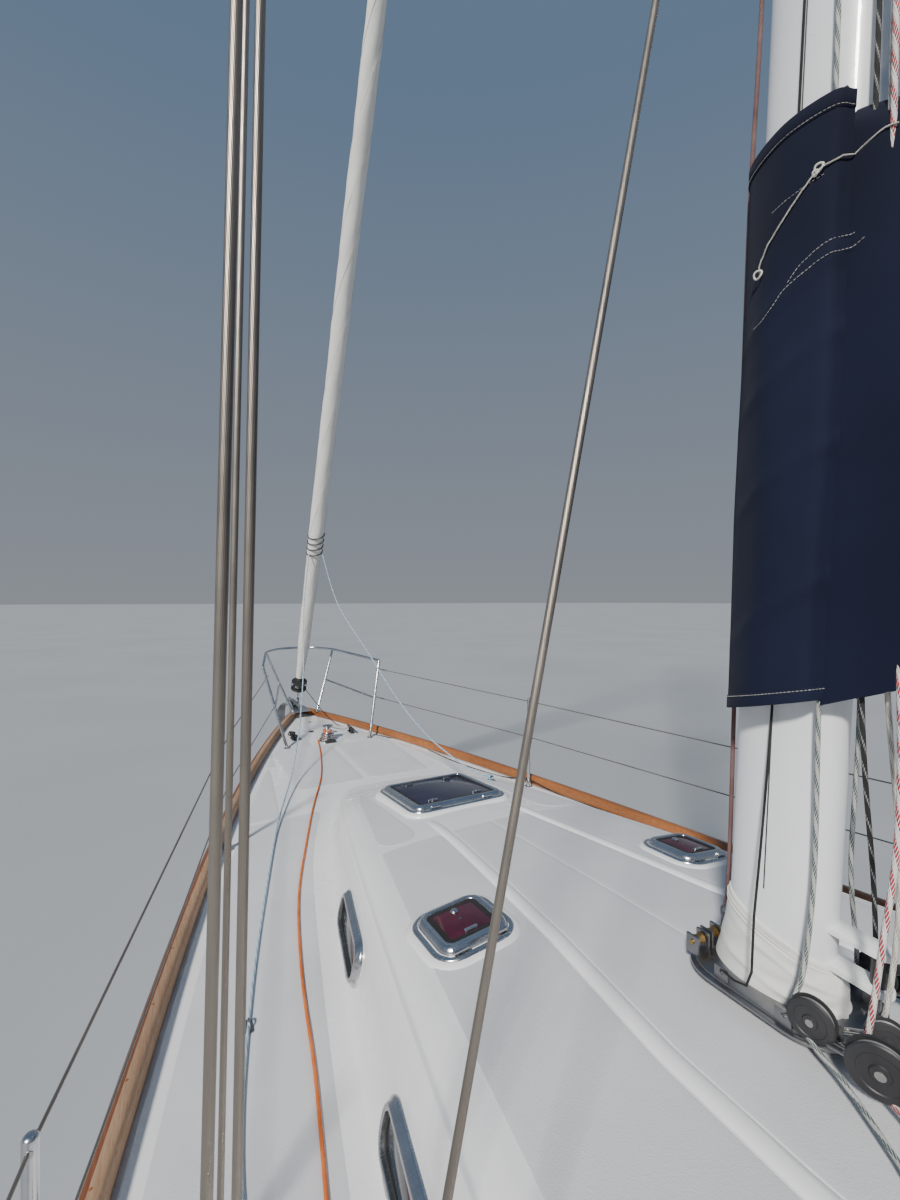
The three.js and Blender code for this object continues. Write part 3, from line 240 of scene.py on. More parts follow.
class Form:
    def __init__(self):
        self.verts, self.faces, self.uvs, self.marks = [], [], [], []
        self.mark = 0

    def add(self, verts, faces, uvs=None):
        start = len(self.verts)
        self.verts += [Vector(v) for v in verts]
        for i, face in enumerate(faces):
            self.faces.append([start + j for j in face])
            self.uvs.append(uvs[i] if uvs else [(0, 0)] * len(face))
            self.marks.append(self.mark)
        return self

    def loft(self, rings):
        """Rings joined in a row, with a face at each end; u runs along and v round."""
        count = len(rings[0])
        verts = [p for ring in rings for p in ring]
        faces, uvs = [], []
        along = [0.0]
        for a, b in zip(rings, rings[1:]):
            along.append(along[-1] + (Vector(b[0]) - Vector(a[0])).length)
        for i in range(len(rings) - 1):
            for j in range(count):
                k = (j + 1) % count
                faces.append([i * count + j, i * count + k, (i + 1) * count + k, (i + 1) * count + j])
                u0, u1 = along[i], along[i + 1]
                uvs.append([(u0, j / count), (u0, (j + 1) / count), (u1, (j + 1) / count), (u1, j / count)])
        last = (len(rings) - 1) * count
        faces += [list(range(count))[::-1], list(range(last, last + count))]
        uvs += [[(0, 0)] * count, [(along[-1], 0)] * count]
        return self.add(verts, faces, uvs)

    def band(self, rings):
        """Rings joined in a closed chain, the last to the first."""
        count = len(rings[0])
        verts = [p for ring in rings for p in ring]
        faces = []
        for i in range(len(rings)):
            n = (i + 1) % len(rings)
            for j in range(count):
                k = (j + 1) % count
                faces.append([i * count + j, i * count + k, n * count + k, n * count + j])
        return self.add(verts, faces)

    def tube(self, points, radius, sides=10, closed=False, round_ends=False):
        """A round bar along points; radius may be a number or one for each point."""
        points = [Vector(p) for p in points]
        radii = radius if isinstance(radius, (list, tuple)) else [radius] * len(points)
        rings, across = [], None
        for i, p in enumerate(points):
            before = points[i - 1] if i or closed else p
            after = points[(i + 1) % len(points)] if i + 1 < len(points) or closed else p
            into, out = (p - before), (after - p)
            if into.length < 1e-9:
                into = out.copy()
            if out.length < 1e-9:
                out = into.copy()
            into.normalize()
            out.normalize()
            tangent = (into + out).normalized()
            if across is None:
                across = Vector((0.31, 0.17, 0.93)) if abs(tangent.z) < 0.9 else Vector((0.93, 0.17, 0.31))
            across = (across - tangent * across.dot(tangent)).normalized()
            side = tangent.cross(across)
            rings.append([p + (across * cos(a) + side * sin(a)) * radii[i] for a in angles(sides)])
        if round_ends and not closed:
            for end, towards in ((0, 1), (-1, -2)):
                tip = points[end] + (points[end] - points[towards]).normalized() * radii[end] * 0.6
                small = [tip + (q - points[end]) * 0.45 for q in rings[end]]
                middle = [mix(points[end], tip, 0.6) + (q - points[end]) * 0.82 for q in rings[end]]
                rings = [small, middle] + rings if end == 0 else rings + [middle, small]
        return self.band(rings) if closed else self.loft(rings)

    def lathe(self, profile, place=(0, 0, 0), axis=(0, 0, 1), steps=24):
        """A turned shape from (radius, height) pairs that start and end on the axis."""
        turn = Vector((0, 0, 1)).rotation_difference(Vector(axis).normalized()).to_matrix()
        verts, faces, rows = [], [], []
        for r, h in profile:
            if r < 1e-7:
                rows.append([len(verts)])
                verts.append(Vector((0, 0, h)))
            else:
                rows.append(list(range(len(verts), len(verts) + steps)))
                verts += [Vector((r * cos(a), r * sin(a), h)) for a in angles(steps)]
        for a, b in zip(rows, rows[1:]):
            for j in range(steps):
                k = (j + 1) % steps
                if len(a) == 1 and len(b) > 1:
                    faces.append([a[0], b[k], b[j]])
                elif len(b) == 1 and len(a) > 1:
                    faces.append([a[j], a[k], b[0]])
                elif len(a) > 1:
                    faces.append([a[j], a[k], b[k], b[j]])
        return self.add([turn @ v + Vector(place) for v in verts], faces)

    def line(self, points, spacing, radius, sides=12):
        """A length of rope through points, with round ends."""
        return self.tube(smooth_path(points, spacing), radius, sides, round_ends=True)

    def spindle(self, start, way, shape, sides):
        """A round bar from start along a way, its shape given as (distance, radius) pairs."""
        return self.tube([start + way * t for t, _ in shape], [r for _, r in shape], sides)

    def pin(self, x, y, z, reach, radius, sides):
        """A round bar that lies athwart, reaching so far to each side of x."""
        return self.tube([(x - reach, y, z), (x + reach, y, z)], radius, sides)

    def cheek(self, x, half, outline, base=0.0):
        """A flat plate that stands fore and aft, over an outline in y and z."""
        return self.loft([[(x + dx, y, base + z) for y, z in outline] for dx in (-half, half)])

    def stud(self, spot, profile, steps):
        """A turned shape that stands upright on a place given as a matrix."""
        return self.lathe(profile, spot.translation, spot.to_3x3() @ Vector((0, 0, 1)), steps)

    def block(self, low, high, bevel=0.0, turn=None, place=(0, 0, 0), segments=2):
        """A box between two corners, its edges rounded, then turned and placed."""
        low, high = Vector(low), Vector(high)
        bm = bmesh.new()
        bmesh.ops.create_cube(bm, size=1)
        for v in bm.verts:
            v.co = Vector([mix(low[i], high[i], v.co[i] + 0.5) for i in range(3)])
        if bevel:
            bmesh.ops.bevel(bm, geom=list(bm.edges), offset=bevel, segments=segments, profile=0.7,
                            affect="EDGES")
        matrix = Matrix.Translation(place) @ (turn.to_4x4() if turn else Matrix.Identity(4))
        bm.verts.index_update()
        self.add([matrix @ v.co for v in bm.verts], [[v.index for v in f.verts] for f in bm.faces])
        bm.free()
        return self

    def plate(self, outline, low, high, bevel=0.0, matrix=None):
        """A flat plate over an outline in x and y, its upper edge rounded."""
        levels = [(low, 0.0), (high - bevel, 0.0)]
        steps = 2 if bevel < 0.01 else 5
        for i in range(1, steps + 1 if bevel else 1):
            a = pi / 2 * i / steps
            levels.append((high - bevel * (1 - sin(a)), bevel * (1 - cos(a))))
        matrix = matrix or Matrix.Identity(4)
        return self.loft([[matrix @ Vector((x, y, z)) for x, y in shrunk(outline, inset)]
                          for z, inset in levels])

    def frame_ring(self, width, length, corner, profile, matrix):
        """A closed rim round a rounded rectangle, from (inset, height) pairs round its section."""
        rings = []
        for inset, z in profile:
            around = rounded(width - 2 * inset, length - 2 * inset, max(0.004, corner - inset))
            rings.append([matrix @ Vector((x, y, z)) for x, y in around])
        return self.band(rings)


def rounded(width, length, corner, steps=7):
    """The outline of a rectangle with round corners, anticlockwise."""
    w, l = width / 2 - corner, length / 2 - corner
    points = []
    for cx, cy, start in ((w, -l, -90), (w, l, 0), (-w, l, 90), (-w, -l, 180)):
        for i in range(steps + 1):
            a = radians(start + 90 * i / steps)
            points.append((cx + corner * cos(a), cy + corner * sin(a)))
    return points


def shrunk(outline, inset):
    """An outline moved inwards by so much."""
    if not inset:
        return outline
    count = len(outline)
    result = []
    for i, (x, y) in enumerate(outline):
        px, py = outline[i - 1]
        nx, ny = outline[(i + 1) % count]
        along = Vector((nx - px, ny - py))
        if along.length < 1e-9:
            result.append((x, y))
            continue
        along.normalize()
        result.append((x - along.y * inset, y + along.x * inset))
    return result


def outward(mesh, materials=()):
    """Turns the mesh's faces outwards and gives it its materials."""
    bm = bmesh.new()
    bm.from_mesh(mesh)
    bmesh.ops.recalc_face_normals(bm, faces=bm.faces)
    bm.to_mesh(mesh)
    bm.free()
    for material in materials if isinstance(materials, (list, tuple)) else [materials]:
        mesh.materials.append(material)
    return mesh


def linked(name, data):
    """An object for a mesh or a lamp, in the scene."""
    thing = bpy.data.objects.new(name, data)
    bpy.context.scene.collection.objects.link(thing)
    return thing


def mesh_of(name, form):
    """The form as a mesh, with its run as UVs and its marks as material places."""
    mesh = bpy.data.meshes.new(name)
    mesh.from_pydata(form.verts, [], form.faces)
    layer = mesh.uv_layers.new(name="run")
    layer.data.foreach_set("uv", [c for face in form.uvs for pair in face for c in pair])
    mesh.polygons.foreach_set("material_index", form.marks)
    return mesh


def loose(name, form, materials):
    """A mesh object that is only a tool for cutting, or is still to be cut."""
    return linked(name, outward(mesh_of(name, form), materials))


def made(name, form, materials, body="yacht", replaces=(), angle=35):
    """The form as a finished piece that rides on a body."""
    return finished(name, mesh_of(name, form), materials, body, replaces, angle)


def finished(name, mesh, materials, body="yacht", replaces=(), angle=35):
    """A mesh as a finished piece: its materials and shading, its body and replaced nodes."""
    outward(mesh, materials)
    mesh.shade_smooth()
    mesh.set_sharp_from_angle(angle=radians(angle))
    piece = linked(name, mesh)
    if body:
        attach(piece, body)
    if replaces:
        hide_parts(*([replaces] if isinstance(replaces, str) else replaces))
    return piece


def rope(name, points, spacing, radius, material, sides=12):
    """A rope through points, as a piece of its own."""
    return made(name, Form().line(points, spacing, radius, sides), material, angle=80)


def carved(piece, tools):
    """The piece's mesh with each tool cut out of it. The tools are used up."""
    for tool in tools:
        modifier = piece.modifiers.new("cut", "BOOLEAN")
        modifier.operation = "DIFFERENCE"
        modifier.solver = "EXACT"
        modifier.object = tool
        modifier.material_mode = "TRANSFER"
    bpy.context.view_layer.update()
    graph = bpy.context.evaluated_depsgraph_get()
    mesh = bpy.data.meshes.new_from_object(piece.evaluated_get(graph))
    mesh.name = piece.name
    for tool in tools:
        bpy.data.objects.remove(tool)
    bpy.data.objects.remove(piece)
    return mesh


def box_tool(low, high, material, corner=0.0):
    width, length = high[0] - low[0], high[1] - low[1]
    outline = rounded(width, length, corner) if corner else rounded(width, length, 0.001, 1)
    place = moved((low[0] + high[0]) / 2, (low[1] + high[1]) / 2, 0)
    return loose("tool", Form().plate(outline, low[2], high[2], 0, place), material)


def smooth_path(points, spacing):
    """Points on a centripetal Catmull-Rom curve through the given ones."""
    pts = [Vector(p) for p in points]
    pts = [pts[0] * 2 - pts[1]] + pts + [pts[-1] * 2 - pts[-2]]
    path = []
    for i in range(1, len(pts) - 2):
        p0, p1, p2, p3 = pts[i - 1:i + 3]
        t0 = 0.0
        t1 = t0 + max(1e-6, (p1 - p0).length) ** 0.5
        t2 = t1 + max(1e-6, (p2 - p1).length) ** 0.5
        t3 = t2 + max(1e-6, (p3 - p2).length) ** 0.5
        count = max(2, round((p2 - p1).length / spacing))
        for k in range(count):
            t = mix(t1, t2, k / count)
            a1 = p0.lerp(p1, (t - t0) / (t1 - t0))
            a2 = p1.lerp(p2, (t - t1) / (t2 - t1))
            a3 = p2.lerp(p3, (t - t2) / (t3 - t2))
            b1 = a1.lerp(a2, (t - t0) / (t2 - t0))
            b2 = a2.lerp(a3, (t - t1) / (t3 - t1))
            path.append(b1.lerp(b2, (t - t1) / (t2 - t1)))
    path.append(pts[-2])
    return path


def stretches(points, counts):
    """A smooth curve from the second point to the last but one, each stretch cut into so many steps."""
    path = []
    for i, count in enumerate(counts):
        p0, p1, p2, p3 = points[i:i + 4]
        for t in (k / count for k in range(count)):
            path.append(0.5 * (2 * p1 + (p2 - p0) * t + (2 * p0 - 5 * p1 + 4 * p2 - p3) * t ** 2
                               + (3 * p1 - p0 - 3 * p2 + p3) * t ** 3))
    return path


def bent(points, radius, steps=6):
    """A path whose corners are rounded to a radius."""
    pts = [Vector(p) for p in points]
    path = [pts[0]]
    for before, corner, after in zip(pts, pts[1:], pts[2:]):
        a, b = (before - corner), (after - corner)
        reach = min(radius, a.length * 0.45, b.length * 0.45)
        start, end = corner + a.normalized() * reach, corner + b.normalized() * reach
        for i in range(steps + 1):
            t = i / steps
            path.append(start.lerp(corner, t).lerp(corner.lerp(end, t), t))
    path.append(pts[-1])
    return path


def both_sides(draw, name):
    """Draws a piece to port and to starboard: draw is given its name, the side's sign and the side's name."""
    for side, sign in (("port", -1), ("starboard", 1)):
        draw(f"{name}_{side}", sign, side)


# Finishes

class Finish:
    """A material under construction: its nodes, and short ways to add them."""

    def __init__(self, name, color, roughness, metallic=0.0):
        self.material = bpy.data.materials.new(name)
        self.material.use_nodes = True
        self.material.diffuse_color = (*color, 1)
        self.tree = self.material.node_tree
        self.shader = self.tree.nodes["Principled BSDF"]
        self.shader.inputs["Base Color"].default_value = (*color, 1)
        self.shader.inputs["Roughness"].default_value = roughness
        self.shader.inputs["Metallic"].default_value = metallic
        self.bumps = None

    def node(self, kind, **values):
        node = self.tree.nodes.new(kind)
        for key, value in values.items():
            if hasattr(node, key):
                setattr(node, key, value)
            else:
                node.inputs[key.replace("_", " ")].default_value = value
        return node

    def link(self, a, b):
        self.tree.links.new(a, b)
        return self

    def place(self, scale=(1, 1, 1), run=False):
        """Coordinates on the object, or along its own UV map."""
        source = self.node("ShaderNodeTexCoord")
        mapping = self.node("ShaderNodeMapping")
        mapping.inputs["Scale"].default_value = scale
        self.link(source.outputs["UV" if run else "Object"], mapping.inputs["Vector"])
        return mapping.outputs["Vector"]

    def noise(self, scale, detail=4.0, rough=0.55, stretch=(1, 1, 1), distort=0.0):
        node = self.node("ShaderNodeTexNoise", Scale=scale, Detail=detail, Roughness=rough,
                         Distortion=distort)
        self.link(self.place(stretch), node.inputs["Vector"])
        return node.outputs["Fac"]

    def ramp(self, value, stops):
        node = self.node("ShaderNodeValToRGB")
        ramp = node.color_ramp
        while len(ramp.elements) < len(stops):
            ramp.elements.new(0.5)
        for element, (at, color) in zip(ramp.elements, stops):
            element.position = at
            element.color = (*color, 1) if len(color) == 3 else color
        self.link(value, node.inputs["Fac"])
        return node.outputs["Color"]

    def blend(self, share, a, b, kind="MIX"):
        node = self.node("ShaderNodeMix", data_type="RGBA", blend_type=kind)
        if isinstance(share, float):
            node.inputs["Factor"].default_value = share
        else:
            self.link(share, node.inputs["Factor"])
        for socket, value in ((node.inputs[6], a), (node.inputs[7], b)):
            if isinstance(value, tuple):
                socket.default_value = (*value, 1)
            else:
                self.link(value, socket)
        return node.outputs[2]

    def sums(self, operation, a, b=None):
        node = self.node("ShaderNodeMath", operation=operation)
        for socket, value in zip(node.inputs, (a, b)):
            if value is None:
                continue
            if isinstance(value, (int, float)):
                socket.default_value = value
            else:
                self.link(value, socket)
        return node.outputs[0]

    def axis(self, which, run=False):
        node = self.node("ShaderNodeSeparateXYZ")
        self.link(self.place(run=run), node.inputs[0])
        return node.outputs[which]

    def step(self, value, low, high, out_low=0.0, out_high=1.0):
        node = self.node("ShaderNodeMapRange", From_Min=low, From_Max=high, To_Min=out_low, To_Max=out_high)
        self.link(value, node.inputs["Value"])
        return node.outputs["Result"]

    def color(self, output):
        return self.link(output, self.shader.inputs["Base Color"])

    def mottled(self, scale, colors, **kwargs):
        """Colour that wanders between two or more tones."""
        stops = [(0.3 + 0.4 * i / max(1, len(colors) - 1), c) for i, c in enumerate(colors)]
        return self.color(self.ramp(self.noise(scale, **kwargs), stops))

    def worn(self, scale, low, high, **kwargs):
        """Roughness that wanders between two values."""
        value = self.noise(scale, **kwargs)
        return self.link(self.step(value, 0.3, 0.7, low, high), self.shader.inputs["Roughness"])

    def bump(self, height, strength=0.3, distance=0.001):
        node = self.node("ShaderNodeBump", Strength=strength, Distance=distance)
        self.link(height, node.inputs["Height"])
        if self.bumps:
            self.link(self.bumps, node.inputs["Normal"])
        self.bumps = node.outputs["Normal"]
        return self.link(self.bumps, self.shader.inputs["Normal"])

    def set(self, **values):
        for key, value in values.items():
            self.shader.inputs[key.replace("_", " ")].default_value = value
        return self


def gelcoat_finish(name, tones, roughness=0.22):
    f = Finish(name, tones[0], roughness)
    f.mottled(1.7, tones, detail=6.0)
    f.worn(9.0, roughness - 0.05, roughness + 0.12, detail=5.0)
    f.bump(f.noise(1.4, 2.0), 0.08, 0.01)
    f.set(Coat_Weight=0.35, Coat_Roughness=0.08)
    return f.material


def non_skid_finish():
    f = Finish("non_skid", (0.72, 0.72, 0.73), 0.75)
    f.mottled(2.3, [(0.60, 0.605, 0.625), (0.67, 0.675, 0.69)], detail=7.0)
    cells = f.node("ShaderNodeTexVoronoi", Scale=260)
    f.link(f.place(), cells.inputs["Vector"])
    f.bump(cells.outputs["Distance"], 0.35, 0.0012)
    f.worn(6.0, 0.62, 0.85)
    return f.material


def hull_finish():
    f = Finish("hull_paint", (0.86, 0.86, 0.85), 0.2)
    z = f.axis("Z")
    white = f.ramp(f.noise(0.9, 6.0), [(0.35, (0.80, 0.80, 0.79)), (0.65, (0.87, 0.87, 0.86))])
    weed = f.ramp(f.noise(5.0, 8.0), [(0.35, (0.012, 0.02, 0.045)), (0.7, (0.025, 0.04, 0.08))])
    navy = f.ramp(f.noise(3.0), [(0.3, (0.006, 0.012, 0.05)), (0.7, (0.012, 0.02, 0.075))])
    under = f.blend(f.step(z, 0.034, 0.036), weed, white)
    stripe = f.sums("MULTIPLY", f.step(z, 0.054, 0.056), f.step(z, 0.126, 0.124))
    f.color(f.blend(stripe, under, navy))
    rough = f.step(z, 0.034, 0.036, 0.7, 0.16)
    f.link(rough, f.shader.inputs["Roughness"])
    f.bump(f.noise(1.1, 1.0), 0.06, 0.01)
    f.set(Coat_Weight=0.4, Coat_Roughness=0.05)
    return f.material


def teak_finish(name, dark, light, roughness, coat):
    f = Finish(name, light, roughness)
    grain = f.noise(7.0, 8.0, 0.65, stretch=(14, 0.6, 14), distort=1.2)
    fine = f.noise(60.0, 4.0, 0.6, stretch=(9, 0.35, 9))
    middle = tuple(mix(a, b, 0.6) for a, b in zip(dark, light))
    tone = f.ramp(f.blend(0.4, grain, fine), [(0.3, dark), (0.5, middle), (0.68, light)])
    patches = f.ramp(f.noise(1.3, 3.0), [(0.35, (0.72, 0.72, 0.72)), (0.65, (1, 1, 1))])
    f.color(f.blend(1.0, tone, patches, "MULTIPLY"))
    f.bump(fine, 0.15, 0.0006)
    f.worn(14.0, roughness, roughness + 0.2)
    f.set(Coat_Weight=coat, Coat_Roughness=0.12)
    return f.material


def slatted_teak_finish():
    """Teak laid in strips with black caulking between them."""
    f = Finish("laid_teak", (0.42, 0.29, 0.18), 0.6)
    grain = f.noise(7.0, 8.0, 0.65, stretch=(14, 0.6, 14), distort=1.0)
    tone = f.ramp(grain, [(0.3, (0.27, 0.17, 0.10)), (0.7, (0.47, 0.34, 0.22))])
    across = f.sums("FRACT", f.sums("DIVIDE", f.axis("X"), 0.052))
    seam = f.sums("LESS_THAN", across, 0.09)
    f.color(f.blend(seam, tone, (0.012, 0.012, 0.012)))
    f.bump(f.sums("SUBTRACT", 1.0, seam), 0.4, 0.0012)
    return f.material


def steel_finish(name="polished_steel", tone=(0.66, 0.67, 0.69), rough=0.14, scratch=0.25):
    f = Finish(name, tone, rough, 1.0)
    f.mottled(11.0, [tuple(c * 0.82 for c in tone), tone], detail=8.0)
    f.worn(30.0, rough, rough + 0.16, detail=8.0, stretch=(1, 6, 1))
    f.bump(f.noise(240.0, 2.0, stretch=(1, 12, 1)), scratch, 0.0002)
    return f.material


def wire_finish():
    """Stranded wire: brown-grey, its strands laid so finely that it looks almost smooth."""
    f = Finish("stranded_wire", (0.33, 0.29, 0.25), 0.38, 0.85)
    f.mottled(3.0, [(0.21, 0.18, 0.155), (0.37, 0.33, 0.285)], detail=8.0, stretch=(1, 1, 0.3))
    along, around = f.axis("X", True), f.axis("Y", True)
    phase = f.sums("ADD", f.sums("MULTIPLY", around, 19.0), f.sums("MULTIPLY", along, 38.0))
    lobes = f.sums("ABSOLUTE", f.sums("SINE", f.sums("MULTIPLY", phase, pi)))
    f.bump(lobes, 0.22, 0.0006)
    f.worn(18.0, 0.32, 0.5)
    return f.material


def cloth_finish(name, tones, weave=900.0, roughness=0.9, bump=0.35, folds=0.0, sheen=0.2, fade=2.0):
    f = Finish(name, tones[0], roughness)
    f.mottled(fade, tones, detail=6.0)
    warp = f.node("ShaderNodeTexWave", wave_type="BANDS", bands_direction="DIAGONAL", Scale=weave)
    f.link(f.place(), warp.inputs["Vector"])
    f.bump(warp.outputs["Fac"], bump, 0.0006)
    f.bump(f.noise(340.0, 3.0), bump, 0.0005)
    if folds:
        f.bump(f.noise(5.0, 4.0, stretch=(1.0, 1.0, 0.5)), folds, 0.02)
    f.set(Sheen_Weight=sheen, Sheen_Roughness=0.5, Specular_IOR_Level=0.25)
    return f.material


def rope_finish(name, tones, fleck=None, share=0.25, strands=8.0, slant=60.0):
    """Braided line: slanting plaits both ways, with a fleck colour where the real one has it."""
    f = Finish(name, tones[0], 0.85)
    along, around = f.axis("X", True), f.axis("Y", True)
    left = f.sums("ADD", f.sums("MULTIPLY", around, strands), f.sums("MULTIPLY", along, slant))
    right = f.sums("SUBTRACT", f.sums("MULTIPLY", around, strands), f.sums("MULTIPLY", along, slant))
    one = f.sums("FRACT", left)
    two = f.sums("FRACT", right)
    plait = f.sums("MULTIPLY", f.sums("SINE", f.sums("MULTIPLY", one, pi)),
                   f.sums("SINE", f.sums("MULTIPLY", two, pi)))
    tone = f.ramp(f.noise(16.0, 4.0), [(0.3, tones[0]), (0.7, tones[-1])])
    if fleck:
        steps = f.sums("FRACT", f.sums("DIVIDE", f.sums("FLOOR", left), 4.0))
        mark = f.sums("MULTIPLY", f.sums("LESS_THAN", steps, share), f.sums("GREATER_THAN", two, 0.35))
        tone = f.blend(mark, tone, fleck)
    f.color(tone)
    f.bump(plait, 0.8, 0.0014)
    return f.material


def plain_finish(name, tones, rough, bump=0.15, grain=120.0, metallic=0.0, coat=0.0, fade=7.0):
    f = Finish(name, tones[0], rough, metallic)
    f.mottled(fade, tones, detail=6.0)
    f.worn(22.0, max(0.03, rough - 0.06), rough + 0.1, detail=6.0)
    f.bump(f.noise(grain, 4.0), bump, 0.0004)
    f.set(Coat_Weight=coat)
    return f.material


def tinted_finish(name, tones):
    """Smoked acrylic, with the dust that lies on it."""
    f = Finish(name, tones[0], 0.08)
    f.mottled(6.0, tones, detail=5.0)
    f.worn(14.0, 0.05, 0.18, detail=8.0)
    f.bump(f.noise(2.0, 1.0), 0.03, 0.01)
    f.set(Coat_Weight=0.25, Coat_Roughness=0.05, IOR=1.4)
    return f.material


gelcoat = gelcoat_finish("gelcoat", [(0.83, 0.83, 0.83), (0.89, 0.89, 0.885)])
liner = gelcoat_finish("liner", [(0.70, 0.70, 0.68), (0.76, 0.76, 0.74)], 0.4)
non_skid = non_skid_finish()
hull_paint = hull_finish()
teak_bright = teak_finish("varnished_teak", (0.20, 0.062, 0.016), (0.46, 0.17, 0.05), 0.3, 0.5)
teak_red = teak_finish("oiled_teak", (0.125, 0.036, 0.014), (0.27, 0.10, 0.045), 0.42, 0.2)
teak_grey = teak_finish("weathered_teak", (0.30, 0.155, 0.078), (0.56, 0.37, 0.23), 0.6, 0.02)
laid_teak = slatted_teak_finish()
steel = steel_finish()
dull_steel = steel_finish("dull_steel", (0.5, 0.49, 0.47), 0.32, 0.4)
dark_steel = steel_finish("shaded_steel", (0.30, 0.30, 0.31), 0.3, 0.3)
wire = wire_finish()
spar_paint = plain_finish("spar_paint", [(0.76, 0.78, 0.80), (0.84, 0.855, 0.87)], 0.32, 0.05, 30.0,
                          coat=0.3, fade=1.4)
alloy = plain_finish("anodised_alloy", [(0.55, 0.56, 0.58), (0.66, 0.67, 0.69)], 0.35, 0.1, 300.0,
                     metallic=1.0)
black = plain_finish("black_moulding", [(0.018, 0.018, 0.02), (0.04, 0.04, 0.043)], 0.45, 0.25, 180.0)
grey_block = plain_finish("grey_sheave", [(0.13, 0.135, 0.14), (0.20, 0.205, 0.21)], 0.4, 0.2, 180.0)
rubber = plain_finish("seal_rubber", [(0.012, 0.012, 0.012), (0.03, 0.03, 0.03)], 0.7, 0.3, 90.0)
navy_cloth = cloth_finish("navy_canvas", [(0.0035, 0.005, 0.018), (0.007, 0.011, 0.034)], folds=0.12,
                          fade=1.6, roughness=0.85, sheen=0.02)
stitch_thread = cloth_finish("stitch_thread", [(0.42, 0.40, 0.36), (0.55, 0.53, 0.48)], 1200.0)
sailcloth = cloth_finish("sailcloth", [(0.72, 0.71, 0.66), (0.80, 0.79, 0.75)], 500.0, 0.7, 0.12, 0.1, 0.05,
                         3.0)
boot_cloth = cloth_finish("mast_boot_cloth", [(0.70, 0.70, 0.67), (0.80, 0.80, 0.78)], 700.0, 0.75, 0.2,
                          0.15, 0.1, 6.0)
orange_rope = rope_finish("orange_line", [(0.62, 0.13, 0.02), (0.80, 0.22, 0.045)], strands=10.0, slant=45.0)
blue_rope = rope_finish("blue_sheet", [(0.17, 0.33, 0.48), (0.33, 0.50, 0.63)], (0.62, 0.68, 0.72), 0.3)
mauve_rope = rope_finish("mauve_halyard", [(0.13, 0.065, 0.06), (0.22, 0.13, 0.12)])
black_rope = rope_finish("black_line", [(0.012, 0.012, 0.012), (0.035, 0.035, 0.035)], (0.30, 0.30, 0.30),
                         0.2)
thin_black = rope_finish("thin_black_line", [(0.01, 0.01, 0.01), (0.03, 0.03, 0.03)])
grey_rope = rope_finish("grey_flecked_halyard", [(0.42, 0.43, 0.40), (0.55, 0.55, 0.52)],
                        (0.06, 0.10, 0.10), 0.45)
red_rope = rope_finish("red_flecked_halyard", [(0.62, 0.60, 0.56), (0.75, 0.73, 0.70)], (0.38, 0.03, 0.04),
                       0.3)
sail_rope = rope_finish("pale_halyard", [(0.60, 0.58, 0.52), (0.70, 0.68, 0.63)], (0.40, 0.37, 0.30), 0.3)
tan_cord = rope_finish("tan_cord", [(0.33, 0.29, 0.21), (0.46, 0.41, 0.31)])
antifouling = plain_finish("antifouling", [(0.014, 0.022, 0.048), (0.03, 0.045, 0.085)], 0.7, 0.6, 60.0,
                           fade=4.0)
bronze = steel_finish("cast_bronze", (0.50, 0.33, 0.13), 0.28, 0.4)
violet_glass = tinted_finish("violet_acrylic", [(0.014, 0.013, 0.030), (0.034, 0.028, 0.060)])
maroon_glass = tinted_finish("maroon_acrylic", [(0.034, 0.006, 0.014), (0.095, 0.018, 0.036)])
port_glass = tinted_finish("port_glass", [(0.012, 0.014, 0.016), (0.035, 0.038, 0.044)])
leather = plain_finish("stitched_leather", [(0.10, 0.085, 0.07), (0.17, 0.145, 0.12)], 0.6, 0.5, 300.0)
# Grey for the toe rails' fillets: painted shadow, the shade the rails cast on the deck beside them.
painted_shadow_grey = plain_finish("painted_shadow_grey", [(0.36, 0.36, 0.37), (0.50, 0.50, 0.51)], 0.55, 0.2, 60.0)
seam_black = plain_finish("seam_sealant", [(0.02, 0.02, 0.02), (0.045, 0.045, 0.045)], 0.6, 0.2, 80.0)


# Trees of geometry nodes lay out what repeats along a path: stitches, plugs and screws.

class Tree:
    """A node group under construction, with its inputs named after what they set."""

    def __init__(self, name, inputs):
        self.group = bpy.data.node_groups.new(name, "GeometryNodeTree")
        sockets = self.group.interface
        sockets.new_socket("Geometry", in_out="INPUT", socket_type="NodeSocketGeometry")
        sockets.new_socket("Geometry", in_out="OUTPUT", socket_type="NodeSocketGeometry")
        for label, (kind, value) in inputs.items():
            socket = sockets.new_socket(label, in_out="INPUT", socket_type="NodeSocket" + kind)
            if value is not None:
                socket.default_value = value
        self.inputs = self.group.nodes.new("NodeGroupInput").outputs
        self.result = self.group.nodes.new("NodeGroupOutput").inputs["Geometry"]

    def node(self, kind, settings=(), **links):
        """A node with its settings; each link is a value, or another node's socket."""
        node = self.group.nodes.new(kind)
        for key, value in dict(settings).items():
            setattr(node, key, value)
        for key, value in links.items():
            socket = node.inputs[key.replace("_", " ")]
            if isinstance(value, bpy.types.NodeSocket):
                self.group.links.new(value, socket)
            else:
                socket.default_value = value
        return node.outputs

    def along(self, spacing):
        """Points at even spacing along the given edges, and a turn that points Z along them."""
        curve = self.node("GeometryNodeMeshToCurve", Mesh=self.inputs["Geometry"])["Curve"]
        points = self.node("GeometryNodeResampleCurve", {"mode": "LENGTH"}, Curve=curve,
                           Length=spacing)["Curve"]
        tangent = self.node("GeometryNodeInputTangent")["Tangent"]
        turn = self.node("FunctionNodeAlignRotationToVector", {"axis": "Z"}, Vector=tangent)["Rotation"]
        return points, turn

    def finish(self, instances, material):
        real = self.node("GeometryNodeRealizeInstances", Geometry=instances)["Geometry"]
        done = self.node("GeometryNodeSetMaterial", Geometry=real, Material=material)["Geometry"]
        self.group.links.new(done, self.result)
        return self.group


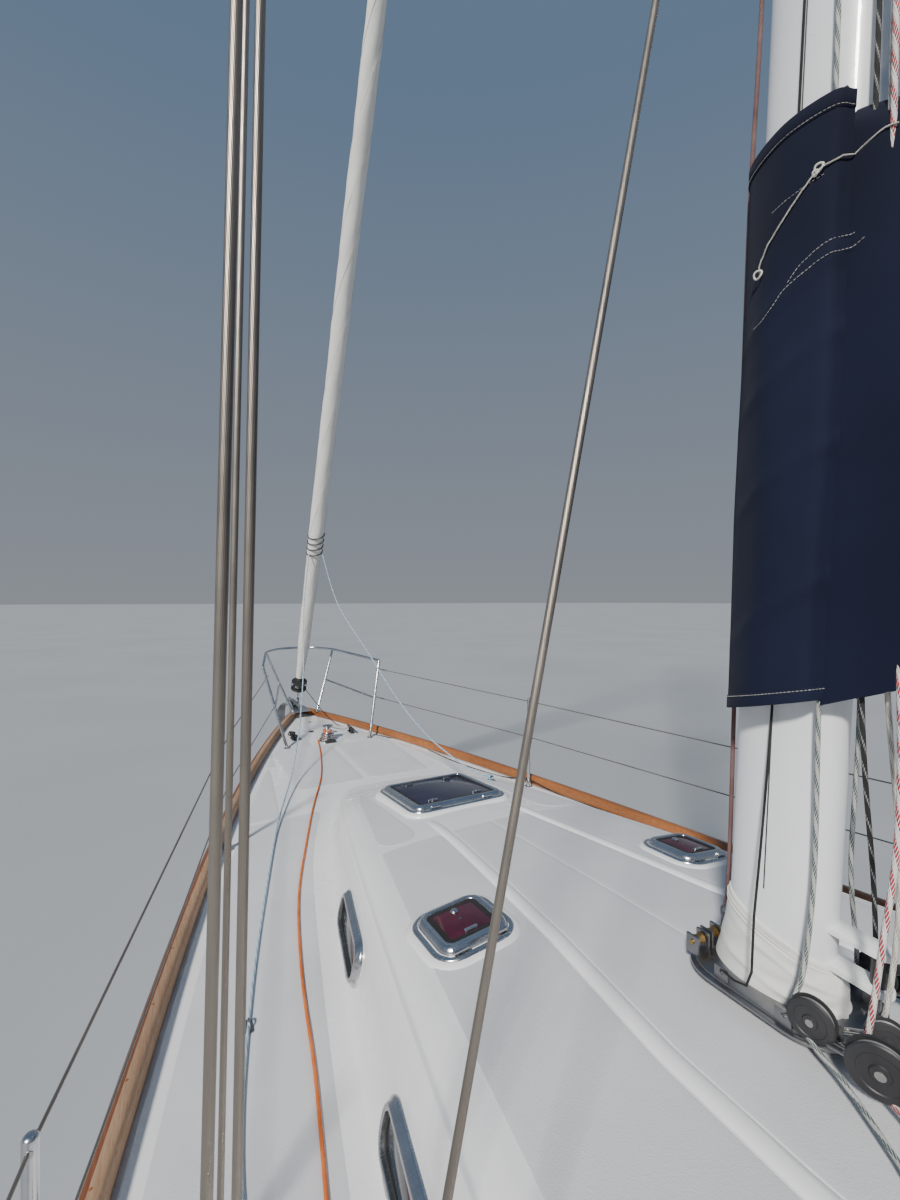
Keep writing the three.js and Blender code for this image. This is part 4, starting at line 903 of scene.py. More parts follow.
def stitch_tree():
    """Short threads laid end to end along edges, each a little longer or shorter than the next."""
    t = Tree("stitch_row", {"Spacing": ("Float", 0.007), "Stitch Length": ("Float", 0.0045),
                            "Thread Radius": ("Float", 0.0006), "Seed": ("Int", 7),
                            "Thread": ("Material", None)})
    points, turn = t.along(t.inputs["Spacing"])
    thread = t.node("GeometryNodeMeshCylinder", Vertices=6, Radius=t.inputs["Thread Radius"],
                    Depth=t.inputs["Stitch Length"])["Mesh"]
    size = t.node("FunctionNodeRandomValue", Seed=t.inputs["Seed"])
    node = size[1].node
    node.inputs[2].default_value, node.inputs[3].default_value = 0.85, 1.1
    row = t.node("GeometryNodeInstanceOnPoints", Points=points, Instance=thread, Rotation=turn, Scale=size[1])
    return t.finish(row["Instances"], t.inputs["Thread"])


def screw_tree():
    """Domed screw heads at even spacing along edges."""
    t = Tree("screw_row", {"Spacing": ("Float", 0.25), "Head Radius": ("Float", 0.005),
                           "Head Height": ("Float", 0.0024), "Metal": ("Material", None)})
    points, _ = t.along(t.inputs["Spacing"])
    head = t.node("GeometryNodeMeshCone", Vertices=14, Radius_Bottom=t.inputs["Head Radius"],
                  Depth=t.inputs["Head Height"])
    cone = head["Mesh"].node
    smaller = t.node("ShaderNodeMath", {"operation": "MULTIPLY"})["Value"]
    t.group.links.new(t.inputs["Head Radius"], smaller.node.inputs[0])
    smaller.node.inputs[1].default_value = 0.6
    t.group.links.new(smaller, cone.inputs["Radius Top"])
    row = t.node("GeometryNodeInstanceOnPoints", Points=points, Instance=head["Mesh"])
    return t.finish(row["Instances"], t.inputs["Metal"])


STITCHES = stitch_tree()
SCREWS = screw_tree()


def grown(name, paths, tree, values, body="yacht"):
    """The piece that a tree makes along paths, as one plain mesh that rides on a body."""
    verts, edges = [], []
    for path in paths:
        start = len(verts)
        verts += [Vector(p) for p in path]
        edges += [(start + i, start + i + 1) for i in range(len(path) - 1)]
    source = bpy.data.meshes.new(name)
    source.from_pydata(verts, edges, [])
    holder = linked(f"{name}_paths", source)
    modifier = holder.modifiers.new("grow", "NODES")
    modifier.node_group = tree
    for item in tree.interface.items_tree:
        if item.item_type == "SOCKET" and item.in_out == "INPUT" and item.name in values:
            modifier[item.identifier] = values[item.name]
    bpy.context.view_layer.update()
    mesh = bpy.data.meshes.new_from_object(holder.evaluated_get(bpy.context.evaluated_depsgraph_get()))
    bpy.data.objects.remove(holder)
    mesh.name = name
    return finished(name, mesh, [], body, angle=60)


# The orange mooring line, which lies along the port side deck from the windlass to a padeye

def draw_orange_line():
    points = [Vector((x, y, deck_z(x, y) + 0.0066)) for x, y in LINE_ROUTE]
    path = smooth_path(points, 0.16)
    line = Form().line(path, 0.02, LINE_RADIUS)
    piece = made("orange_line", line, orange_rope, replaces="jackline", angle=80)
    end = path[-1]
    knot = Form()
    for turn in range(4):
        loop = [Vector((0.012 * cos(a), 0.014 - 0.008 * turn + 0.004 * sin(a), 0.006 + 0.012 * sin(a)))
                for a in angles(18)]
        knot.tube([end + p for p in loop], LINE_RADIUS * 0.9, 10, closed=True)
    knot = made("orange_line_knot", knot, orange_rope, angle=80)


draw_orange_line()


# Hull and deck, one moulding with the cabin, the cockpit and the lockers cut into it

HULL_SIDES = 26
DECK_ACROSS = 20


def hull_ring(y):
    half = sheer_half(y)
    top = sheer_z(y) - DECK_THICK
    foot = min(keel_line(y), top - 0.09)
    full = ease((STEM_Y - y) / 6)
    across = 2 / mix(1.22, 2.35, full)
    down = 2 / mix(1.4, 1.95, full)
    side = [(half * sin(a) ** across, top - (top - foot) * max(0, cos(a)) ** down)
            for a in spaced(0, pi / 2, HULL_SIDES)]
    crown = [half * (1 - 2 * i / DECK_ACROSS) for i in range(DECK_ACROSS + 1)]
    deck = [(x, deck_z(x, y)) for x in crown]
    port = [(-x, z) for x, z in side[:0:-1]]
    return [raked(x, y, z) for x, z in side + deck + port]


def draw_hull():
    rings = [hull_ring(STEM_Y - LENGTH * (i / 64) ** 1.25) for i in range(65)]
    form = Form().loft(rings)
    count = len(rings[0])
    for i in range(len(rings) - 1):
        for j in range(HULL_SIDES + 1, HULL_SIDES + 1 + DECK_ACROSS):
            form.marks[i * count + j] = 1
    body = loose("hull_and_deck", form, [hull_paint, gelcoat, liner])
    under_roof = []
    for y in (3.8, 3.2, 2.5, 1.6, 0.4, -1.0, BULKHEAD_Y + 0.06):
        half = roof_half(y) * (0.6 if y > 3.3 else 1) - 0.07
        under_roof.append([(-half, y, 0.9), (half, y, 0.9), (half, y, 2.0), (-half, y, 2.0)])
    x, y = LOCKER_LID
    lockers = [box_tool((s * x - 0.22, y - 0.5, 0.5), (s * x + 0.22, y + 0.5, 1.0), liner, 0.03)
               for s in (-1, 1)]
    tools = [
        loose("tool", Form().loft(under_roof), liner),
        box_tool((-0.43, BULKHEAD_Y + 0.06, SOLE_Z), (0.43, 2.3, BERTH_Z + 0.01), liner),
        box_tool((-1.0, BULKHEAD_Y + 0.06, BERTH_Z), (1.0, 1.701, 1.05), liner),
        box_tool((-0.56, 1.7, BERTH_Z), (0.56, 3.2, 1.05), liner),
        box_tool((-SEAT_INNER, WELL_AFT_Y, COCKPIT_SOLE_Z), (SEAT_INNER, BULKHEAD_Y, 3), gelcoat),
        box_tool((-SEAT_OUTER, WELL_AFT_Y, SEAT_Z), (SEAT_OUTER, BULKHEAD_Y, 3), gelcoat),
        box_tool((-DOOR_HALF, BULKHEAD_Y - 0.1, SILL_Z), (DOOR_HALF, BULKHEAD_Y + 0.08, 2), gelcoat),
        box_tool((-0.14, 5.96, 0.98), (0.14, 6.4, 2), liner, 0.02),
        *lockers,
    ]
    mesh = carved(body, tools)
    finished("hull_and_deck", mesh, [], replaces=("hull", "cabin_moulding", "cockpit_moulding", "deck"),
             angle=30)


draw_hull()


# Coachroof

def roof_frame(y, wall=0.0):
    nose = clamp(1 - (ROOF_FRONT_Y - y) / 1.25)
    lower = (1 - nose ** 2.2) ** 0.62
    foot = mix(roof_half(y), 0.72 * roof_half(y), nose ** 2.6) - wall
    edge = foot - ROOF_INSET * mix(1, 0.8, nose)
    crown = mix(deck_z(0, y) - 0.02, roof_top(y), lower) - wall
    base = deck_z(0, y) - 0.12 - wall
    return foot, edge, crown, base


def roof_surface(x, y):
    return roof_frame(y)[2] - ROOF_CAMBER * x * x


def roof_side(y, wall=0.0):
    """The starboard half of a section, from the foot up to the crown, as (x, z)."""
    foot, edge, crown, base = roof_frame(y, wall)
    shoulder = crown - ROOF_CAMBER * edge * edge
    flat = edge - 0.055

    def over(x):
        return (x, crown - ROOF_CAMBER * x * x)

    corners = [(foot, base), (mix(edge, foot, 0.35), max(base + 0.02, shoulder - 0.075)),
               (mix(edge, foot, 0.08), max(base + 0.03, shoulder - 0.022)), over(flat), over(flat * 0.9)]
    corners = [Vector((x, 0, z)) for x, z in corners]
    corners = [corners[0] * 2 - corners[1]] + corners
    side = [(q.x, q.z) for q in stretches(corners, [5, 5, 5])]
    return side + [over(flat * (1 - k / 8)) for k in range(9)]


def roof_loft(wall, front, aft):
    near = [ROOF_FRONT_Y - 0.001, 4.24, 4.22, 4.19, 4.15, 4.1, 4.04, 3.97, 3.9, 3.8, 3.7, 3.6, 3.5, 3.38,
            3.25, 3.12]
    rest = [3.0 - 0.25 * i for i in range(22)]
    levels = [y for y in near + rest if aft < y <= front] + [aft]
    rings = []
    for y in levels:
        side = roof_side(y, wall)
        rings.append([(x, y, z) for x, z in side] + [(-x, y, z) for x, z in side[-2::-1]])
    return Form().loft(rings)


HATCHES = {
    "forward": (0, 3.130, 0.544, 0.503),
    "port": (-0.564, 1.893, 0.240, 0.228),
    "starboard": (0.564, 1.893, 0.240, 0.228),
    "saloon": (0, 0.100, 0.500, 0.500),
}
HATCH_SEAT = 0.013
LID_LIFT = HATCH_SEAT + 0.0003


def hatch_matrix(x, y):
    tilt_x = atan(-2 * ROOF_FALL * max(0, y))
    tilt_y = atan(2 * ROOF_CAMBER * x)
    return (moved(x, y, roof_z(x, y)) @ Matrix.Rotation(tilt_x, 4, "X") @ Matrix.Rotation(tilt_y, 4, "Y"))


def draw_coachroof():
    body = loose("coachroof_moulding", roof_loft(0, ROOF_FRONT_Y, BULKHEAD_Y), [gelcoat, liner])
    tools = [loose("tool", roof_loft(ROOF_WALL, 3.7, BULKHEAD_Y + ROOF_WALL), liner)]
    for x, y, width, length in HATCHES.values():
        place = hatch_matrix(x, y)
        hole = Form().plate(rounded(width - 0.06, length - 0.06, 0.035), -0.3, 0.2, 0, place)
        tools.append(loose("tool", hole, liner))
    tools += [
        box_tool((-DOOR_HALF, BULKHEAD_Y - 0.05, 1.5), (DOOR_HALF, -1.66, 2), gelcoat),
        box_tool((-DOOR_HALF, BULKHEAD_Y - 0.1, SILL_Z), (DOOR_HALF, BULKHEAD_Y + 0.08, 2), gelcoat),
    ]
    finished("coachroof_moulding", carved(body, tools), [], replaces="coachroof", angle=40)
    seats = Form()
    section = [(-0.060, -0.03), (-0.057, -0.005), (-0.048, 0.004), (-0.037, 0.008), (-0.029, 0.009),
               (-0.0125, 0.009), (-0.0105, HATCH_SEAT), (0.028, HATCH_SEAT), (0.030, HATCH_SEAT - 0.002),
               (0.030, -0.06), (0.0, -0.06)]
    rings = Form()
    ring = [(-0.031, 0.004), (-0.030, 0.0105), (-0.026, 0.0142), (-0.018, 0.0155), (-0.0135, 0.0145),
            (-0.0128, 0.004)]
    for x, y, width, length in HATCHES.values():
        seats.frame_ring(width, length, 0.055, section, hatch_matrix(x, y))
        rings.frame_ring(width, length, 0.052, ring, hatch_matrix(x, y))
    made("hatch_base_rings", rings, steel, angle=50)
    for sign in (-1, 1):
        seats.block((sign * 0.306 - 0.018, BULKHEAD_Y, ROOF_Z - 0.03),
                    (sign * 0.306 + 0.018, -0.9, ROOF_Z + 0.028), 0.006)
    made("hatch_seats", seats, gelcoat, angle=50)


draw_coachroof()


def panel(form, y0, y1, inner, outer, surface, corner, across=10, sign=1):
    """A thin pad on a curved surface, between two edges that are functions of y, with round corners."""
    thick, step = 0.0015, 0.1
    rows = [y0 + corner * (1 - cos(pi / 2 * i / 5)) for i in range(5)]
    count = max(2, round((y1 - y0 - 2 * corner) / step))
    rows += spaced(y0 + corner, y1 - corner, count)
    rows += [y1 - corner * (1 - cos(pi / 2 * i / 5)) for i in range(4, -1, -1)]
    rings = []
    for y in rows:
        t = clamp(min(y - y0, y1 - y) / corner)
        shift = corner * (1 - sqrt(max(0, 1 - (1 - t) ** 2)))
        x0, x1 = inner(y) + shift, outer(y) - shift
        edge = min(0.004, (x1 - x0) * 0.2)
        ring = [(x0, -0.004), (x0, thick * 0.5), (x0 + edge, thick)]
        ring += [(mix(x0, x1, k / across), thick) for k in range(1, across)]
        ring += [(x1 - edge, thick), (x1, thick * 0.5), (x1, -0.004)]
        rings.append([raked(sign * x, y, surface(sign * x, y) + up) for x, up in ring])
    return form.loft(rings)


STRIPE = [(-0.9, 0.424), (0.9, 0.424), (1.2, 0.412), (1.67, 0.345), (2.49, 0.262), (2.8, 0.245)]


def stripe_x(y):
    """Where the smooth raised stripe runs on the roof: x of its middle."""
    return between(STRIPE, y)[0]


def draw_non_skid():
    roof = Form()

    def roof_edge(y):
        return roof_frame(y)[1] - 0.085

    for sign in (-1, 1):
        panel(roof, 2.62, 3.5, lambda y: 0.37, lambda y: min(roof_edge(y), 0.44 + (3.5 - y) * 1.2),
              roof_surface, 0.1, sign=sign)
        panel(roof, -0.52, 2.585, lambda y: stripe_x(y) + 0.032, roof_edge, roof_surface, 0.02, 14, sign)
        panel(roof, -2.24, -0.9, lambda y: 0.42, roof_edge, roof_surface, 0.05, sign=sign)
        panel(roof, -0.52, 2.585, lambda y: 0.002, lambda y: stripe_x(y) - 0.032, roof_surface, 0.02,
              sign=sign)
    made("roof_non_skid", roof, non_skid)
    stripes = Form()
    section = [(-0.027, -0.002), (-0.023, 0.005), (-0.015, 0.0098), (0, 0.0115), (0.015, 0.0098),
               (0.023, 0.005), (0.027, -0.002)]
    for sign in (-1, 1):
        rings = []
        for k, y in enumerate(spaced(-0.9, 2.80, 72)):
            flat = min(1, k / 3, (72 - k) / 3)
            across = [(stripe_x(y) + dx, up * flat - 0.001) for dx, up in section]
            rings.append([(sign * x, y, roof_surface(x, y) + up) for x, up in across])
        stripes.loft(rings)
    made("roof_stripes", stripes, gelcoat)
    deck = Form()

    def by_cabin(y):
        return roof_frame(min(y, 4.2))[0] + 0.055 if y < 4.0 else 0.76 - (y - 4) * 0.1

    def by_rail(gap):
        return lambda y: sheer_half(y) - gap

    for sign in (-1, 1):
        panel(deck, 4.02, 5.0, by_cabin, by_rail(0.155), deck_z, 0.05, 6, sign)
        panel(deck, -2.24, 3.98, by_cabin, by_rail(0.155), deck_z, 0.05, 6, sign)
        panel(deck, 4.42, 5.42, lambda y: 0.02, lambda y: 0.56, deck_z, 0.06, sign=sign)
        panel(deck, 5.04, 6.3, lambda y: 0.18 if y > 5.46 else 0.60, by_rail(0.14), deck_z, 0.03, 4, sign)
        panel(deck, -5.9, -2.4, lambda y: 1.26, by_rail(0.155), deck_z, 0.05, 5, sign)
        panel(deck, -6.75, -5.98, lambda y: 0.03, by_rail(0.16), deck_z, 0.05, sign=sign)
    made("deck_non_skid", deck, non_skid)


draw_non_skid()


# Toe rails: varnished to starboard; to port a red-brown outer face and a sun-bleached inner one

def draw_toe_rail(name, sign, side):
    section = [(0.0, -0.02), (0.0015, 0.02), (0.001, 0.048), (0.004, 0.060), (0.010, 0.068), (0.018, 0.072),
               (0.030, 0.0735), (0.040, 0.0738), (0.054, 0.072), (0.062, 0.068), (0.068, 0.060),
               (0.071, 0.048), (0.072, 0.02), (0.072, -0.02)]
    distances = [0.09 + (LENGTH - 0.12) * (i / 90) ** 1.15 for i in range(91)]

    def along(profile):
        rings = []
        for d in distances:
            y = STEM_Y - d
            outer = sheer_half(y) - 0.004
            base = sheer_z(y)
            rings.append([raked(sign * max(0.0005, outer - inset), y, base + up) for inset, up in profile])
        return rings

    rail = Form().loft(along(section))
    for i in range(len(distances) - 1):
        for j in range(6, len(section) - 1):
            rail.marks[i * len(section) + j] = 1
    woods = [teak_bright, teak_bright] if sign > 0 else [teak_red, teak_grey]
    made(name, rail, woods, replaces=f"caprail_{side}", angle=50)
    # A small fillet along the rail's inner foot, coloured grey as painted shadow where the rail shades the
    # deck.
    fillet = Form().loft(along([(0.070, -0.01), (0.070, 0.008), (0.074, 0.012), (0.090, 0.010),
                                (0.096, -0.01)]))
    made(f"{name}_shadow_fillet", fillet, painted_shadow_grey, angle=60)
    middle = [ring[0] for ring in along([(0.036, 0.0735)])]
    grown(f"{name}_plugs", [middle], SCREWS, {
        "Spacing": 0.30, "Head Radius": 0.0055, "Head Height": 0.0009,
        "Metal": teak_red if sign > 0 else teak_bright,
    })


both_sides(draw_toe_rail, "toe_rail")


# Hatch lids: a bevelled frame round tinted acrylic, with turning handles and hinge knuckles

def draw_hatch(name, glass, large):
    x, y, width, length = HATCHES[name]
    place = hatch_matrix(x, y) @ moved(0, 0, LID_LIFT)
    rim = 0.030 if large else 0.024
    frame_form = Form()
    frame_form.frame_ring(width, length, 0.05,
                          [(-0.008, 0.0), (-0.008, 0.004), (-0.0045, 0.011), (0.0, 0.0165), (0.005, 0.0203),
                           (rim - 0.006, 0.022), (rim - 0.002, 0.0205), (rim, 0.017), (rim, 0.0)], place)
    pane_top = 0.0175
    pin_y, pin_z = -length / 2 - 0.006, 0.0105
    for s in (-0.3, 0.3):
        ends = [(s * width - 0.026, pin_y, pin_z), (s * width + 0.026, pin_y, pin_z)]
        frame_form.tube([place @ Vector(p) for p in ends], 0.0079, 14)
        wing = [(s * width - 0.02, pin_y, pin_z), (s * width - 0.02, pin_y + 0.03, pin_z + 0.006)]
        for dx in (0, 0.02, 0.04):
            frame_form.tube([place @ (Vector(p) + Vector((dx, 0, 0))) for p in wing], 0.0045, 8)
    made(f"hatch_frame_{name}", frame_form, steel, f"hatch_{name}", f"hatch_lid_{name}", 40)
    pane = Form().plate(rounded(width - 2 * rim + 0.004, length - 2 * rim + 0.004, 0.034), 0.001, pane_top,
                        0.002, place)
    made(f"hatch_glass_{name}", pane, glass, f"hatch_{name}", angle=40)
    band = Form().frame_ring(width - 2 * rim, length - 2 * rim, 0.032, [
        (0.0, 0.0172), (0.0, 0.0182), (0.018, 0.0182), (0.018, 0.0172),
    ], place)
    made(f"hatch_seal_{name}", band, rubber, f"hatch_{name}", angle=60)
    tabs = Form()
    if large:
        for s in (-0.26, 0.26):
            spot = place @ moved(s * width, -length / 2 + 0.072, pane_top)
            tabs.plate(rounded(0.062, 0.017, 0.008), 0, 0.007, 0.002, spot)
            tabs.stud(spot, [(0, 0.006), (0.009, 0.006), (0.009, 0.010), (0.006, 0.012), (0, 0.012)], 16)
        tabs.mark = 1
        for s in (-0.24, 0.24):
            spot = place @ moved(s * width, length / 2 - 0.075, pane_top)
            tabs.plate(rounded(0.05, 0.02, 0.009), 0, 0.006, 0.002, spot)
    else:
        spot = place @ moved(0, -length / 2 + 0.052, pane_top)
        tabs.plate(rounded(0.05, 0.014, 0.006), 0, 0.006, 0.002, spot)
        spot = place @ moved(0, length / 2 - 0.062, pane_top)
        tabs.stud(spot, [(0, 0), (0.014, 0), (0.0145, 0.004), (0.011, 0.008), (0, 0.0095)], 20)
        tabs.mark = 1
        spot = place @ moved(0, 0.01, pane_top)
        tabs.plate(rounded(0.012, 0.012, 0.004), 0, 0.001, 0.0003, spot)
    made(f"hatch_handles_{name}", tabs, [steel, dark_steel], f"hatch_{name}", angle=40)
    feet = Form()
    for s in (-0.3, 0.3):
        low = hatch_matrix(x, y) @ moved(s * width, -length / 2 - 0.012, HATCH_SEAT)
        feet.plate(rounded(0.07, 0.016, 0.005), -0.006, 0.002, 0.0008, low)
    made(f"hatch_hinge_feet_{name}", feet, steel, angle=40)


draw_hatch("forward", violet_glass, True)
draw_hatch("saloon", violet_glass, True)
draw_hatch("port", maroon_glass, False)
draw_hatch("starboard", maroon_glass, False)


# Opening portlights in the coachroof's sides

def side_place(y, z, sign):
    """A frame on the coachroof's side: x forward along it, y up it, z straight out."""
    def at(yy, zz):
        profile = roof_side(yy)
        for (xa, za), (xb, zb) in zip(profile, profile[1:]):
            if za <= zz <= zb:
                return Vector((mix(xa, xb, (zz - za) / max(1e-6, zb - za)), yy, zz))
        return Vector((profile[0][0], yy, zz))

    forward = (at(y + 0.1, z) - at(y - 0.1, z)).normalized()
    up = (at(y, z + 0.04) - at(y, z - 0.04)).normalized()
    out = up.cross(forward)
    if out.x < 0:
        out = -out
    up = (up - forward * up.dot(forward)).normalized()
    m = Matrix((forward, up, out)).transposed().to_4x4()
    m.translation = at(y, z)
    return Matrix.Scale(-1, 4, (1, 0, 0)) @ m if sign < 0 else m


WINDOW_Y = [2.41, 1.45, 0.49, -0.47, -1.43]


def draw_portlights(name, sign, side):
    frames, panes, knobs = Form(), Form(), Form()
    for y in WINDOW_Y:
        place = side_place(y, deck_z(roof_half(y), y) + 0.165, sign)
        frames.frame_ring(0.47, 0.17, 0.072, [
            (0.0, -0.012), (0.0, 0.006), (0.003, 0.010), (0.010, 0.016), (0.015, 0.024), (0.019, 0.026),
            (0.026, 0.026), (0.030, 0.023), (0.031, -0.012),
        ], place)
        panes.plate(rounded(0.414, 0.114, 0.05), -0.01, 0.012, 0.001, place)
        panes.mark = 1
        seal = [(0.0, 0.011), (0.0, 0.0135), (0.012, 0.0135), (0.012, 0.011)]
        panes.frame_ring(0.412, 0.112, 0.048, seal, place)
        panes.mark = 0
        for s in (-0.12, 0.12):
            spot = place @ moved(s, -0.07, 0.012)
            knobs.plate(rounded(0.05, 0.016, 0.006), -0.012, 0.012, 0.003, spot)
        for s in range(8):
            dx = -0.2 + 0.4 * (s % 4) / 3
            dy = 0.077 if s < 4 else -0.077
            spot = place @ moved(dx * 0.86, dy, 0.0075)
            knobs.stud(spot, [(0, 0), (0.005, 0), (0.004, 0.0025), (0, 0.003)], 10)
    made(f"{name}_frames", frames, steel, angle=40)
    made(f"{name}_panes", panes, [port_glass, rubber], angle=40)
    made(f"{name}_hinges", knobs, dull_steel, angle=40)


both_sides(draw_portlights, "portlights")


# Rails: pulpit, pushpit, stanchions and lifelines

WIRE_DROPS = [0.08, 0.365]


def rail_height(y):
    return rail_top(y) + LIFELINE_HEIGHT


def foot_flange(form, spot, radius=0.032, tall=0.02):
    """A round foot plate with its collar and four screws."""
    form.lathe([(0, -0.004), (radius, -0.004), (radius, 0.003), (radius - 0.004, 0.006), (0.018, 0.008),
                (0.017, tall), (0.0155, tall + 0.003), (0, tall + 0.003)], spot, steps=28)
    for i in range(4):
        a = pi / 4 + i * pi / 2
        where = Vector(spot) + Vector((cos(a), sin(a), 0)) * radius * 0.76
        form.lathe([(0, 0.002), (0.0042, 0.004), (0.0036, 0.0078), (0, 0.0085)], where, steps=10)


def draw_pulpit():
    form = Form()
    aft_foot, aft_top, fore_foot, fore_top = (0.415, 5.51), (0.6, 5.73), (0.138, 6.56), (0.4, 6.82)
    for sign in (-1, 1):
        def at(point, z):
            return Vector((sign * point[0], point[1], z))
        foot_z, on_rail = deck_z(*aft_foot), rail_top(fore_foot[1])
        form.tube(bent([at(aft_foot, foot_z), at(aft_top, rail_height(aft_top[1]) - 0.004)], 0.1), 0.0135, 14)
        form.tube([at(fore_foot, on_rail - 0.004), at(fore_top, rail_height(fore_top[1]) - 0.004)], 0.0135,
                  14)
        foot_flange(form, at(aft_foot, foot_z))
        foot_flange(form, at(fore_foot, on_rail + 0.002), 0.027)
        low_a = at(aft_foot, foot_z).lerp(at(aft_top, rail_height(aft_top[1])), 0.5)
        low_b = at(fore_foot, on_rail).lerp(at(fore_top, rail_height(fore_top[1])), 0.5)
        form.tube([low_a, low_b], 0.0108, 12)
        form.tube([at(aft_top, rail_height(aft_top[1]) - 0.02),
                   at(aft_top, rail_height(aft_top[1]) + 0.001)], 0.0138, 14, round_ends=True)
        form.tube(bent([low_a + Vector((0, -0.018, 0)), low_a + Vector((0, -0.036, -0.004))], 0.01), 0.005,
                  8)
    loop = [(0.6, 5.73), (0.4, 6.82), (0.19, 7.08), (-0.19, 7.08), (-0.4, 6.82), (-0.6, 5.73)]
    form.tube(bent([(x, y, rail_height(y)) for x, y in loop], 0.12, 8), 0.0138, 14, round_ends=True)
    made("pulpit_tubes", form, steel, replaces="pulpit", angle=50)


draw_pulpit()

PUSHPIT = [(1.746, -5.3), (1.52, -6.33), (1.27, -6.61), (0.46, -6.61)]


def draw_pushpit():
    form = Form()
    around = PUSHPIT + [(-x, y) for x, y in PUSHPIT[::-1]]
    for drop, radius in ((0, 0.0138), (0.33, 0.0108)):
        form.tube(bent([(x, y, rail_height(y) - drop) for x, y in around], 0.14, 8), radius, 14,
                  round_ends=True)
    for sign in (-1, 1):
        for x, y in PUSHPIT:
            z = deck_z(x, y)
            form.tube([(sign * x, y, z), (sign * x, y, rail_height(y) - 0.003)], 0.0135, 14)
            foot_flange(form, (sign * x, y, z))
    made("pushpit_tubes", form, steel, replaces="pushpit", angle=50)


draw_pushpit()


def draw_guardrail(name, sign, side):
    posts, wires = Form(), Form()
    feet = [(sheer_half(y) - 0.115, y) for y in STANCHION_Y]
    for x, y in feet:
        z, top = deck_z(x, y), rail_height(y) - 0.06
        spot = Vector((sign * x, y, z))
        posts.tube([spot, (sign * x, y, top - 0.004)], 0.0125, 16, round_ends=True)
        foot_flange(posts, spot, 0.034, 0.045)
        for s in (-1, 1):
            posts.tube([spot + Vector((0, s * 0.03, 0.004)), spot + Vector((0, s * 0.012, 0.04))], 0.006, 8)
        for drop in WIRE_DROPS:
            where = Vector((sign * x, y, rail_height(y) - drop))
            posts.tube([where - Vector((0, 0.0136, 0)), where + Vector((0, 0.0136, 0))], 0.0062, 12)
    forward, aft = Vector((0.585, 5.708, 0)), Vector((1.746, -5.2855, 0))
    for drop, lean in zip(WIRE_DROPS, (0.3, 1)):
        route = [(forward.x - lean * 0.074, forward.y - lean * 0.1, rail_height(forward.y) - drop)]
        route += [(x, y, rail_height(y) - drop) for x, y in feet]
        route.append((aft.x, aft.y, rail_height(aft.y) - drop))
        route = [Vector((sign * x, y, z)) for x, y, z in route]
        wires.tube(route, 0.0035, 10)
        for end, towards in ((route[0], route[1]), (route[-1], route[-2])):
            way = (towards - end).normalized()
            shape = [(0.0, 0.004), (0.012, 0.004), (0.014, 0.0075), (0.045, 0.0075), (0.05, 0.0045),
                     (0.08, 0.0045), (0.084, 0.008), (0.15, 0.008), (0.155, 0.0046), (0.2, 0.0042)]
            posts.spindle(end, way, shape, 12)
    made(f"{name}_posts", posts, steel, replaces=f"guardrail_{side}", angle=50)
    made(f"{name}_wires", wires, wire, angle=60)


both_sides(draw_guardrail, "guardrail")


# Shrouds with their rigging screws, chainplates and spreaders

CHAINPLATES = {
    "cap": (1.425, 0.968, 0.0065),
    "topmast": (1.402, 1.035, 0.004),
    "inner": (1.400, 0.905, 0.005),
    "lower": (1.428, 0.790, 0.005),
}
CHAINPLATE_Z = 0.06
CHAINPLATE_MIDDLE = (1.414, 0.915)
TANG_X = 0.093
SPREADERS = {"lower": (6.9, 1.29, 0.06), "upper": (11.15, 1.01, 0.05)}


def shroud_route(name, sign):
    x, y, radius = CHAINPLATES[name]
    foot = Vector((x, y, deck_z(1.4, 0.9) + CHAINPLATE_Z + 0.002))

    def tip(level, dy):
        z, reach, lift = SPREADERS[level]
        return Vector((reach + radius + 0.0003, mast_axis(z) + dy, z + lift + 0.0263))

    def end(z):
        return Vector((TANG_X, mast_axis(z), z - 0.004))

    route = {
        "cap": lambda: [tip("lower", 0), tip("upper", 0), end(HOUNDS_Z)],
        "topmast": lambda: [tip("lower", 0.04), tip("upper", 0.04), end(MASTHEAD_Z - 0.18)],
        "inner": lambda: [tip("lower", -0.04), end(11.15 - 0.19)],
        "lower": lambda: [end(6.9 - 0.19)],
    }[name]()
    return [Vector((sign * p.x, p.y, p.z)) for p in [foot] + route]


def draw_screw(form, foot, way, r):
    """A rigging screw: fork, threaded studs and an open body, up to the wire's swage."""
    shape = [(0.0, r), (0.004, r * 1.5), (0.02, r * 1.5), (0.024, r * 0.95), (0.075, r * 0.95),
             (0.08, r + 0.0065), (0.1, r + 0.0065), (0.104, r + 0.0045), (0.2, r + 0.0045),
             (0.204, r + 0.0065), (0.225, r + 0.0065), (0.23, r * 0.95), (0.262, r * 0.95),
             (0.266, r + 0.004), (0.325, r + 0.003), (0.332, r * 1.02)]
    form.spindle(foot, way, shape, 16)
    for t in spaced(0.033, 0.068, 5):
        form.spindle(foot, way, [(t - 0.0015, r * 0.95), (t, r * 1.12), (t + 0.0015, r * 0.95)], 12)


def draw_terminal(form, end, way, radius):
    """The pressed terminal at a wire's upper end."""
    form.spindle(end, way, [(0.0, radius * 1.3), (0.03, radius * 1.3), (0.035, radius + 0.003),
                            (0.12, radius + 0.003), (0.125, radius)], 12)


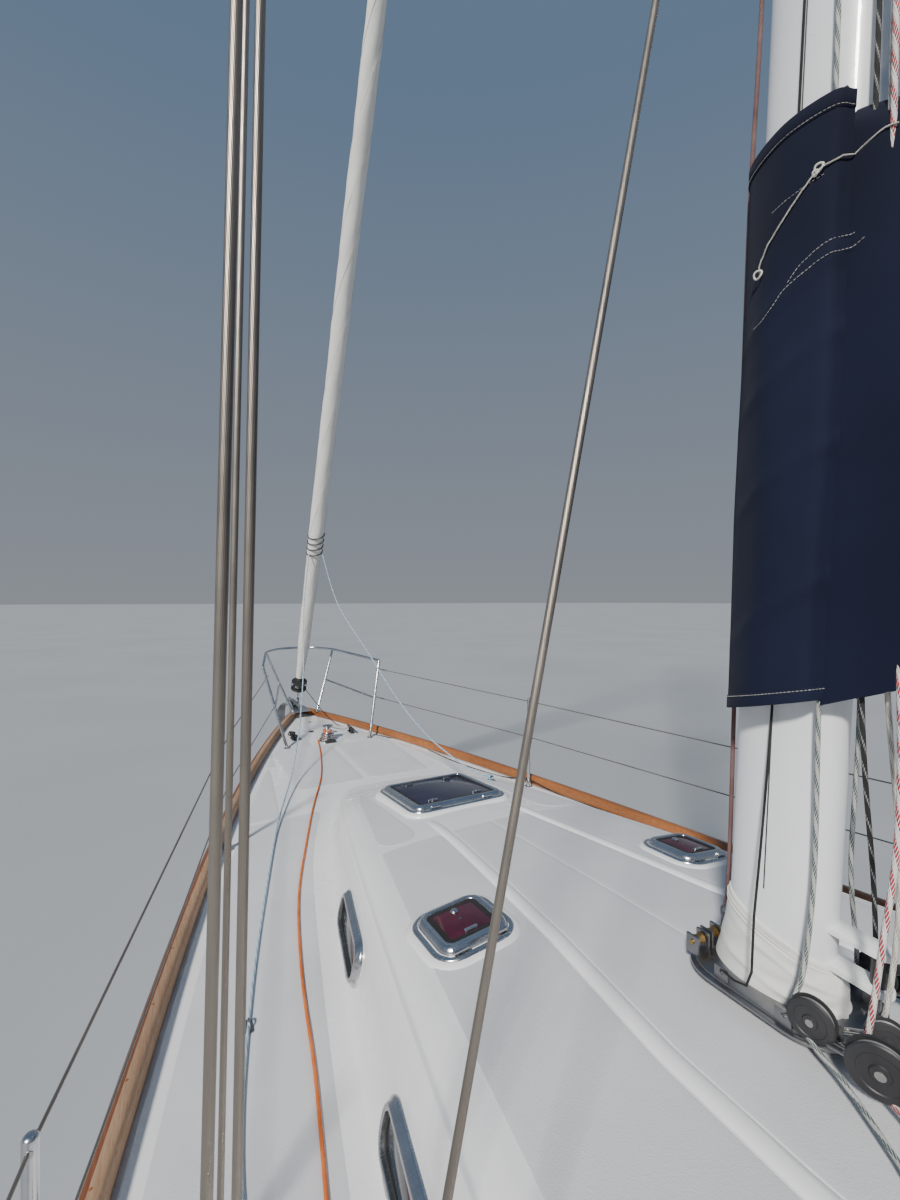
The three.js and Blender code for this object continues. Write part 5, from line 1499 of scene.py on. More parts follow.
def draw_shrouds(prefix, sign, side):
    screws = Form()
    for name, (x, y, radius) in CHAINPLATES.items():
        route = shroud_route(name, sign)
        way = (route[1] - route[0]).normalized()
        points = [route[0] + way * 0.31]
        for a, b in zip([points[0]] + route[1:], route[1:]):
            points += [a.lerp(b, (k + 1) / 6) for k in range(6)] if (b - a).length > 1e-6 else []
        made(f"shroud_{name}_{side}_wire", Form().tube(points, radius, 14), wire,
             replaces=f"shroud_{name}_{side}", angle=60)
        draw_screw(screws, route[0], way, radius)
        draw_terminal(screws, route[-1], (route[-2] - route[-1]).normalized(), radius)
    made(f"{prefix}_{side}", screws, dull_steel, angle=40)
    plates = Form()
    z = deck_z(1.4, 0.9)
    outline = rounded(0.084, 0.35, 0.02)
    plates.plate(outline, z - 0.02, deck_z(1.4, 1.09) + 0.014, 0.004,
                 moved(sign * CHAINPLATE_MIDDLE[0], CHAINPLATE_MIDDLE[1], 0))
    for x, y, radius in CHAINPLATES.values():
        tongue = [(cos(a) * 0.018, z + 0.042 + sin(a) * 0.018) for a in spaced(0, pi, 10)]
        outline = [(0.018, z - 0.02)] + tongue + [(-0.018, z - 0.02)]
        plates.loft([[(sign * x + dx, y + a * grow, b) for a, b in outline]
                     for dx, grow in ((-0.0055, 0.93), (-0.0045, 1), (0.0045, 1), (0.0055, 0.93))])
        plates.pin(sign * x, y, z + 0.05, 0.014, 0.005, 12)
    for i in range(6):
        where = (sign * (CHAINPLATE_MIDDLE[0] + (0.03 if i % 2 else -0.03)), 0.78 + 0.13 * (i // 2),
                 z + 0.012)
        plates.lathe([(0, 0), (0.007, 0), (0.006, 0.005), (0, 0.006)], where, steps=12)
    made(f"chainplate_set_{side}", plates, steel, replaces=f"chainplates_{side}", angle=40)


both_sides(draw_shrouds, "rigging_screws")


def draw_spreaders(prefix, sign, side):
    for level, (z, reach, lift) in SPREADERS.items():
        form = Form()
        y = mast_axis(z)
        rings = []
        for t in spaced(0, 1, 12):
            x, mid = mix(MAST_HALF_WIDTH + 0.0003, reach - 0.008, t), z + lift * t
            half, thick = mix(0.07, 0.042, t), mix(0.022, 0.013, t)
            rings.append([(sign * x, y + half * cos(a), mid + thick * sin(a) * (0.75 - 0.25 * cos(a)))
                          for a in angles(20)])
        form.loft(rings)
        for dy in (-0.045, 0.045):
            form.tube([(sign * 0.0755, y + dy, z - 0.018), (sign * 0.0755, y + dy, z + 0.018)], 0.006, 8)
        form.mark = 1
        form.block((-0.012, -0.068, -0.025), (0.012, 0.068, 0.025), 0.008,
                   place=(sign * (reach - 0.0115), y, z + lift))
        made(f"spreader_{level}_{side}_arm", form, [spar_paint, black], replaces=f"spreader_{level}_{side}",
             angle=45)


both_sides(draw_spreaders, "spreaders")


# Mast, with its boot, collar, blocks, track, lugs and halyards

def round_mast(z, a, grow=0.0, size=1.0, fullness=(0.9, 0.95)):
    """A point on the mast's outline at an angle round it, or so far outside it."""
    c, s = cos(a), sin(a)
    x = (MAST_HALF_WIDTH + grow) * size * copysign(abs(c) ** fullness[0], c)
    y = (MAST_HALF_DEPTH + grow) * size * copysign(abs(s) ** fullness[1], s)
    return Vector((x, mast_axis(z) + y, z))


def mast_size(z):
    """The mast's share of its full size at a height: it narrows towards its head."""
    return 1 - 0.28 * clamp((z - 15.6) / 2)


HINGE_OFF = 0.09
RAKE_ANGLE = atan(MAST_RAKE)
RAKED = Matrix.Rotation(RAKE_ANGLE, 4, "X")


def hinge_y(z):
    return mast_axis(z) - MAST_HALF_DEPTH - HINGE_OFF


def draw_mast():
    form = Form()
    levels = [SOLE_Z + 0.0003, 0.5, 1.7, 2.5, 4, 6, 8, 10, 12, 14, 15.6, 16.4, 17.0, 17.6]
    form.loft([[round_mast(z, a, 0, mast_size(z), (0.85, 0.92)) for a in angles(48)] for z in levels])
    top = mast_axis(MASTHEAD_Z)
    form.block((-0.026, top - 0.2, MASTHEAD_Z - 0.03), (0.026, top + 0.07, MASTHEAD_Z + 0.036), 0.008)
    made("mast_tube", form, spar_paint, replaces="mast", angle=45)
    lines = Form()
    lines.tube([(0.0, mast_axis(z) + MAST_HALF_DEPTH - 0.0012, z) for z in spaced(2.0, 15.4, 12)], 0.0022, 8)
    lines.tube([(-0.0748, mast_axis(z) + 0.007, z) for z in (2.0, 4.0, 6.0, 9.0, 15.4)], 0.0018, 8)
    for z, x, y in ((3.895, -0.0655, -0.085), (4.62, 0.062, 0.085)):
        lines.block((-0.006, -0.006, -0.036), (0.006, 0.006, 0.036), 0.004, place=(x, mast_axis(z) + y, z))
    made("mast_seam_and_slots", lines, seam_black, angle=60)
    track = Form()
    rings = []
    half = [(0.016, 0.012), (0.016, -0.01), (0.005, -0.012), (0.004, -0.002)]
    for z in spaced(2.95, 17.3, 14):
        y = mast_axis(z) - MAST_HALF_DEPTH * mast_size(z)
        rings.append([(-dx, y + dy, z) for dx, dy in half] + [(dx, y + dy, z) for dx, dy in half[::-1]])
    track.loft(rings)
    made("mast_track", track, alloy, angle=30)
    fittings = Form()
    stay_head = stay_at(14.68)
    fittings.block((-0.013, mast_axis(14.68), 14.68), (0.013, stay_head.y + 0.024, 14.75), 0.004)
    for z in (6.71, 10.96, HOUNDS_Z, MASTHEAD_Z - 0.18):
        y = mast_axis(z)
        for sign in (-1, 1):
            flat_on_side = Matrix.Rotation(sign * pi / 2, 4, "Y") @ Matrix.Rotation(pi / 2, 4, "Z")
            fittings.plate(rounded(0.045, 0.1, 0.012), 0, 0.004, 0.001,
                           moved(sign * MAST_HALF_WIDTH, y, z + 0.05) @ flat_on_side)
            turn = Matrix.Identity(3) if sign > 0 else Matrix.Rotation(pi, 3, "Z")
            fittings.block((-0.003, -0.019, 0), (0.036, 0.019, 0.058), 0.006, turn,
                           (sign * 0.073, y, z + 0.001))
    made("mast_fittings", fittings, steel, angle=40)
    lugs = Form()
    for z in (BOOM_HINGE_Z, BOOM_HINGE_Z - VANG_DROP * cos(RAKE_ANGLE)):
        for dz in (-0.052, 0.036):
            place = moved(0, hinge_y(z), z) @ RAKED @ moved(0, HINGE_OFF / 2 + 0.015, 0)
            lugs.plate(rounded(0.060, HINGE_OFF + 0.09, 0.029), dz, dz + 0.016, 0.005, place)
    made("boom_and_vang_lugs", lugs, gelcoat, angle=40)


draw_mast()


def cloth_shell(rings, thickness):
    """Open rows of points as a cloth with two faces: the inner one lies towards each row's middle."""
    closed = []
    for row in rings:
        row = [Vector(p) for p in row]
        middle = sum(row, Vector()) / len(row)
        inner = []
        for i, p in enumerate(row):
            a, b = row[max(0, i - 1)], row[min(len(row) - 1, i + 1)]
            along = (b - a).normalized()
            inward = middle - p
            inward = (inward - along * inward.dot(along)).normalized()
            inner.append(p + inward * thickness)
        closed.append(row + inner[::-1])
    return closed


def cloth_size(rows):
    """The flat width and length of a cloth whose rows run across it, and its area."""
    def run(points):
        return sum((Vector(b) - Vector(a)).length for a, b in zip(points, points[1:]))
    widths = [run(row) for row in rows]
    middle = len(rows[0]) // 2
    lengths = [run([row[i] for row in rows]) for i in (0, middle // 2, middle)]
    area = 0.0
    for a, b in zip(rows, rows[1:]):
        for p, q, r, t in zip(a, a[1:], b[1:], b):
            area += (Vector(r) - Vector(p)).cross(Vector(t) - Vector(q)).length / 2
    width, length = max(widths), max(max(lengths), area / max(widths))
    return (round(width, 3), round(length, 3)), min(round(area, 3), round(width, 3) * round(length, 3))


def boot_top(a):
    """The boot's upper edge, which slopes down towards its aft side."""
    return 1.95 - 0.045 * (1 - sin(a))


def draw_mast_boot():
    """White cloth wrapped round the mast at the deck: it flares at the foot and lies in slanting folds."""
    rings = []
    rows, steps = 40, 84
    for k in range(rows + 1):
        t = k / rows
        ring = []
        for a in angles(steps):
            z = mix(1.7485, boot_top(a), t)
            base = 0.026 * (1 - t) ** 1.7 + 0.006 + 0.012 * max(0, -sin(a)) ** 3 * sin(pi * t) ** 2
            fold = max(0, sin(a * 1.5 + t * 15)) ** 3 * 0.0055 + 0.0022 * sin(a * 5 - t * 21)
            bulge = base + fold * (1 - 0.6 * t) * (0.6 + 0.4 * sin(a * 2 + 1))
            ring.append(round_mast(z, a, 0.0015 if k == rows else bulge))
        rings.append(ring)
    wrapped = [ring[steps * 3 // 4:] + ring[:steps * 3 // 4 + 1] for ring in rings]
    for row in wrapped:
        row[-1] = row[-1] + Vector((-0.0045, -0.0045, 0))
        row[-2] = row[-2] + Vector((-0.002, -0.004, 0))
    boot = made("mast_boot", Form().loft(cloth_shell(wrapped, 0.0025)), boot_cloth, angle=80)
    hem = [p + Vector((0, 0, -0.010)) for p in wrapped[-2]]
    thread = grown("mast_boot_stitching", [hem], STITCHES, {
        "Spacing": 0.006, "Stitch Length": 0.0042, "Thread Radius": 0.0006, "Thread": stitch_thread,
    })
    flat, area = cloth_size(wrapped)
    ties = Form()
    for drop, out in ((0.018, 0.0085), (0.030, 0.009)):
        ties.tube([round_mast(boot_top(a) - drop, a, out) for a in angles(72)], 0.0019, 6, closed=True)
    made("mast_boot_ties", ties, sailcloth, angle=80)


draw_mast_boot()


BLOCK_PARTS = [black, grey_block, dull_steel]


def draw_block(form, centre, radius, axis):
    """An upright block: two dark cheeks with a grey sheave between them and a steel pin."""
    cheek = 0.007
    centre, axis = Vector(centre), Vector(axis).normalized()
    form.mark = 0
    for s in (-1, 1):
        base = centre + axis * (s * (cheek + 0.0045))
        form.lathe([(0, -cheek * 0.55), (radius, -cheek * 0.55), (radius * 1.03, 0),
                    (radius * 0.98, cheek * 0.4), (radius * 0.72, cheek * 0.62),
                    (radius * 0.68, cheek * 0.35), (radius * 0.34, cheek * 0.35),
                    (radius * 0.30, cheek * 0.85), (0, cheek * 0.9)], base, axis * s, 32)
    form.mark = 1
    form.lathe([(0, -0.0055), (radius * 0.9, -0.0055), (radius * 0.9, -0.004), (radius * 0.78, 0),
                (radius * 0.9, 0.004), (radius * 0.9, 0.0055), (0, 0.0055)], centre, axis, 32)
    form.mark = 2
    form.lathe([(0, -0.02), (radius * 0.17, -0.02), (radius * 0.17, 0.02), (0, 0.02)], centre, axis, 16)
    form.mark = 0


def draw_collar():
    form = Form()
    middle = moved(0, MAST_Y - 0.01, 0)
    form.plate(rounded(0.34, 0.41, 0.11, 10), MAST_FOOT_Z + 0.0003, MAST_FOOT_Z + 0.0083, 0.003, middle)
    form.plate(rounded(0.314, 0.384, 0.10, 10), MAST_FOOT_Z + 0.008, MAST_FOOT_Z + 0.0165, 0.004, middle)
    lugs = [(-0.150, 0.060), (-0.155, -0.100), (-0.090, -0.175), (0.090, -0.175), (0.155, -0.100),
            (0.150, 0.060)]
    for x, y in lugs:
        form.block((-0.005, -0.02, 0.006), (0.005, 0.02, 0.049), 0.004, place=(x, MAST_Y + y, MAST_FOOT_Z))
        form.pin(x, MAST_Y + y, MAST_FOOT_Z + 0.034, 0.009, 0.005, 10)
    for a in angles(8, 0.5):
        form.lathe([(0, 0.012), (0.008, 0.012), (0.007, 0.017), (0, 0.018)],
                   (0.142 * cos(a), MAST_Y - 0.01 + 0.178 * sin(a), MAST_FOOT_Z + 0.004), steps=12)
    made("mast_collar_plate", form, dark_steel, replaces="mast_collar", angle=40)
    ahead = Form()
    top = MAST_FOOT_Z + 0.014
    for x in (-0.124, -0.080, -0.064, -0.020):
        ahead.block((-0.004, -0.020, 0), (0.004, 0.020, 0.052), 0.003, place=(x, SHACKLE_Y, top))
    ahead.mark = 1
    for x in (-0.102, -0.042):
        ahead.pin(x, SHACKLE_Y, top + 0.034, 0.030, 0.0065, 12)
        ahead.lathe([(0, -0.012), (0.015, -0.012), (0.012, 0), (0.015, 0.012), (0, 0.012)],
                    (x, SHACKLE_Y, top + 0.034), (1, 0, 0), 20)
    ahead.mark = 0
    spot = Vector((0.016, SHACKLE_Y, top))
    ahead.block((-0.006, -0.016, 0), (0.006, 0.016, 0.03), 0.004, place=spot)
    for rise, flat in ((0.034, 0), (0.056, 1), (0.078, 0)):
        link = []
        for a in angles(20):
            side = 0.009 * cos(a)
            link.append(spot + Vector((side if flat else 0, 0 if flat else side, rise + 0.017 * sin(a))))
        ahead.tube(link, 0.0034, 8, closed=True)
    made("mast_foot_shackles", ahead, [dark_steel, bronze], angle=40)
    blocks = Form()
    spots = [
        (-0.155, 1.018, 1.800, 0.047, (1, 0.18, 0), -0.155, 1.075),
        (-0.180, 0.878, 1.806, 0.058, (1, 0.35, 0.08), -0.155, 0.985),
        (-0.072, 0.909, 1.800, 0.040, (1, 0.5, 0), -0.09, 0.985),
        (0.155, 1.018, 1.800, 0.047, (1, -0.18, 0), 0.155, 1.075),
        (0.150, 0.900, 1.803, 0.050, (1, -0.35, 0), 0.150, 1.0),
    ]
    for x, y, z, radius, axis, _, _ in spots:
        draw_block(blocks, (x, y, z), radius, axis)
    blocks.mark = 2
    for x, y, z, radius, axis, px, py in spots:
        blocks.tube(bent([(x - 0.012, y + 0.012, 1.80), (px - 0.010, py, 1.772), (px + 0.010, py, 1.772),
                          (x + 0.012, y + 0.012, 1.80)], 0.01), 0.0036, 8)
    made("mast_foot_blocks", blocks, BLOCK_PARTS, angle=35)


draw_collar()


def draw_halyards():
    """Lines down the mast to the blocks at its foot, and aft along the roof to the clutches."""
    def on_roof(*spots):
        """The stretch from a clutch by a middle spot to an organiser."""
        return [(x, y, roof_z(x, y) + lift) for (x, y), lift in zip(spots, (0.02, 0.012, 0.019))]

    lines = [
        ("halyard_mauve", mauve_rope, 0.006, [
            (0.019, 1.343, 1.848), (0.021, 1.339, 1.87), (0.007, 1.302, 2.634), (-0.011, 1.262, 3.545),
            (-0.006, 1.25, 3.9), (-0.009, 1.217, 4.391), (0.0, mast_axis(9) + 0.18, 9.0),
            (0.0, mast_axis(13.8) + 0.15, 13.8),
        ]),
        ("line_thin_black", thin_black, 0.0030, [
            (-0.154, 1.24, 1.775), (-0.172, 1.16, 1.79), (-0.155, 1.151, 1.963), (-0.086, 1.146, 2.485),
            (-0.083, 1.10, 3.6), (-0.081, mast_axis(6.5), 6.5),
        ]),
        ("halyard_grey", grey_rope, 0.0055, on_roof((-0.44, -0.62), (-0.44, 0.1), (-0.45, 0.42)) + [
            (-0.40, 0.66, 1.722), (-0.282, 0.808, 1.733), (-0.20, 0.94, 1.748), (-0.163, 1.03, 1.762),
            (-0.150, 1.064, 1.80), (-0.130, 1.055, 1.85), (-0.09, 1.05, 2.033), (-0.088, 1.037, 2.506),
            (-0.086, 1.0, 4.0), (-0.083, mast_axis(9.5), 9.5),
        ]),
        ("halyard_black", black_rope, 0.0055, [
            (0.075, 0.99, 1.775), (0.075, 0.99, 1.83), (0.04, 0.98, 2.05), (-0.06, 0.962, 2.52),
            (-0.062, 0.93, 4.0), (-0.060, mast_axis(8) - 0.125, 8.0),
        ]),
        ("halyard_red", red_rope, 0.0062, on_roof((-0.51, -0.62), (-0.50, -0.2), (-0.50, 0.42)) + [
            (-0.36, 0.60, 1.726), (-0.27, 0.72, 1.736), (-0.211, 0.80, 1.752), (-0.178, 0.86, 1.752),
            (-0.155, 0.925, 1.79), (-0.168, 0.905, 1.855), (-0.14, 0.886, 2.08), (-0.105, 0.884, 2.19),
            (-0.09, 0.88, 2.40), (-0.080, 0.90, 3.4), (-0.074, mast_axis(7) - 0.12, 7.0),
        ]),
        ("halyard_white", sail_rope, 0.0055, on_roof((-0.58, -0.62), (-0.58, -0.1), (-0.57, 0.42)) + [
            (-0.30, 0.62, 1.728), (-0.13, 0.84, 1.75), (-0.085, 0.89, 1.765), (-0.060, 0.935, 1.79),
            (-0.061, 0.92, 1.834), (-0.037, 0.901, 2.127), (-0.05, 0.92, 2.6), (-0.066, 0.91, 3.6),
            (-0.067, mast_axis(7) - 0.12, 7.0),
        ]),
        ("topping_line", grey_rope, 0.0055, [
            (0.150, 1.064, 1.80), (0.13, 1.055, 1.85), (0.09, 1.05, 2.05), (0.088, 1.03, 2.5),
            (0.087, mast_axis(5), 5.0), (0.083, mast_axis(9.5), 9.5),
        ]),
        ("starboard_tail", black_rope, 0.0055, on_roof((0.44, -0.62), (0.44, 0.1), (0.45, 0.42)) + [
            (0.35, 0.70, 1.722), (0.22, 0.90, 1.745), (0.163, 1.03, 1.762), (0.152, 1.062, 1.80),
        ]),
    ]
    for name, material, radius, points in lines:
        rope(name, points, 0.05, radius, material)


draw_halyards()


# Furler, forestay and the rolled headsail

STRETCH = hypot(1, STAY_SLOPE)
STAY_WAY = Vector((0, -STAY_SLOPE, 1)).normalized()
STAY_SIDE = STAY_WAY.cross(Vector((1, 0, 0)))


def round_stay(z, a, radius):
    """A point so far out from the forestay, at an angle round it."""
    return stay_at(z) + (Vector((cos(a), 0, 0)) + STAY_SIDE * sin(a)) * radius


def on_stay(profile, form, steps=32):
    """A turned shape about the forestay, from (radius, height above the water) pairs."""
    return form.lathe([(r, (z - STAY_FOOT[1]) * STRETCH) for r, z in profile], (0, *STAY_FOOT), STAY_WAY,
                      steps)


def draw_furler():
    foil = on_stay([(0, 1.552), (0.006, 1.552), (0.006, 1.64), (0.009, 1.645), (0.009, 14.66),
                    (0.0075, 14.674), (0, 14.6755)], Form(), 20)
    made("forestay_foil", foil, alloy, replaces="forestay", angle=40)
    drum = Form()
    on_stay([(0, 1.650), (0.026, 1.650), (0.030, 1.659), (0.086, 1.661), (0.091, 1.664), (0.092, 1.669),
             (0.088, 1.672), (0.034, 1.674), (0.032, 1.680), (0.032, 1.744), (0.034, 1.750), (0.088, 1.752),
             (0.092, 1.755), (0.091, 1.760), (0.086, 1.763), (0.030, 1.766), (0.026, 1.785), (0.018, 1.797),
             (0, 1.797)], drum, 40)
    on_stay([(0, 14.33), (0.028, 14.33), (0.030, 14.34), (0.030, 14.375), (0.024, 14.38), (0.024, 14.39),
             (0.030, 14.395), (0.030, 14.43), (0.027, 14.44), (0, 14.44)], drum, 24)
    for a in angles(7):
        drum.tube([round_stay(1.664, a, 0.089), round_stay(1.757, a, 0.089)], 0.0034, 8)
    made("furler_drum", drum, black, angle=40)
    line = Form()
    path = []
    for i, z in enumerate(spaced(1.684, 1.739, 7 * 28)):
        a = 2 * pi * i / 28
        path.append(round_stay(z, a, 0.039 + 0.003 * sin(a * 0.37)))
    line.tube(path, 0.0042, 8)
    made("furling_line", line, grey_rope, angle=80)


draw_furler()

ROLL = [(1.8, 0.044), (2.3, 0.066), (3.6, 0.080), (6.0, 0.080), (9.0, 0.066), (12.5, 0.042), (14.31, 0.024)]


def roll_radius(z):
    return between(ROLL, z, lambda t: ease(t) * 0.5 + 0.5 * clamp(t))[0]


def roll_turn(z):
    """How far the sail's spiral has turned at a height."""
    return z * 3.4 + 0.5 * sin(z * 0.9)


def draw_genoa():
    """The sail rolled on its foil: a long spiral seam, soft creases and a lapped leech edge."""
    rings = []
    rng = random.Random(9)
    phase = [rng.uniform(0, 6.28) for _ in range(5)]
    steps, rows = 48, 420
    for k in range(rows + 1):
        z = mix(1.806, 14.305, (k / rows) ** 1.25)
        radius = roll_radius(z) - 0.003
        twist = roll_turn(z)
        ring = []
        for a in angles(steps):
            turn = ((a - twist) / (2 * pi)) % 1.0
            lap = 0.0045 * (1 - turn)
            crease = 0.0016 * sin(a * 3 + z * 5.1 + phase[0]) * sin(z * 2.3 + phase[1])
            fine = 0.0008 * sin(z * 31 + a * 2 + phase[2]) + 0.0007 * sin(z * 17 - a * 4 + phase[3])
            r = (radius + lap + crease + fine) * (0.35 if k in (0, rows) else 1)
            ring.append(round_stay(z, a, r))
        rings.append(ring)
    made("furled_headsail", Form().loft(rings), sailcloth, replaces="furled_genoa",
         angle=40)
    seams = Form()
    for start in (0.0, 2.1, 4.2):
        seams.tube([round_stay(z, roll_turn(z) + start, roll_radius(z) + 0.0008)
                    for z in spaced(1.9, 13.6, 599)], 0.0013, 4)
    made("headsail_stitching", seams, stitch_thread, angle=80)
    wraps = Form()
    path = []
    for k, z in enumerate(spaced(3.24, 3.47, 4 * 40)):
        a = 2 * pi * k / 40
        z += 0.018 * sin(a + 0.6)
        path.append(round_stay(z, a, roll_radius(z) + 0.006))
    wraps.tube(path, 0.006, 8)
    made("headsail_sheet_wraps", wraps, black_rope, angle=80)


draw_genoa()


# Boom, vang and the covers over the stowed mainsail

BOOM = moved(0, hinge_y(BOOM_HINGE_Z), BOOM_HINGE_Z) @ RAKED
BOOM_RISE = 0.078


def by_boom(distance, x=0.0, up=0.0):
    """A point in the world that lies so far along the boom, to its side and over its middle."""
    return BOOM @ Vector((x, -distance * cos(BOOM_RISE), distance * sin(BOOM_RISE) + up))


def draw_boom():
    form = Form()
    rings = []
    for distance, size in ((0.075, 0.9), (0.08, 1), (1.2, 1), (2.4, 1), (3.6, 1), (4.895, 1), (4.9, 0.93)):
        rings.append([by_boom(distance, x * size, z * size) for x, z in rounded(0.11, 0.164, 0.026)])
    form.loft(rings)
    made("boom_tube", form, spar_paint, "boom", "boom", 40)
    fittings = Form()
    turn = BOOM.to_3x3()
    fittings.block((-0.056, -0.02, -0.083), (0.056, 0.012, 0.083), 0.01, turn, by_boom(0.09))
    fittings.block((-0.05, -0.03, -0.078), (0.05, 0.01, 0.078), 0.012, turn, by_boom(4.888))
    fittings.tube([BOOM @ Vector((0, 0, -0.0397)), BOOM @ Vector((0, 0, 0.0397))], 0.0195, 20)
    fittings.block((-0.013, -0.09, -0.021), (0.013, 0.0, 0.021), 0.005, turn, by_boom(0))
    for distance in (2.02, 2.28):
        arch = [by_boom(distance, 0.052 * cos(a), -0.078 - 0.045 * sin(a)) for a in spaced(0, pi, 12)]
        fittings.tube(arch, 0.006, 10, round_ends=True)
    made("boom_fittings", fittings, dull_steel, "boom", angle=40)
    low = Vector((0, 0, -VANG_DROP))
    high = Vector((0, -1.18 * cos(BOOM_RISE), 1.18 * sin(BOOM_RISE) - 0.108))
    way = (high - low).normalized()
    middle = low.lerp(high, 0.55)
    vang = Form()
    reach = (middle - low).length
    shape = [(0.0, 0.010), (0.07, 0.011), (0.075, 0.018), (0.1, 0.02), (0.105, 0.034), (0.13, 0.0345),
             (0.135, 0.032), (reach - 0.04, 0.032), (reach - 0.035, 0.0345), (reach, 0.0345),
             (reach + 0.004, 0.024)]
    total = (high - low).length
    shape += [(total - 0.03, 0.023), (total - 0.02, 0.019), (total, 0.018)]
    vang.tube([BOOM @ (low + way * t) for t, _ in shape], [r for _, r in shape], 24)
    vang.tube([BOOM @ Vector((0, 0, -VANG_DROP - 0.0397)), BOOM @ Vector((0, 0, -VANG_DROP + 0.0397))],
              0.0178, 20)
    vang.block((-0.018, -0.05, -0.02), (0.018, 0.05, 0.03), 0.006, turn, BOOM @ high)
    made("vang_strut", vang, black, "boom", "boom_vang", 40)


draw_boom()


def through(points, counts):
    """A smooth curve in the plane through points, each stretch cut into so many steps."""
    pts = [Vector((*p, 0)) for p in points]
    pts = [pts[0] * 2 - pts[1]] + pts + [pts[-1] * 2 - pts[-2]]
    return [(p.x, p.y) for p in stretches(pts, counts) + [pts[-2]]]


COVER_FOOT_Z = 2.47
COVER_HEAD_Z = 3.895
COVER_RIDGES = [2.62, 2.95, 3.2, 3.38]


def mast_cover_row(z, out=0.0):
    """The cover's outline round the mast at a height, port edge to starboard edge, with its folds."""
    rise = clamp((z - 2.47) / 0.53)
    fore = mix(0.362, 0.373, rise)
    size = mix(1, 0.92, clamp((z - 3.2) / (COVER_HEAD_Z - 3.2)))
    half = [(x * size, dy) for x, dy in ((0.092, 0.102), (0.136, 0.130), (0.152, 0.235), (0.108, 0.328),
            (0.048, fore))]
    line = [(-x, dy) for x, dy in half] + half[::-1]
    path = through(line, [5, 7, 8, 6, 6, 6, 8, 7, 5])
    base = hinge_y(z)
    row = []
    count = len(path) - 1
    sag = sin(pi * clamp((z - COVER_FOOT_Z) / (COVER_HEAD_Z - COVER_FOOT_Z)))
    for i, (x, dy) in enumerate(path):
        a, b = path[max(0, i - 1)], path[min(count, i + 1)]
        n = Vector((-(b[1] - a[1]), b[0] - a[0], 0)).normalized()
        s = i / count
        loose = 0.25 + 0.75 * clamp((fore - dy) / 0.12)
        fold = 0.0045 * sin(9.5 * s + 2.4 * z + 1.1 * sin(3.1 * z)) * (0.35 + 0.65 * sag)
        fold += 0.0025 * sin(23 * s - 3.7 * z + 1.7 * sin(5 * s)) * sag
        fold += 0.002 * sin(6.2 * z * (1 + 0.3 * s) + 14 * s)
        for start in COVER_RIDGES:
            off = z - start - 0.6 * (fore - dy) * (1 if x < 0 else 0.8)
            fold += 0.0055 * exp(-(off / 0.024) ** 2) * clamp((fore - dy) / 0.06)
        drop = ((fore - dy) * 0.25 - 0.018) * (1 - clamp((z - 2.47) / 0.6))
        row.append(Vector((x, base + dy, z + drop)) + n * (fold * loose - 0.004 + out))
    return row


COVER_SEAMS = [[(1.074, 3.505), (1.054, 3.529), (1.013, 3.554), (0.956, 3.575), (0.862, 3.584)],
               [(1.163, 3.436), (1.138, 3.44), (1.101, 3.469), (1.087, 3.486), (1.032, 3.513),
                (0.989, 3.531), (0.917, 3.558), (0.862, 3.56)],
               [(1.156, 3.70), (1.107, 3.701), (1.059, 3.707), (1.008, 3.716)]]


def cover_side_x(y, z, out=0.0):
    """How far out the cover's port side lies at a place on it."""
    low, high = COVER_FOOT_Z, COVER_HEAD_Z
    row = mast_cover_row(clamp((z - low) / (high - low)) * (high - low) + low, out)
    half = row[:len(row) // 2 + 1]
    return min(half, key=lambda p: abs(p.y - y) + (0 if p.x < 0 else 1)).x


def on_port_side(points, out):
    path = smooth_path([(0, y, z) for y, z in points], 0.012)
    return [Vector((cover_side_x(p.y, p.z, out), p.y, p.z)) for p in path]


def draw_mast_cover():
    rows = [mast_cover_row(z) for z in spaced(COVER_FOOT_Z, COVER_HEAD_Z, 96)]
    cover = made("mast_cover", Form().loft(cloth_shell(rows, 0.004)), navy_cloth, replaces="cover_mast",
                 angle=60)
    hem = Form()
    foot = [(-0.001, 0.0), (0.0, 0.0022), (0.032, 0.0022), (0.034, 0.0)]
    head = [(-0.042, 0.0), (-0.040, 0.0026), (-0.002, 0.003), (0.001, 0.0)]
    for level, shape in ((COVER_FOOT_Z, foot), (COVER_HEAD_Z, head)):
        hem.loft(cloth_shell([mast_cover_row(level + dz, out) for dz, out in shape], 0.002))
    hem = made("mast_cover_hems", hem, navy_cloth, angle=60)
    hem_rows = [mast_cover_row(COVER_FOOT_Z + 0.0285, 0.0030), mast_cover_row(COVER_HEAD_Z - 0.036, 0.0034)]
    edge = [mast_cover_row(z, 0.0012) for z in spaced(COVER_FOOT_Z + 0.04, COVER_HEAD_Z - 0.05, 60)]
    count = len(edge[0])
    fore = [[row[count // 2 - 2] for row in edge], [row[count // 2 + 2] for row in edge]]
    seams = [on_port_side(line, 0.0012) for line in COVER_SEAMS]
    thread = grown("mast_cover_stitching", hem_rows + fore + seams, STITCHES, {
        "Spacing": 0.0085, "Stitch Length": 0.006, "Thread Radius": 0.0007, "Thread": stitch_thread,
    })
    flat, area = cloth_size(rows)


draw_mast_cover()

COVER = [(0.215, 0.120, 1.050), (0.42, 0.150, 0.960), (0.9, 0.165, 0.720), (1.7, 0.165, 0.520),
         (2.9, 0.150, 0.410), (4.0, 0.130, 0.340), (4.7, 0.095, 0.260)]


def cover_size(distance):
    """The boom cover's half width and its height over the boom, at a distance along the boom."""
    return between(COVER, distance)


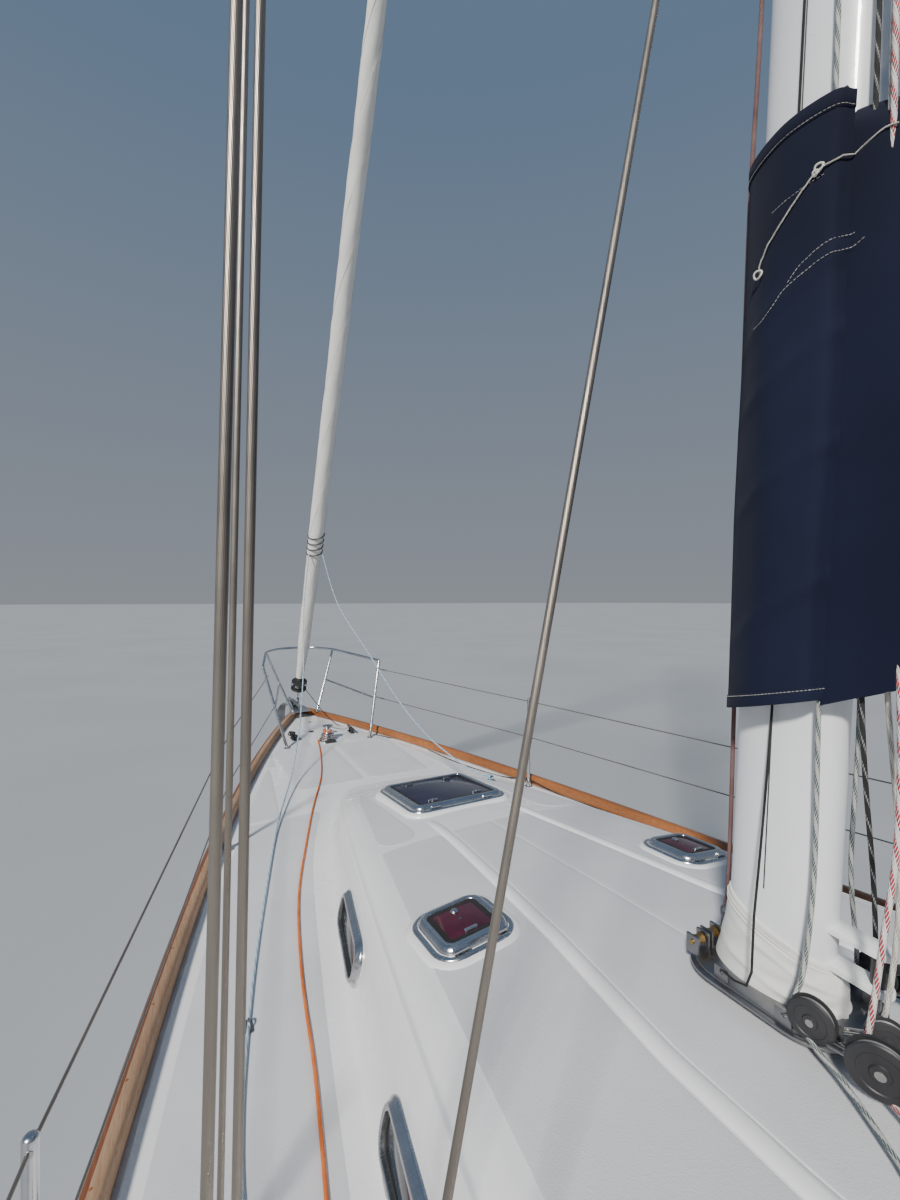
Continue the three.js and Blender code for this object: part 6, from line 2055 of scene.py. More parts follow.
def boom_cover_row(distance, out=0.0):
    half, high = cover_size(distance)
    side = [(half * 0.7, -0.07), (half, 0.09), (half * 0.92, high * 0.45), (half * 0.55, high * 0.85),
            (0, high)]
    line = [(-x, z) for x, z in side] + side[-2::-1]
    path = through(line, [5, 9, 9, 7, 7, 9, 9, 5])
    count = len(path) - 1
    row = []
    for i, (x, z) in enumerate(path):
        a, b = path[max(0, i - 1)], path[min(count, i + 1)]
        n = Vector((-(b[1] - a[1]), b[0] - a[0], 0)).normalized()
        s = i / count
        depth = sin(pi * s)
        swag = 0.007 * sin(distance * 8.5 + 2.2 * sin(3 * s + distance)) * depth
        swag += 0.004 * sin(distance * 19 - 7 * s) * depth + 0.003 * sin(31 * s + 2.1 * distance) * depth
        row.append(by_boom(distance, x + n.x * (swag - 0.005 + out), z + n.y * (swag - 0.005 + out)))
    return row


def draw_boom_cover():
    form = Form()
    rows = [boom_cover_row(distance) for distance in spaced(0.217, 4.695, 150)]
    form.loft(cloth_shell(rows, 0.004))
    cover = made("boom_cover", form, navy_cloth, "boom", "cover_boom", 60)
    seams = []
    line = [boom_cover_row(distance, 0.0012) for distance in spaced(0.23, 4.68, 110)]
    for share in (0.04, 0.5, 0.96):
        seams.append([row[round(share * (len(row) - 1))] for row in line])
    seams += [boom_cover_row(distance, 0.0012) for distance in (0.245, 1.35, 2.5, 3.6, 4.67)]
    thread = grown("boom_cover_stitching", seams, STITCHES, {
        "Spacing": 0.012, "Stitch Length": 0.009, "Thread Radius": 0.0008, "Thread": stitch_thread,
    }, "boom")
    flat, area = cloth_size(rows)
    sail = Form()
    rings = []
    for k, distance in enumerate(spaced(0.25, 4.6, 59)):
        half, high = cover_size(distance)
        ring = []
        for a in angles(36):
            flake = 1 + 0.05 * sin(a * 9 + k * 0.2)
            ring.append(by_boom(distance, cos(a) * half * 0.62 * flake,
                                0.10 + high * 0.36 + sin(a) * (high * 0.36) * flake))
        rings.append(ring)
    sail.loft(rings)
    made("flaked_mainsail", sail, sailcloth, "boom", angle=50)


draw_boom_cover()


def draw_cover_gusset():
    """The canvas between the mast's cover and the boom's."""
    aft = boom_cover_row(0.225, 0.001)
    rows = []
    count = len(aft) - 1
    for t in spaced(0, 1, 12):
        row = []
        for i in range(count + 1):
            s = i / count
            edge = abs(2 * s - 1)
            z = mix(3.885, 2.50, edge ** 2)
            around = mast_cover_row(z, 0.002)
            front = around[0] if s < 0.5 else around[-1]
            front = Vector((front.x * mix(0.25, 1.0, clamp(edge * 5)), front.y + 0.012, z))
            p = front.lerp(aft[i], ease(t) * 0.4 + t * 0.6)
            p.x += 0.006 * sin(7 * t + 9 * s) * sin(pi * t)
            row.append(p)
        rows.append(row)
    form = Form().loft(cloth_shell(rows, 0.003))
    piece = made("cover_gusset", form, navy_cloth, body=None, angle=60)
    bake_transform(piece)
    flat, area = cloth_size(rows)


draw_cover_gusset()


def draw_lanyard():
    """A thin pale cord at the cover's head on the port side: a ring, a knot, a hook, and a braided tail."""
    form = Form()
    form.tube(on_port_side([(0.885, 3.756), (0.908, 3.764), (0.953, 3.753), (0.994, 3.734), (1.011, 3.732)],
                           0.0045), 0.002, 8, round_ends=True)
    form.tube(on_port_side([(1.011, 3.732), (1.038, 3.708), (1.085, 3.66), (1.145, 3.598), (1.152, 3.57)],
                           0.0045), 0.002, 8, round_ends=True)
    for y, z, size in ((1.011, 3.732, 0.009), (1.018, 3.724, 0.006), (1.152, 3.565, 0.010)):
        x = cover_side_x(y, z, 0.006)
        loop = [(x - 0.002 * sin(2 * a), y + size * cos(a), z + size * sin(a)) for a in angles(18)]
        form.tube(loop, 0.0024, 8, closed=True)
    made("cover_lanyard", form, sail_rope, angle=80)
    tail = Form()
    path = [(-0.030, 1.242, 3.56), (-0.034, 1.246, 3.4), (-0.031, 1.254, 3.2), (-0.035, 1.260, 3.05),
            (-0.032, 1.262, 2.97)]
    tail.line(path, 0.02, 0.0035, 8)
    knot = [Vector((-0.032, 1.262, 2.968)) + Vector((0.006 * cos(a), 0.004, 0.006 * sin(a)))
            for a in angles(14)]
    tail.tube(knot, 0.003, 8, closed=True)
    made("cover_tail_line", tail, sail_rope, angle=80)


draw_lanyard()


def draw_mainsheet():
    """Four falls between the traveller's car and the boom."""
    low, high = Vector((0, TRAVELLER_Y, 1.965)), by_boom(2.15, 0, -0.145)
    form = Form()
    for dx, dy in ((-0.02, 0.0), (0.02, 0.0), (-0.012, 0.03), (0.012, -0.03)):
        start, end = low + Vector((dx, dy, 0)), high + Vector((dx * 1.3, dy, 0))
        form.tube([start.lerp(end, t) for t in spaced(0, 1, 16)], 0.005, 10)
    piece = made("mainsheet_falls", form, red_rope, body=None, angle=80)
    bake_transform(piece)
    for name, middle, body in (("upper", high + Vector((0, 0, 0.006)), "boom"),
                               ("lower", low - Vector((0, 0, 0.012)), "yacht")):
        blocks = Form()
        for x in (-0.02, 0.02):
            draw_block(blocks, middle + Vector((x, 0, 0)), 0.034, (1, 0, 0))
        made(f"mainsheet_{name}_blocks", blocks, BLOCK_PARTS, body, angle=35)


draw_mainsheet()


# At the bow

def draw_windlass():
    y = WINDLASS_Y
    z = deck_z(0, y)
    form = Form()
    form.lathe([(0, -0.01), (0.086, -0.01), (0.087, 0.006), (0.083, 0.013), (0.080, 0.022), (0.062, 0.027),
                (0.060, 0.036), (0.062, 0.039), (0.066, 0.042), (0.055, 0.048), (0.053, 0.054),
                (0.066, 0.060), (0.062, 0.066), (0.043, 0.072), (0.037, 0.080), (0.035, 0.105),
                (0.039, 0.122), (0.050, 0.132), (0.054, 0.139), (0.052, 0.146), (0.040, 0.149),
                (0.018, 0.150), (0.014, 0.146), (0, 0.146)], (0, y, z), steps=48)
    for a in angles(10):
        form.block((0.052, -0.005, 0.042), (0.066, 0.005, 0.062), 0.002, turn=Matrix.Rotation(a, 3, "Z"),
                   place=(0, y, z))
    form.mark = 1
    form.lathe([(0, 0.1455), (0.012, 0.1455), (0.012, 0.1485), (0, 0.149)], (0, y, z), steps=16)
    form.block((-0.05, -0.13, 0.0), (0.05, -0.07, 0.03), 0.012, place=(0, y, z - 0.006))
    made("windlass_body", form, [steel, black], replaces="windlass", angle=35)
    coil = Form()
    path = []
    for k in range(32 + 14):
        a = 2 * pi * k / 32 + 1.2
        path.append(Vector((0.043 * cos(a), y + 0.043 * sin(a), z + 0.082 + 0.0125 * k / 32)))
    coil.tube(path, LINE_RADIUS, 12, round_ends=True)
    drop = [path[0], Vector((-0.02, 5.552, z + 0.055)), Vector((-0.06, 5.58, z + 0.02)),
            Vector((-0.096, 5.6, z + 0.0066))]
    coil.line(drop, 0.02, LINE_RADIUS)
    made("windlass_turns", coil, orange_rope, angle=80)
    tail = [(0.036, y + 0.02, z + 0.118), (0.12, 5.68, z + 0.085), (0.22, 5.74, z + 0.052),
            (0.30, 5.78, z + 0.062), (0.315, 5.80, z + 0.03), (0.295, 5.84, z + 0.036),
            (0.285, 5.77, z + 0.062)]
    rope("windlass_tail_line", tail, 0.02, 0.0035, tan_cord, 8)


draw_windlass()


def draw_bow_cleat(name, sign, side):
    x, y = BOW_CLEAT
    z = deck_z(x, y)
    form = Form()
    form.plate(rounded(0.044, 0.15, 0.02), z - 0.01, z + 0.009, 0.003, moved(sign * x, y, 0))
    for dy in (-0.038, 0.038):
        form.tube([(sign * x, y + dy, z + 0.004), (sign * x, y + dy * 0.86, z + 0.046)], [0.014, 0.011], 16)
    horn = [(-0.117, 0.006), (-0.1, 0.009), (-0.06, 0.0115), (0, 0.0125), (0.06, 0.0115), (0.1, 0.009),
            (0.117, 0.006)]
    form.tube([(sign * x, y + dy, z + 0.049 + 0.06 * abs(dy) ** 1.6) for dy, _ in horn],
              [r for _, r in horn], 16, round_ends=True)
    made(name, form, black, replaces=f"bow_cleat_{side}", angle=40)


both_sides(draw_bow_cleat, "cleat")


def draw_bow_gear():
    lines = Form()
    x, y = -BOW_CLEAT[0], BOW_CLEAT[1]
    z = deck_z(x, y)
    for k in range(4):
        loop = []
        for a in angles(28):
            loop.append(Vector((x + (0.03 + 0.006 * k) * sin(2 * a) * 0.6 + 0.004 * cos(3 * a + k),
                                y + (0.085 + 0.005 * k) * cos(a),
                                z + 0.030 + 0.008 * k + 0.004 * sin(a * 2 + k))))
        lines.tube(loop, 0.0055, 8, closed=True)
    tail = [(-0.3, 5.87, z + 0.03), (-0.315, 5.93, z + 0.008), (-0.30, 6.02, z + 0.007),
            (-0.26, 6.08, z + 0.007), (-0.24, 6.02, z + 0.007)]
    lines.line(tail, 0.02, 0.0055, 8)
    made("bow_line_coil", lines, thin_black, angle=80)
    bits = Form()
    mz = deck_z(0.15, 5.86)
    bits.lathe([(0, -0.004), (0.03, -0.004), (0.032, 0.004), (0.022, 0.008), (0.018, 0.03), (0.030, 0.036),
                (0.036, 0.043), (0.030, 0.052), (0.014, 0.057), (0, 0.058)], (0.10, 5.83, mz), steps=28)
    made("deck_vent", bits, gelcoat, angle=40)
    stem = Form()
    sz = rail_top(STEM_Y - 0.09) + 0.0003
    outline = [(-0.117, 6.545), (0.061, 6.545), (0.061, 6.86), (0.04, 6.95), (0.0, 6.985), (-0.06, 6.985),
               (-0.117, 6.93)]
    stem.plate(outline, sz, sz + 0.008, 0.002)
    for px in (-0.112, -0.044):
        stem.cheek(px, 0.0038, [(6.7, 0.004), (6.71, 0.04), (6.78, 0.066), (6.9, 0.078), (7.02, 0.08),
                                (7.075, 0.06), (7.088, 0.03), (7.08, 0.004)], sz)
    tang = [(6.906, 0.0), (6.906, 0.09), (6.925, 0.125), (6.955, 0.135), (6.978, 0.115), (6.981, 0.0)]
    stem.cheek(0, 0.0078, [(y, z * (STAY_FOOT[1] - 0.012 - sz) / 0.135) for y, z in tang], sz)
    stem.pin(0, 6.944, STAY_FOOT[1] - 0.024, 0.016, 0.0062, 14)
    stem.pin(ANCHOR_X, 7.02, sz + 0.066, 0.04, 0.005, 12)
    stem.mark = 1
    stem.lathe([(0, -0.031), (0.0238, -0.031), (0.0238, -0.02), (0.014, -0.006), (0.014, 0.006),
                (0.0238, 0.02), (0.0238, 0.031), (0, 0.031)], (ANCHOR_X, 7.045, sz + 0.026), (1, 0, 0), 28)
    made("stem_fitting", stem, [steel, rubber], replaces="stemhead", angle=40)


draw_bow_gear()


def draw_anchor():
    z = rail_top(STEM_Y - 0.09) + 0.0486
    x = ANCHOR_X
    form = Form()
    shank = [(6.56, 0.009, 0.009, 0.041), (6.75, 0.0095, 0.007, 0.044), (6.95, 0.0105, 0.004, 0.050),
             (7.06, 0.0108, 0.003, 0.051)]
    rings = []
    for y, half, low, high in shank:
        mid, tall = (low + high) / 2, (high - low) / 2
        rings.append([(x + half * cos(a) * (1 if abs(cos(a)) > 0.5 else 0.9), y, z + mid + tall * sin(a))
                      for a in angles(12, 0.5)])
    mid_y, mid_z = 7.175, z - 0.04
    for t in (0.33, 0.66, 1.0):
        y = mix(7.06, mid_y, t)
        drop = mix(z + 0.027, mid_z, t ** 1.4)
        rings.append([(x + cos(a) * 0.0108, y + sin(a) * 0.024 * sin(t), drop + sin(a) * 0.024 * cos(t))
                      for a in angles(12, 0.5)])
    form.loft(rings)
    form.pin(x, 7.165, z - 0.06, 0.07, 0.0165, 16)
    for side in (-1, 1):
        rows = [
            [(0.020, 7.186, -0.06), (0.088, 7.176, -0.06), (0.088, 7.154, -0.06), (0.020, 7.160, -0.06)],
            [(0.026, 7.199, -0.12), (0.125, 7.172, -0.115), (0.125, 7.152, -0.115), (0.026, 7.178, -0.12)],
            [(0.030, 7.199, -0.19), (0.149, 7.160, -0.17), (0.149, 7.143, -0.17), (0.030, 7.181, -0.19)],
            [(0.031, 7.170, -0.26), (0.140, 7.136, -0.238), (0.140, 7.122, -0.238), (0.031, 7.154, -0.26)],
            [(0.031, 7.119, -0.33), (0.098, 7.098, -0.30), (0.098, 7.088, -0.30), (0.031, 7.107, -0.33)],
        ]
        form.loft([[(x + side * px, py, z + pz) for px, py, pz in row] for row in rows])
    form.tube([(x, 6.572, z + 0.012), (x, 6.572, z + 0.038)], 0.004, 10)
    made("claw_anchor", form, dull_steel, replaces="anchor", angle=35)


draw_anchor()


def draw_anchor_lid():
    form = Form()
    rings = []
    for y in spaced(5.9755, 6.3935, 8):
        ring = [(x, y, deck_z(x, y) + 0.0002) for x in spaced(0.1335, -0.1335, 8)]
        ring += [(x, y, deck_z(x, y) - 0.029) for x in (-0.1335, 0.1335)]
        rings.append(ring)
    form.loft(rings)
    made("anchor_lid", form, gelcoat, "anchor_locker_lid", "anchor_locker_lid", 40)
    pad = Form()
    panel(pad, 5.99, 6.37, lambda y: -0.105, lambda y: 0.105, deck_z, 0.03)
    pad.mark = 1
    pad.lathe([(0, 0), (0.022, 0), (0.022, 0.003), (0.018, 0.004), (0, 0.0035)],
              (0.0, 6.345, deck_z(0, 6.34) + 0.001))
    made("anchor_lid_pad", pad, [non_skid, steel], "anchor_locker_lid", angle=40)
    hinges, leaves = Form(), Form()
    for x in (-0.075, 0.075):
        z = deck_z(x, 5.95)
        hinges.block((-0.022, -0.028, 0), (0.022, -0.003, 0.004), 0.0015, place=(x, 5.957, z))
        hinges.pin(x, 5.9665, z + 0.0035, 0.02, 0.0042, 10)
        leaves.block((-0.022, 0.012, 0), (0.022, 0.034, 0.004), 0.0015, place=(x, 5.957, deck_z(x, 5.98)))
    made("anchor_lid_hinges", hinges, dark_steel, angle=40)
    made("anchor_lid_hinge_leaves", leaves, dark_steel, "anchor_locker_lid", angle=40)


draw_anchor_lid()


CAR_Y = -0.6


def track_x(y):
    """How far out the headsail's tracks lie on the side decks."""
    return sheer_half(y) - 0.42


def draw_deck_hardware():
    """Padeyes, and the headsail's tracks with their screws and cars."""
    form = Form()
    for x, y in ((-1.18, 2.35), (-1.128, 1.43), (1.05, 3.1), (0.46, 3.28)):
        z = max(deck_z(x, y), roof_surface(x, y) if abs(x) < 0.6 else 0)
        form.plate(rounded(0.03, 0.07, 0.012), z - 0.003, z + 0.004, 0.0015, moved(x, y, 0))
        arch = [(x, y + 0.02 * cos(a), z + 0.003 + 0.024 * sin(a)) for a in spaced(0, pi, 12)]
        form.tube(arch, 0.0036, 10)
    made("deck_padeyes", form, dark_steel, angle=40)
    section = [(-0.015, -0.002), (0.015, -0.002), (0.015, 0.012), (0.009, 0.016), (-0.009, 0.016),
               (-0.015, 0.012)]
    tracks, cars, lines = Form(), Form(), []
    for sign in (-1, 1):
        tracks.loft([[(sign * (track_x(y) + dx), y, deck_z(track_x(y), y) + dz) for dx, dz in section]
                     for y in spaced(-2.1, 0.35, 10)])
        x, z = sign * track_x(CAR_Y), deck_z(track_x(CAR_Y), CAR_Y)
        tracks.block((-0.02, -0.06, 0.012), (0.02, 0.06, 0.032), 0.006, place=(x, CAR_Y, z))
        draw_block(cars, (x, CAR_Y, z + 0.07), 0.036, (1, 0, 0))
        lines.append([(sign * track_x(y), y, deck_z(track_x(y), y) + 0.0168)
                      for y in spaced(-2.06, 0.31, 20)])
    made("genoa_tracks", tracks, alloy, angle=35)
    grown("genoa_track_screws", lines, SCREWS, {
        "Spacing": 0.10, "Head Radius": 0.0042, "Head Height": 0.0018, "Metal": dull_steel,
    })
    made("genoa_cars", cars, BLOCK_PARTS, angle=35)


draw_deck_hardware()


def draw_sheets():
    """The headsail's two sheets, made fast at the sail and led aft."""
    clew = stay_at(3.3)
    port = [(-0.07, clew.y - 0.05, 3.26), (-0.16, 5.92, 2.72), (-0.30, 5.35, 2.06), (-0.42, 4.98, 1.63),
            (-0.55, 4.62, 1.40), (-0.78, 3.95, 1.30), (-0.98, 3.2, 1.262), (-1.16, 2.45, 1.235),
            (-1.26, 1.9, 1.215), (-1.31, 1.2, 1.197)]
    port = [(x, y, max(z, deck_z(x, y) + 0.007)) for x, y, z in port]
    more = []
    for y in (0.5, -0.1, -0.5):
        x = -track_x(CAR_Y) + (0.02 if y > 0 else 0.0)
        more.append((x + (y + 0.6) * 0.12, y, deck_z(x, y) + (0.008 if y > -0.3 else 0.06)))
    rope("headsail_sheet_port", port + more, 0.08, 0.0055, blue_rope, 10)
    star = [(0.07, clew.y - 0.05, 3.26), (0.18, 5.9, 2.74), (0.30, 5.2, 2.22), (0.36, 4.6, 1.86),
            (0.39, 4.1, 1.67), (0.41, 3.75, 1.60), (0.43, 3.5, 1.567), (0.46, 3.3, 1.568)]
    hitch = Form()
    end = Vector(star[-1])
    for turn in range(3):
        loop = [Vector((0.013 * cos(a), 0.012 - 0.011 * turn + 0.003 * sin(a), 0.004 + 0.012 * sin(a)))
                for a in angles(18)]
        hitch.tube([end + p for p in loop], 0.005, 10, closed=True)
    made("headsail_sheet_hitch", hitch, blue_rope, angle=80)
    rope("headsail_sheet_starboard", star, 0.08, 0.0055, blue_rope, 10)


draw_sheets()


def draw_furling_lead():
    """The furler's thin line, led aft along the starboard rail's foot to a cleat by the cockpit."""
    ahead = [(0.253, 6.091), (0.546, 5.5), (0.724, 5.161), (0.879, 4.37), (1.044, 3.975)]
    points = [Vector((0.035, 6.865, 1.70))] + [Vector((x, y, deck_z(x, y) + 0.0055)) for x, y in ahead]
    leads = Form()
    inset, ahead_of, lift = 0.115, 0.03, 0.05
    for y in spaced(3.74, -3.1, 26):
        x = sheer_half(y) - inset
        points.append(Vector((x, y + ahead_of, deck_z(x, y) + lift)))
        inset, ahead_of, lift = 0.088, 0, 0.0085
    for y in STANCHION_Y:
        x = sheer_half(y) - 0.088
        z = deck_z(x, y) + (0.05 if y > 3 else 0.0085)
        x -= 0.027 if y > 3 else 0
        eye = [(x + 0.0085 * cos(a), y + 0.03, z + 0.0085 * sin(a)) for a in angles(18)]
        leads.tube(eye, 0.0032, 8, closed=True)
    end = points[-1] + Vector((-0.03, -0.12, 0.012))
    leads.block((-0.012, -0.04, -0.02), (0.012, 0.04, 0.006), 0.004, place=end)
    leads.tube([end + Vector((0, dy, 0.016 + 0.9 * abs(dy) ** 1.7))
                for dy in (-0.055, -0.03, 0, 0.03, 0.055)], [0.004, 0.0055, 0.007, 0.0055, 0.004], 12,
               round_ends=True)
    made("furling_line_leads", leads, black, angle=45)
    belayed = [(0.01, 0.06, 0.004), (0.012, 0.0, 0.012), (-0.002, -0.035, 0.014), (-0.012, 0.0, 0.026),
               (0.002, 0.035, 0.026), (0.010, 0.0, 0.032), (0.0, -0.035, 0.022), (-0.012, -0.01, 0.008),
               (-0.02, -0.09, -0.004)]
    rope("furling_line_aft", points + [end + Vector(p) for p in belayed], 0.05, 0.004, thin_black, 8)


draw_furling_lead()


# The companionway: its hood, slide and washboards

def draw_sea_hood():
    """The moulding that the slide runs under, open at its aft end, with a hand rail along each side."""
    outline = rounded(0.77, 0.78, 0.07)
    hood = loose("sea_hood_moulding", Form().plate(outline, 1.66, 1.804, 0.03, moved(0, TRAVELLER_Y, 0)),
                 gelcoat)
    hollow = box_tool((-0.362, -1.7, 1.62), (0.362, -0.885, 1.792), gelcoat, 0.012)
    finished("sea_hood_moulding", carved(hood, [hollow]), [], replaces="sea_hood", angle=40)
    rails = Form()
    for sign in (-1, 1):
        path = [(sign * 0.62, -2.1, 1.67), (sign * 0.62, -2.05, 1.735), (sign * 0.62, -1.5, 1.742),
                (sign * 0.62, -1.42, 1.676)]
        rails.tube(bent(path, 0.04), 0.011, 12)
        for y in (-2.1, -1.42):
            rails.lathe([(0, -0.01), (0.026, -0.01), (0.026, 0.003), (0.016, 0.008), (0, 0.008)],
                        (sign * 0.62, y, roof_z(0.62, y)), steps=20)
    made("roof_hand_rails", rails, steel, angle=45)


def draw_companionway():
    z = ROOF_Z + 0.0283
    slide = Form()
    slide.plate(rounded(0.65, 0.685, 0.02), z, z + 0.022, 0.005, moved(0, -1.9875, 0))
    slide.block((-0.325, -2.33, z), (0.325, -2.312, z + 0.04), 0.005)
    slide.mark = 1
    slide.plate(rounded(0.46, 0.34, 0.04), z + 0.021, z + 0.0235, 0.001, moved(0, -1.98, 0))
    slide.mark = 2
    slide.tube(bent([(-0.06, -2.28, z + 0.018), (-0.06, -2.28, z + 0.04), (0.06, -2.28, z + 0.04),
                     (0.06, -2.28, z + 0.018)], 0.014), 0.006, 10)
    made("slide_panel", slide, [gelcoat, violet_glass, steel], "companionway_slide", "companionway_slide",
         40)
    boards = Form()
    edges = [SILL_Z + 0.0003, 1.178, 1.46, ROOF_Z + 0.018]
    for low, high in zip(edges, edges[1:]):
        boards.block((-0.2797, BULKHEAD_Y + 0.008, low), (0.2797, BULKHEAD_Y + 0.033, high - 0.0005), 0.003)
    boards.mark = 1
    for k in range(5):
        boards.block((-0.09, BULKHEAD_Y + 0.0055, 1.56 + 0.026 * k),
                     (0.09, BULKHEAD_Y + 0.0085, 1.573 + 0.026 * k), 0.001)
    boards.mark = 2
    for low in edges[:-1]:
        boards.lathe([(0, 0), (0.02, 0), (0.019, 0.003), (0, 0.004)], (0, BULKHEAD_Y + 0.0085, low + 0.05),
                     (0, -1, 0), 20)
    for sign in (-1, 1):
        boards.mark = 0
        boards.block((-0.017, -0.016, SILL_Z), (0.017, 0.0, ROOF_Z + 0.018), 0.004,
                     place=(sign * (DOOR_HALF + 0.0175), BULKHEAD_Y - 0.0005, 0))
    made("washboard_set", boards, [teak_red, black, steel], replaces="washboards", angle=40)


draw_sea_hood()
draw_companionway()


# Cockpit

def coaming_top(y):
    return COAMING_Z + 0.02 * (y - WELL_AFT_Y)


def draw_coaming():
    form = Form()
    for sign in (-1, 1):
        rings = []
        for y in spaced(BULKHEAD_Y - 0.0003, WELL_AFT_Y - 0.14, 12):
            top = coaming_top(y)
            section = [(1.0, 1.0), (1.237, 1.0), (1.219, top - 0.034), (1.210, top - 0.014),
                       (1.194, top - 0.003), (1.172, top), (1.034, top), (1.014, top - 0.004),
                       (1.003, top - 0.015), (1.0, top - 0.03)]
            rings.append([(sign * x, y, z) for x, z in section])
        form.loft(rings)
        form.lathe([(0, 1.2), (0.098, 1.2), (0.098, 1.376), (0.095, 1.388), (0.086, 1.395), (0, 1.396)],
                   (sign * (SEAT_OUTER + COAMING_WIDTH / 2), WINCH_Y, 0), steps=48)
    form.block((-1.21, WELL_AFT_Y - 0.14, 1.0), (1.21, WELL_AFT_Y, COAMING_Z - 0.02), 0.014, segments=3)
    made("coaming_moulding", form, gelcoat, replaces="cockpit_coaming", angle=35)
    caps = Form()
    section = [(1.045, -0.004), (1.045, 0.006), (1.05, 0.01), (1.16, 0.01), (1.165, 0.006), (1.165, -0.004)]
    for sign in (-1, 1):
        for y0, y1 in ((-3.76, -2.36), (-5.6, -4.04)):
            caps.loft([[(sign * x, y, coaming_top(y) + z) for x, z in section] for y in spaced(y1, y0, 8)])
    made("coaming_caps", caps, teak_red, angle=35)


def draw_teak_seats():
    """Laid teak on the seats and the sole."""
    form = Form()
    for sign in (-1, 1):
        for y0, y1 in ((-5.63, -3.642), (-2.558, -2.315)):
            width, length = SEAT_OUTER - SEAT_INNER - 0.03, y1 - y0
            place = moved(sign * (SEAT_OUTER + SEAT_INNER) / 2, (y0 + y1) / 2, SEAT_Z)
            form.plate(rounded(width, length, 0.03), -0.004, 0.020, 0.003, place)
    form.plate(rounded(2 * SEAT_INNER - 0.05, 3.27, 0.04), COCKPIT_SOLE_Z - 0.004, COCKPIT_SOLE_Z + 0.010,
               0.003, moved(0, -3.975, 0))
    made("cockpit_teak", form, laid_teak, angle=35)


def draw_seat_lid(name, sign, side):
    lid = Form()
    x, y = LOCKER_LID
    z = SEAT_Z + 0.0003
    lid.plate(rounded(0.484, 1.044, 0.025), z, z + 0.022, 0.003, moved(sign * x, y, 0))
    made(name, lid, laid_teak, f"seat_lid_{side}", f"seat_locker_lid_{side}", 40)
    metal = Form()
    for dy in (-0.35, 0.35):
        metal.block((-0.055, -0.022, 0.021), (-0.004, 0.022, 0.0245), 0.001,
                    place=(sign * 0.965, y + dy, z), turn=Matrix.Rotation(0 if sign > 0 else pi, 3, "Z"))
    metal.lathe([(0, 0.0215), (0.024, 0.0215), (0.024, 0.0235), (0.017, 0.0235), (0.015, 0.0222),
                 (0, 0.0222)], (sign * 0.52, y, z), steps=24)
    made(f"{name}_metal", metal, steel, f"seat_lid_{side}", angle=40)


def draw_winch(name, sign, side):
    """A two-speed winch: ribbed drum, line guide and the socket for its handle."""
    form = Form()
    place = (sign * (SEAT_OUTER + COAMING_WIDTH / 2), WINCH_Y, 1.3963)
    form.lathe([(0, 0), (0.078, 0), (0.078, 0.018), (0.073, 0.024), (0.058, 0.030), (0.0525, 0.044),
                (0.049, 0.07), (0.048, 0.11), (0.052, 0.128), (0.060, 0.139), (0.066, 0.143),
                (0.066, 0.150), (0.054, 0.154), (0.054, 0.158), (0.066, 0.162), (0.066, 0.171),
                (0.058, 0.177), (0.030, 0.180), (0.0155, 0.180), (0.0155, 0.150), (0, 0.150)], place,
               steps=48)
    rib = [(0.0525, 0.044), (0.0492, 0.07), (0.0482, 0.11), (0.0515, 0.126)]
    for a in angles(18):
        form.tube([(place[0] + r * cos(a), place[1] + r * sin(a), place[2] + h) for r, h in rib], 0.0022, 6)
    form.mark = 1
    for a in angles(8):
        form.block((-0.0155, -0.003, 0.1795), (-0.011, 0.003, 0.1803), 0, Matrix.Rotation(a, 3, "Z"), place)
    made(name, form, [steel, black], f"winch_{side}", f"winch_drum_{side}", 35)


draw_coaming()
draw_teak_seats()
both_sides(draw_seat_lid, "seat_lid")
both_sides(draw_winch, "sheet_winch")


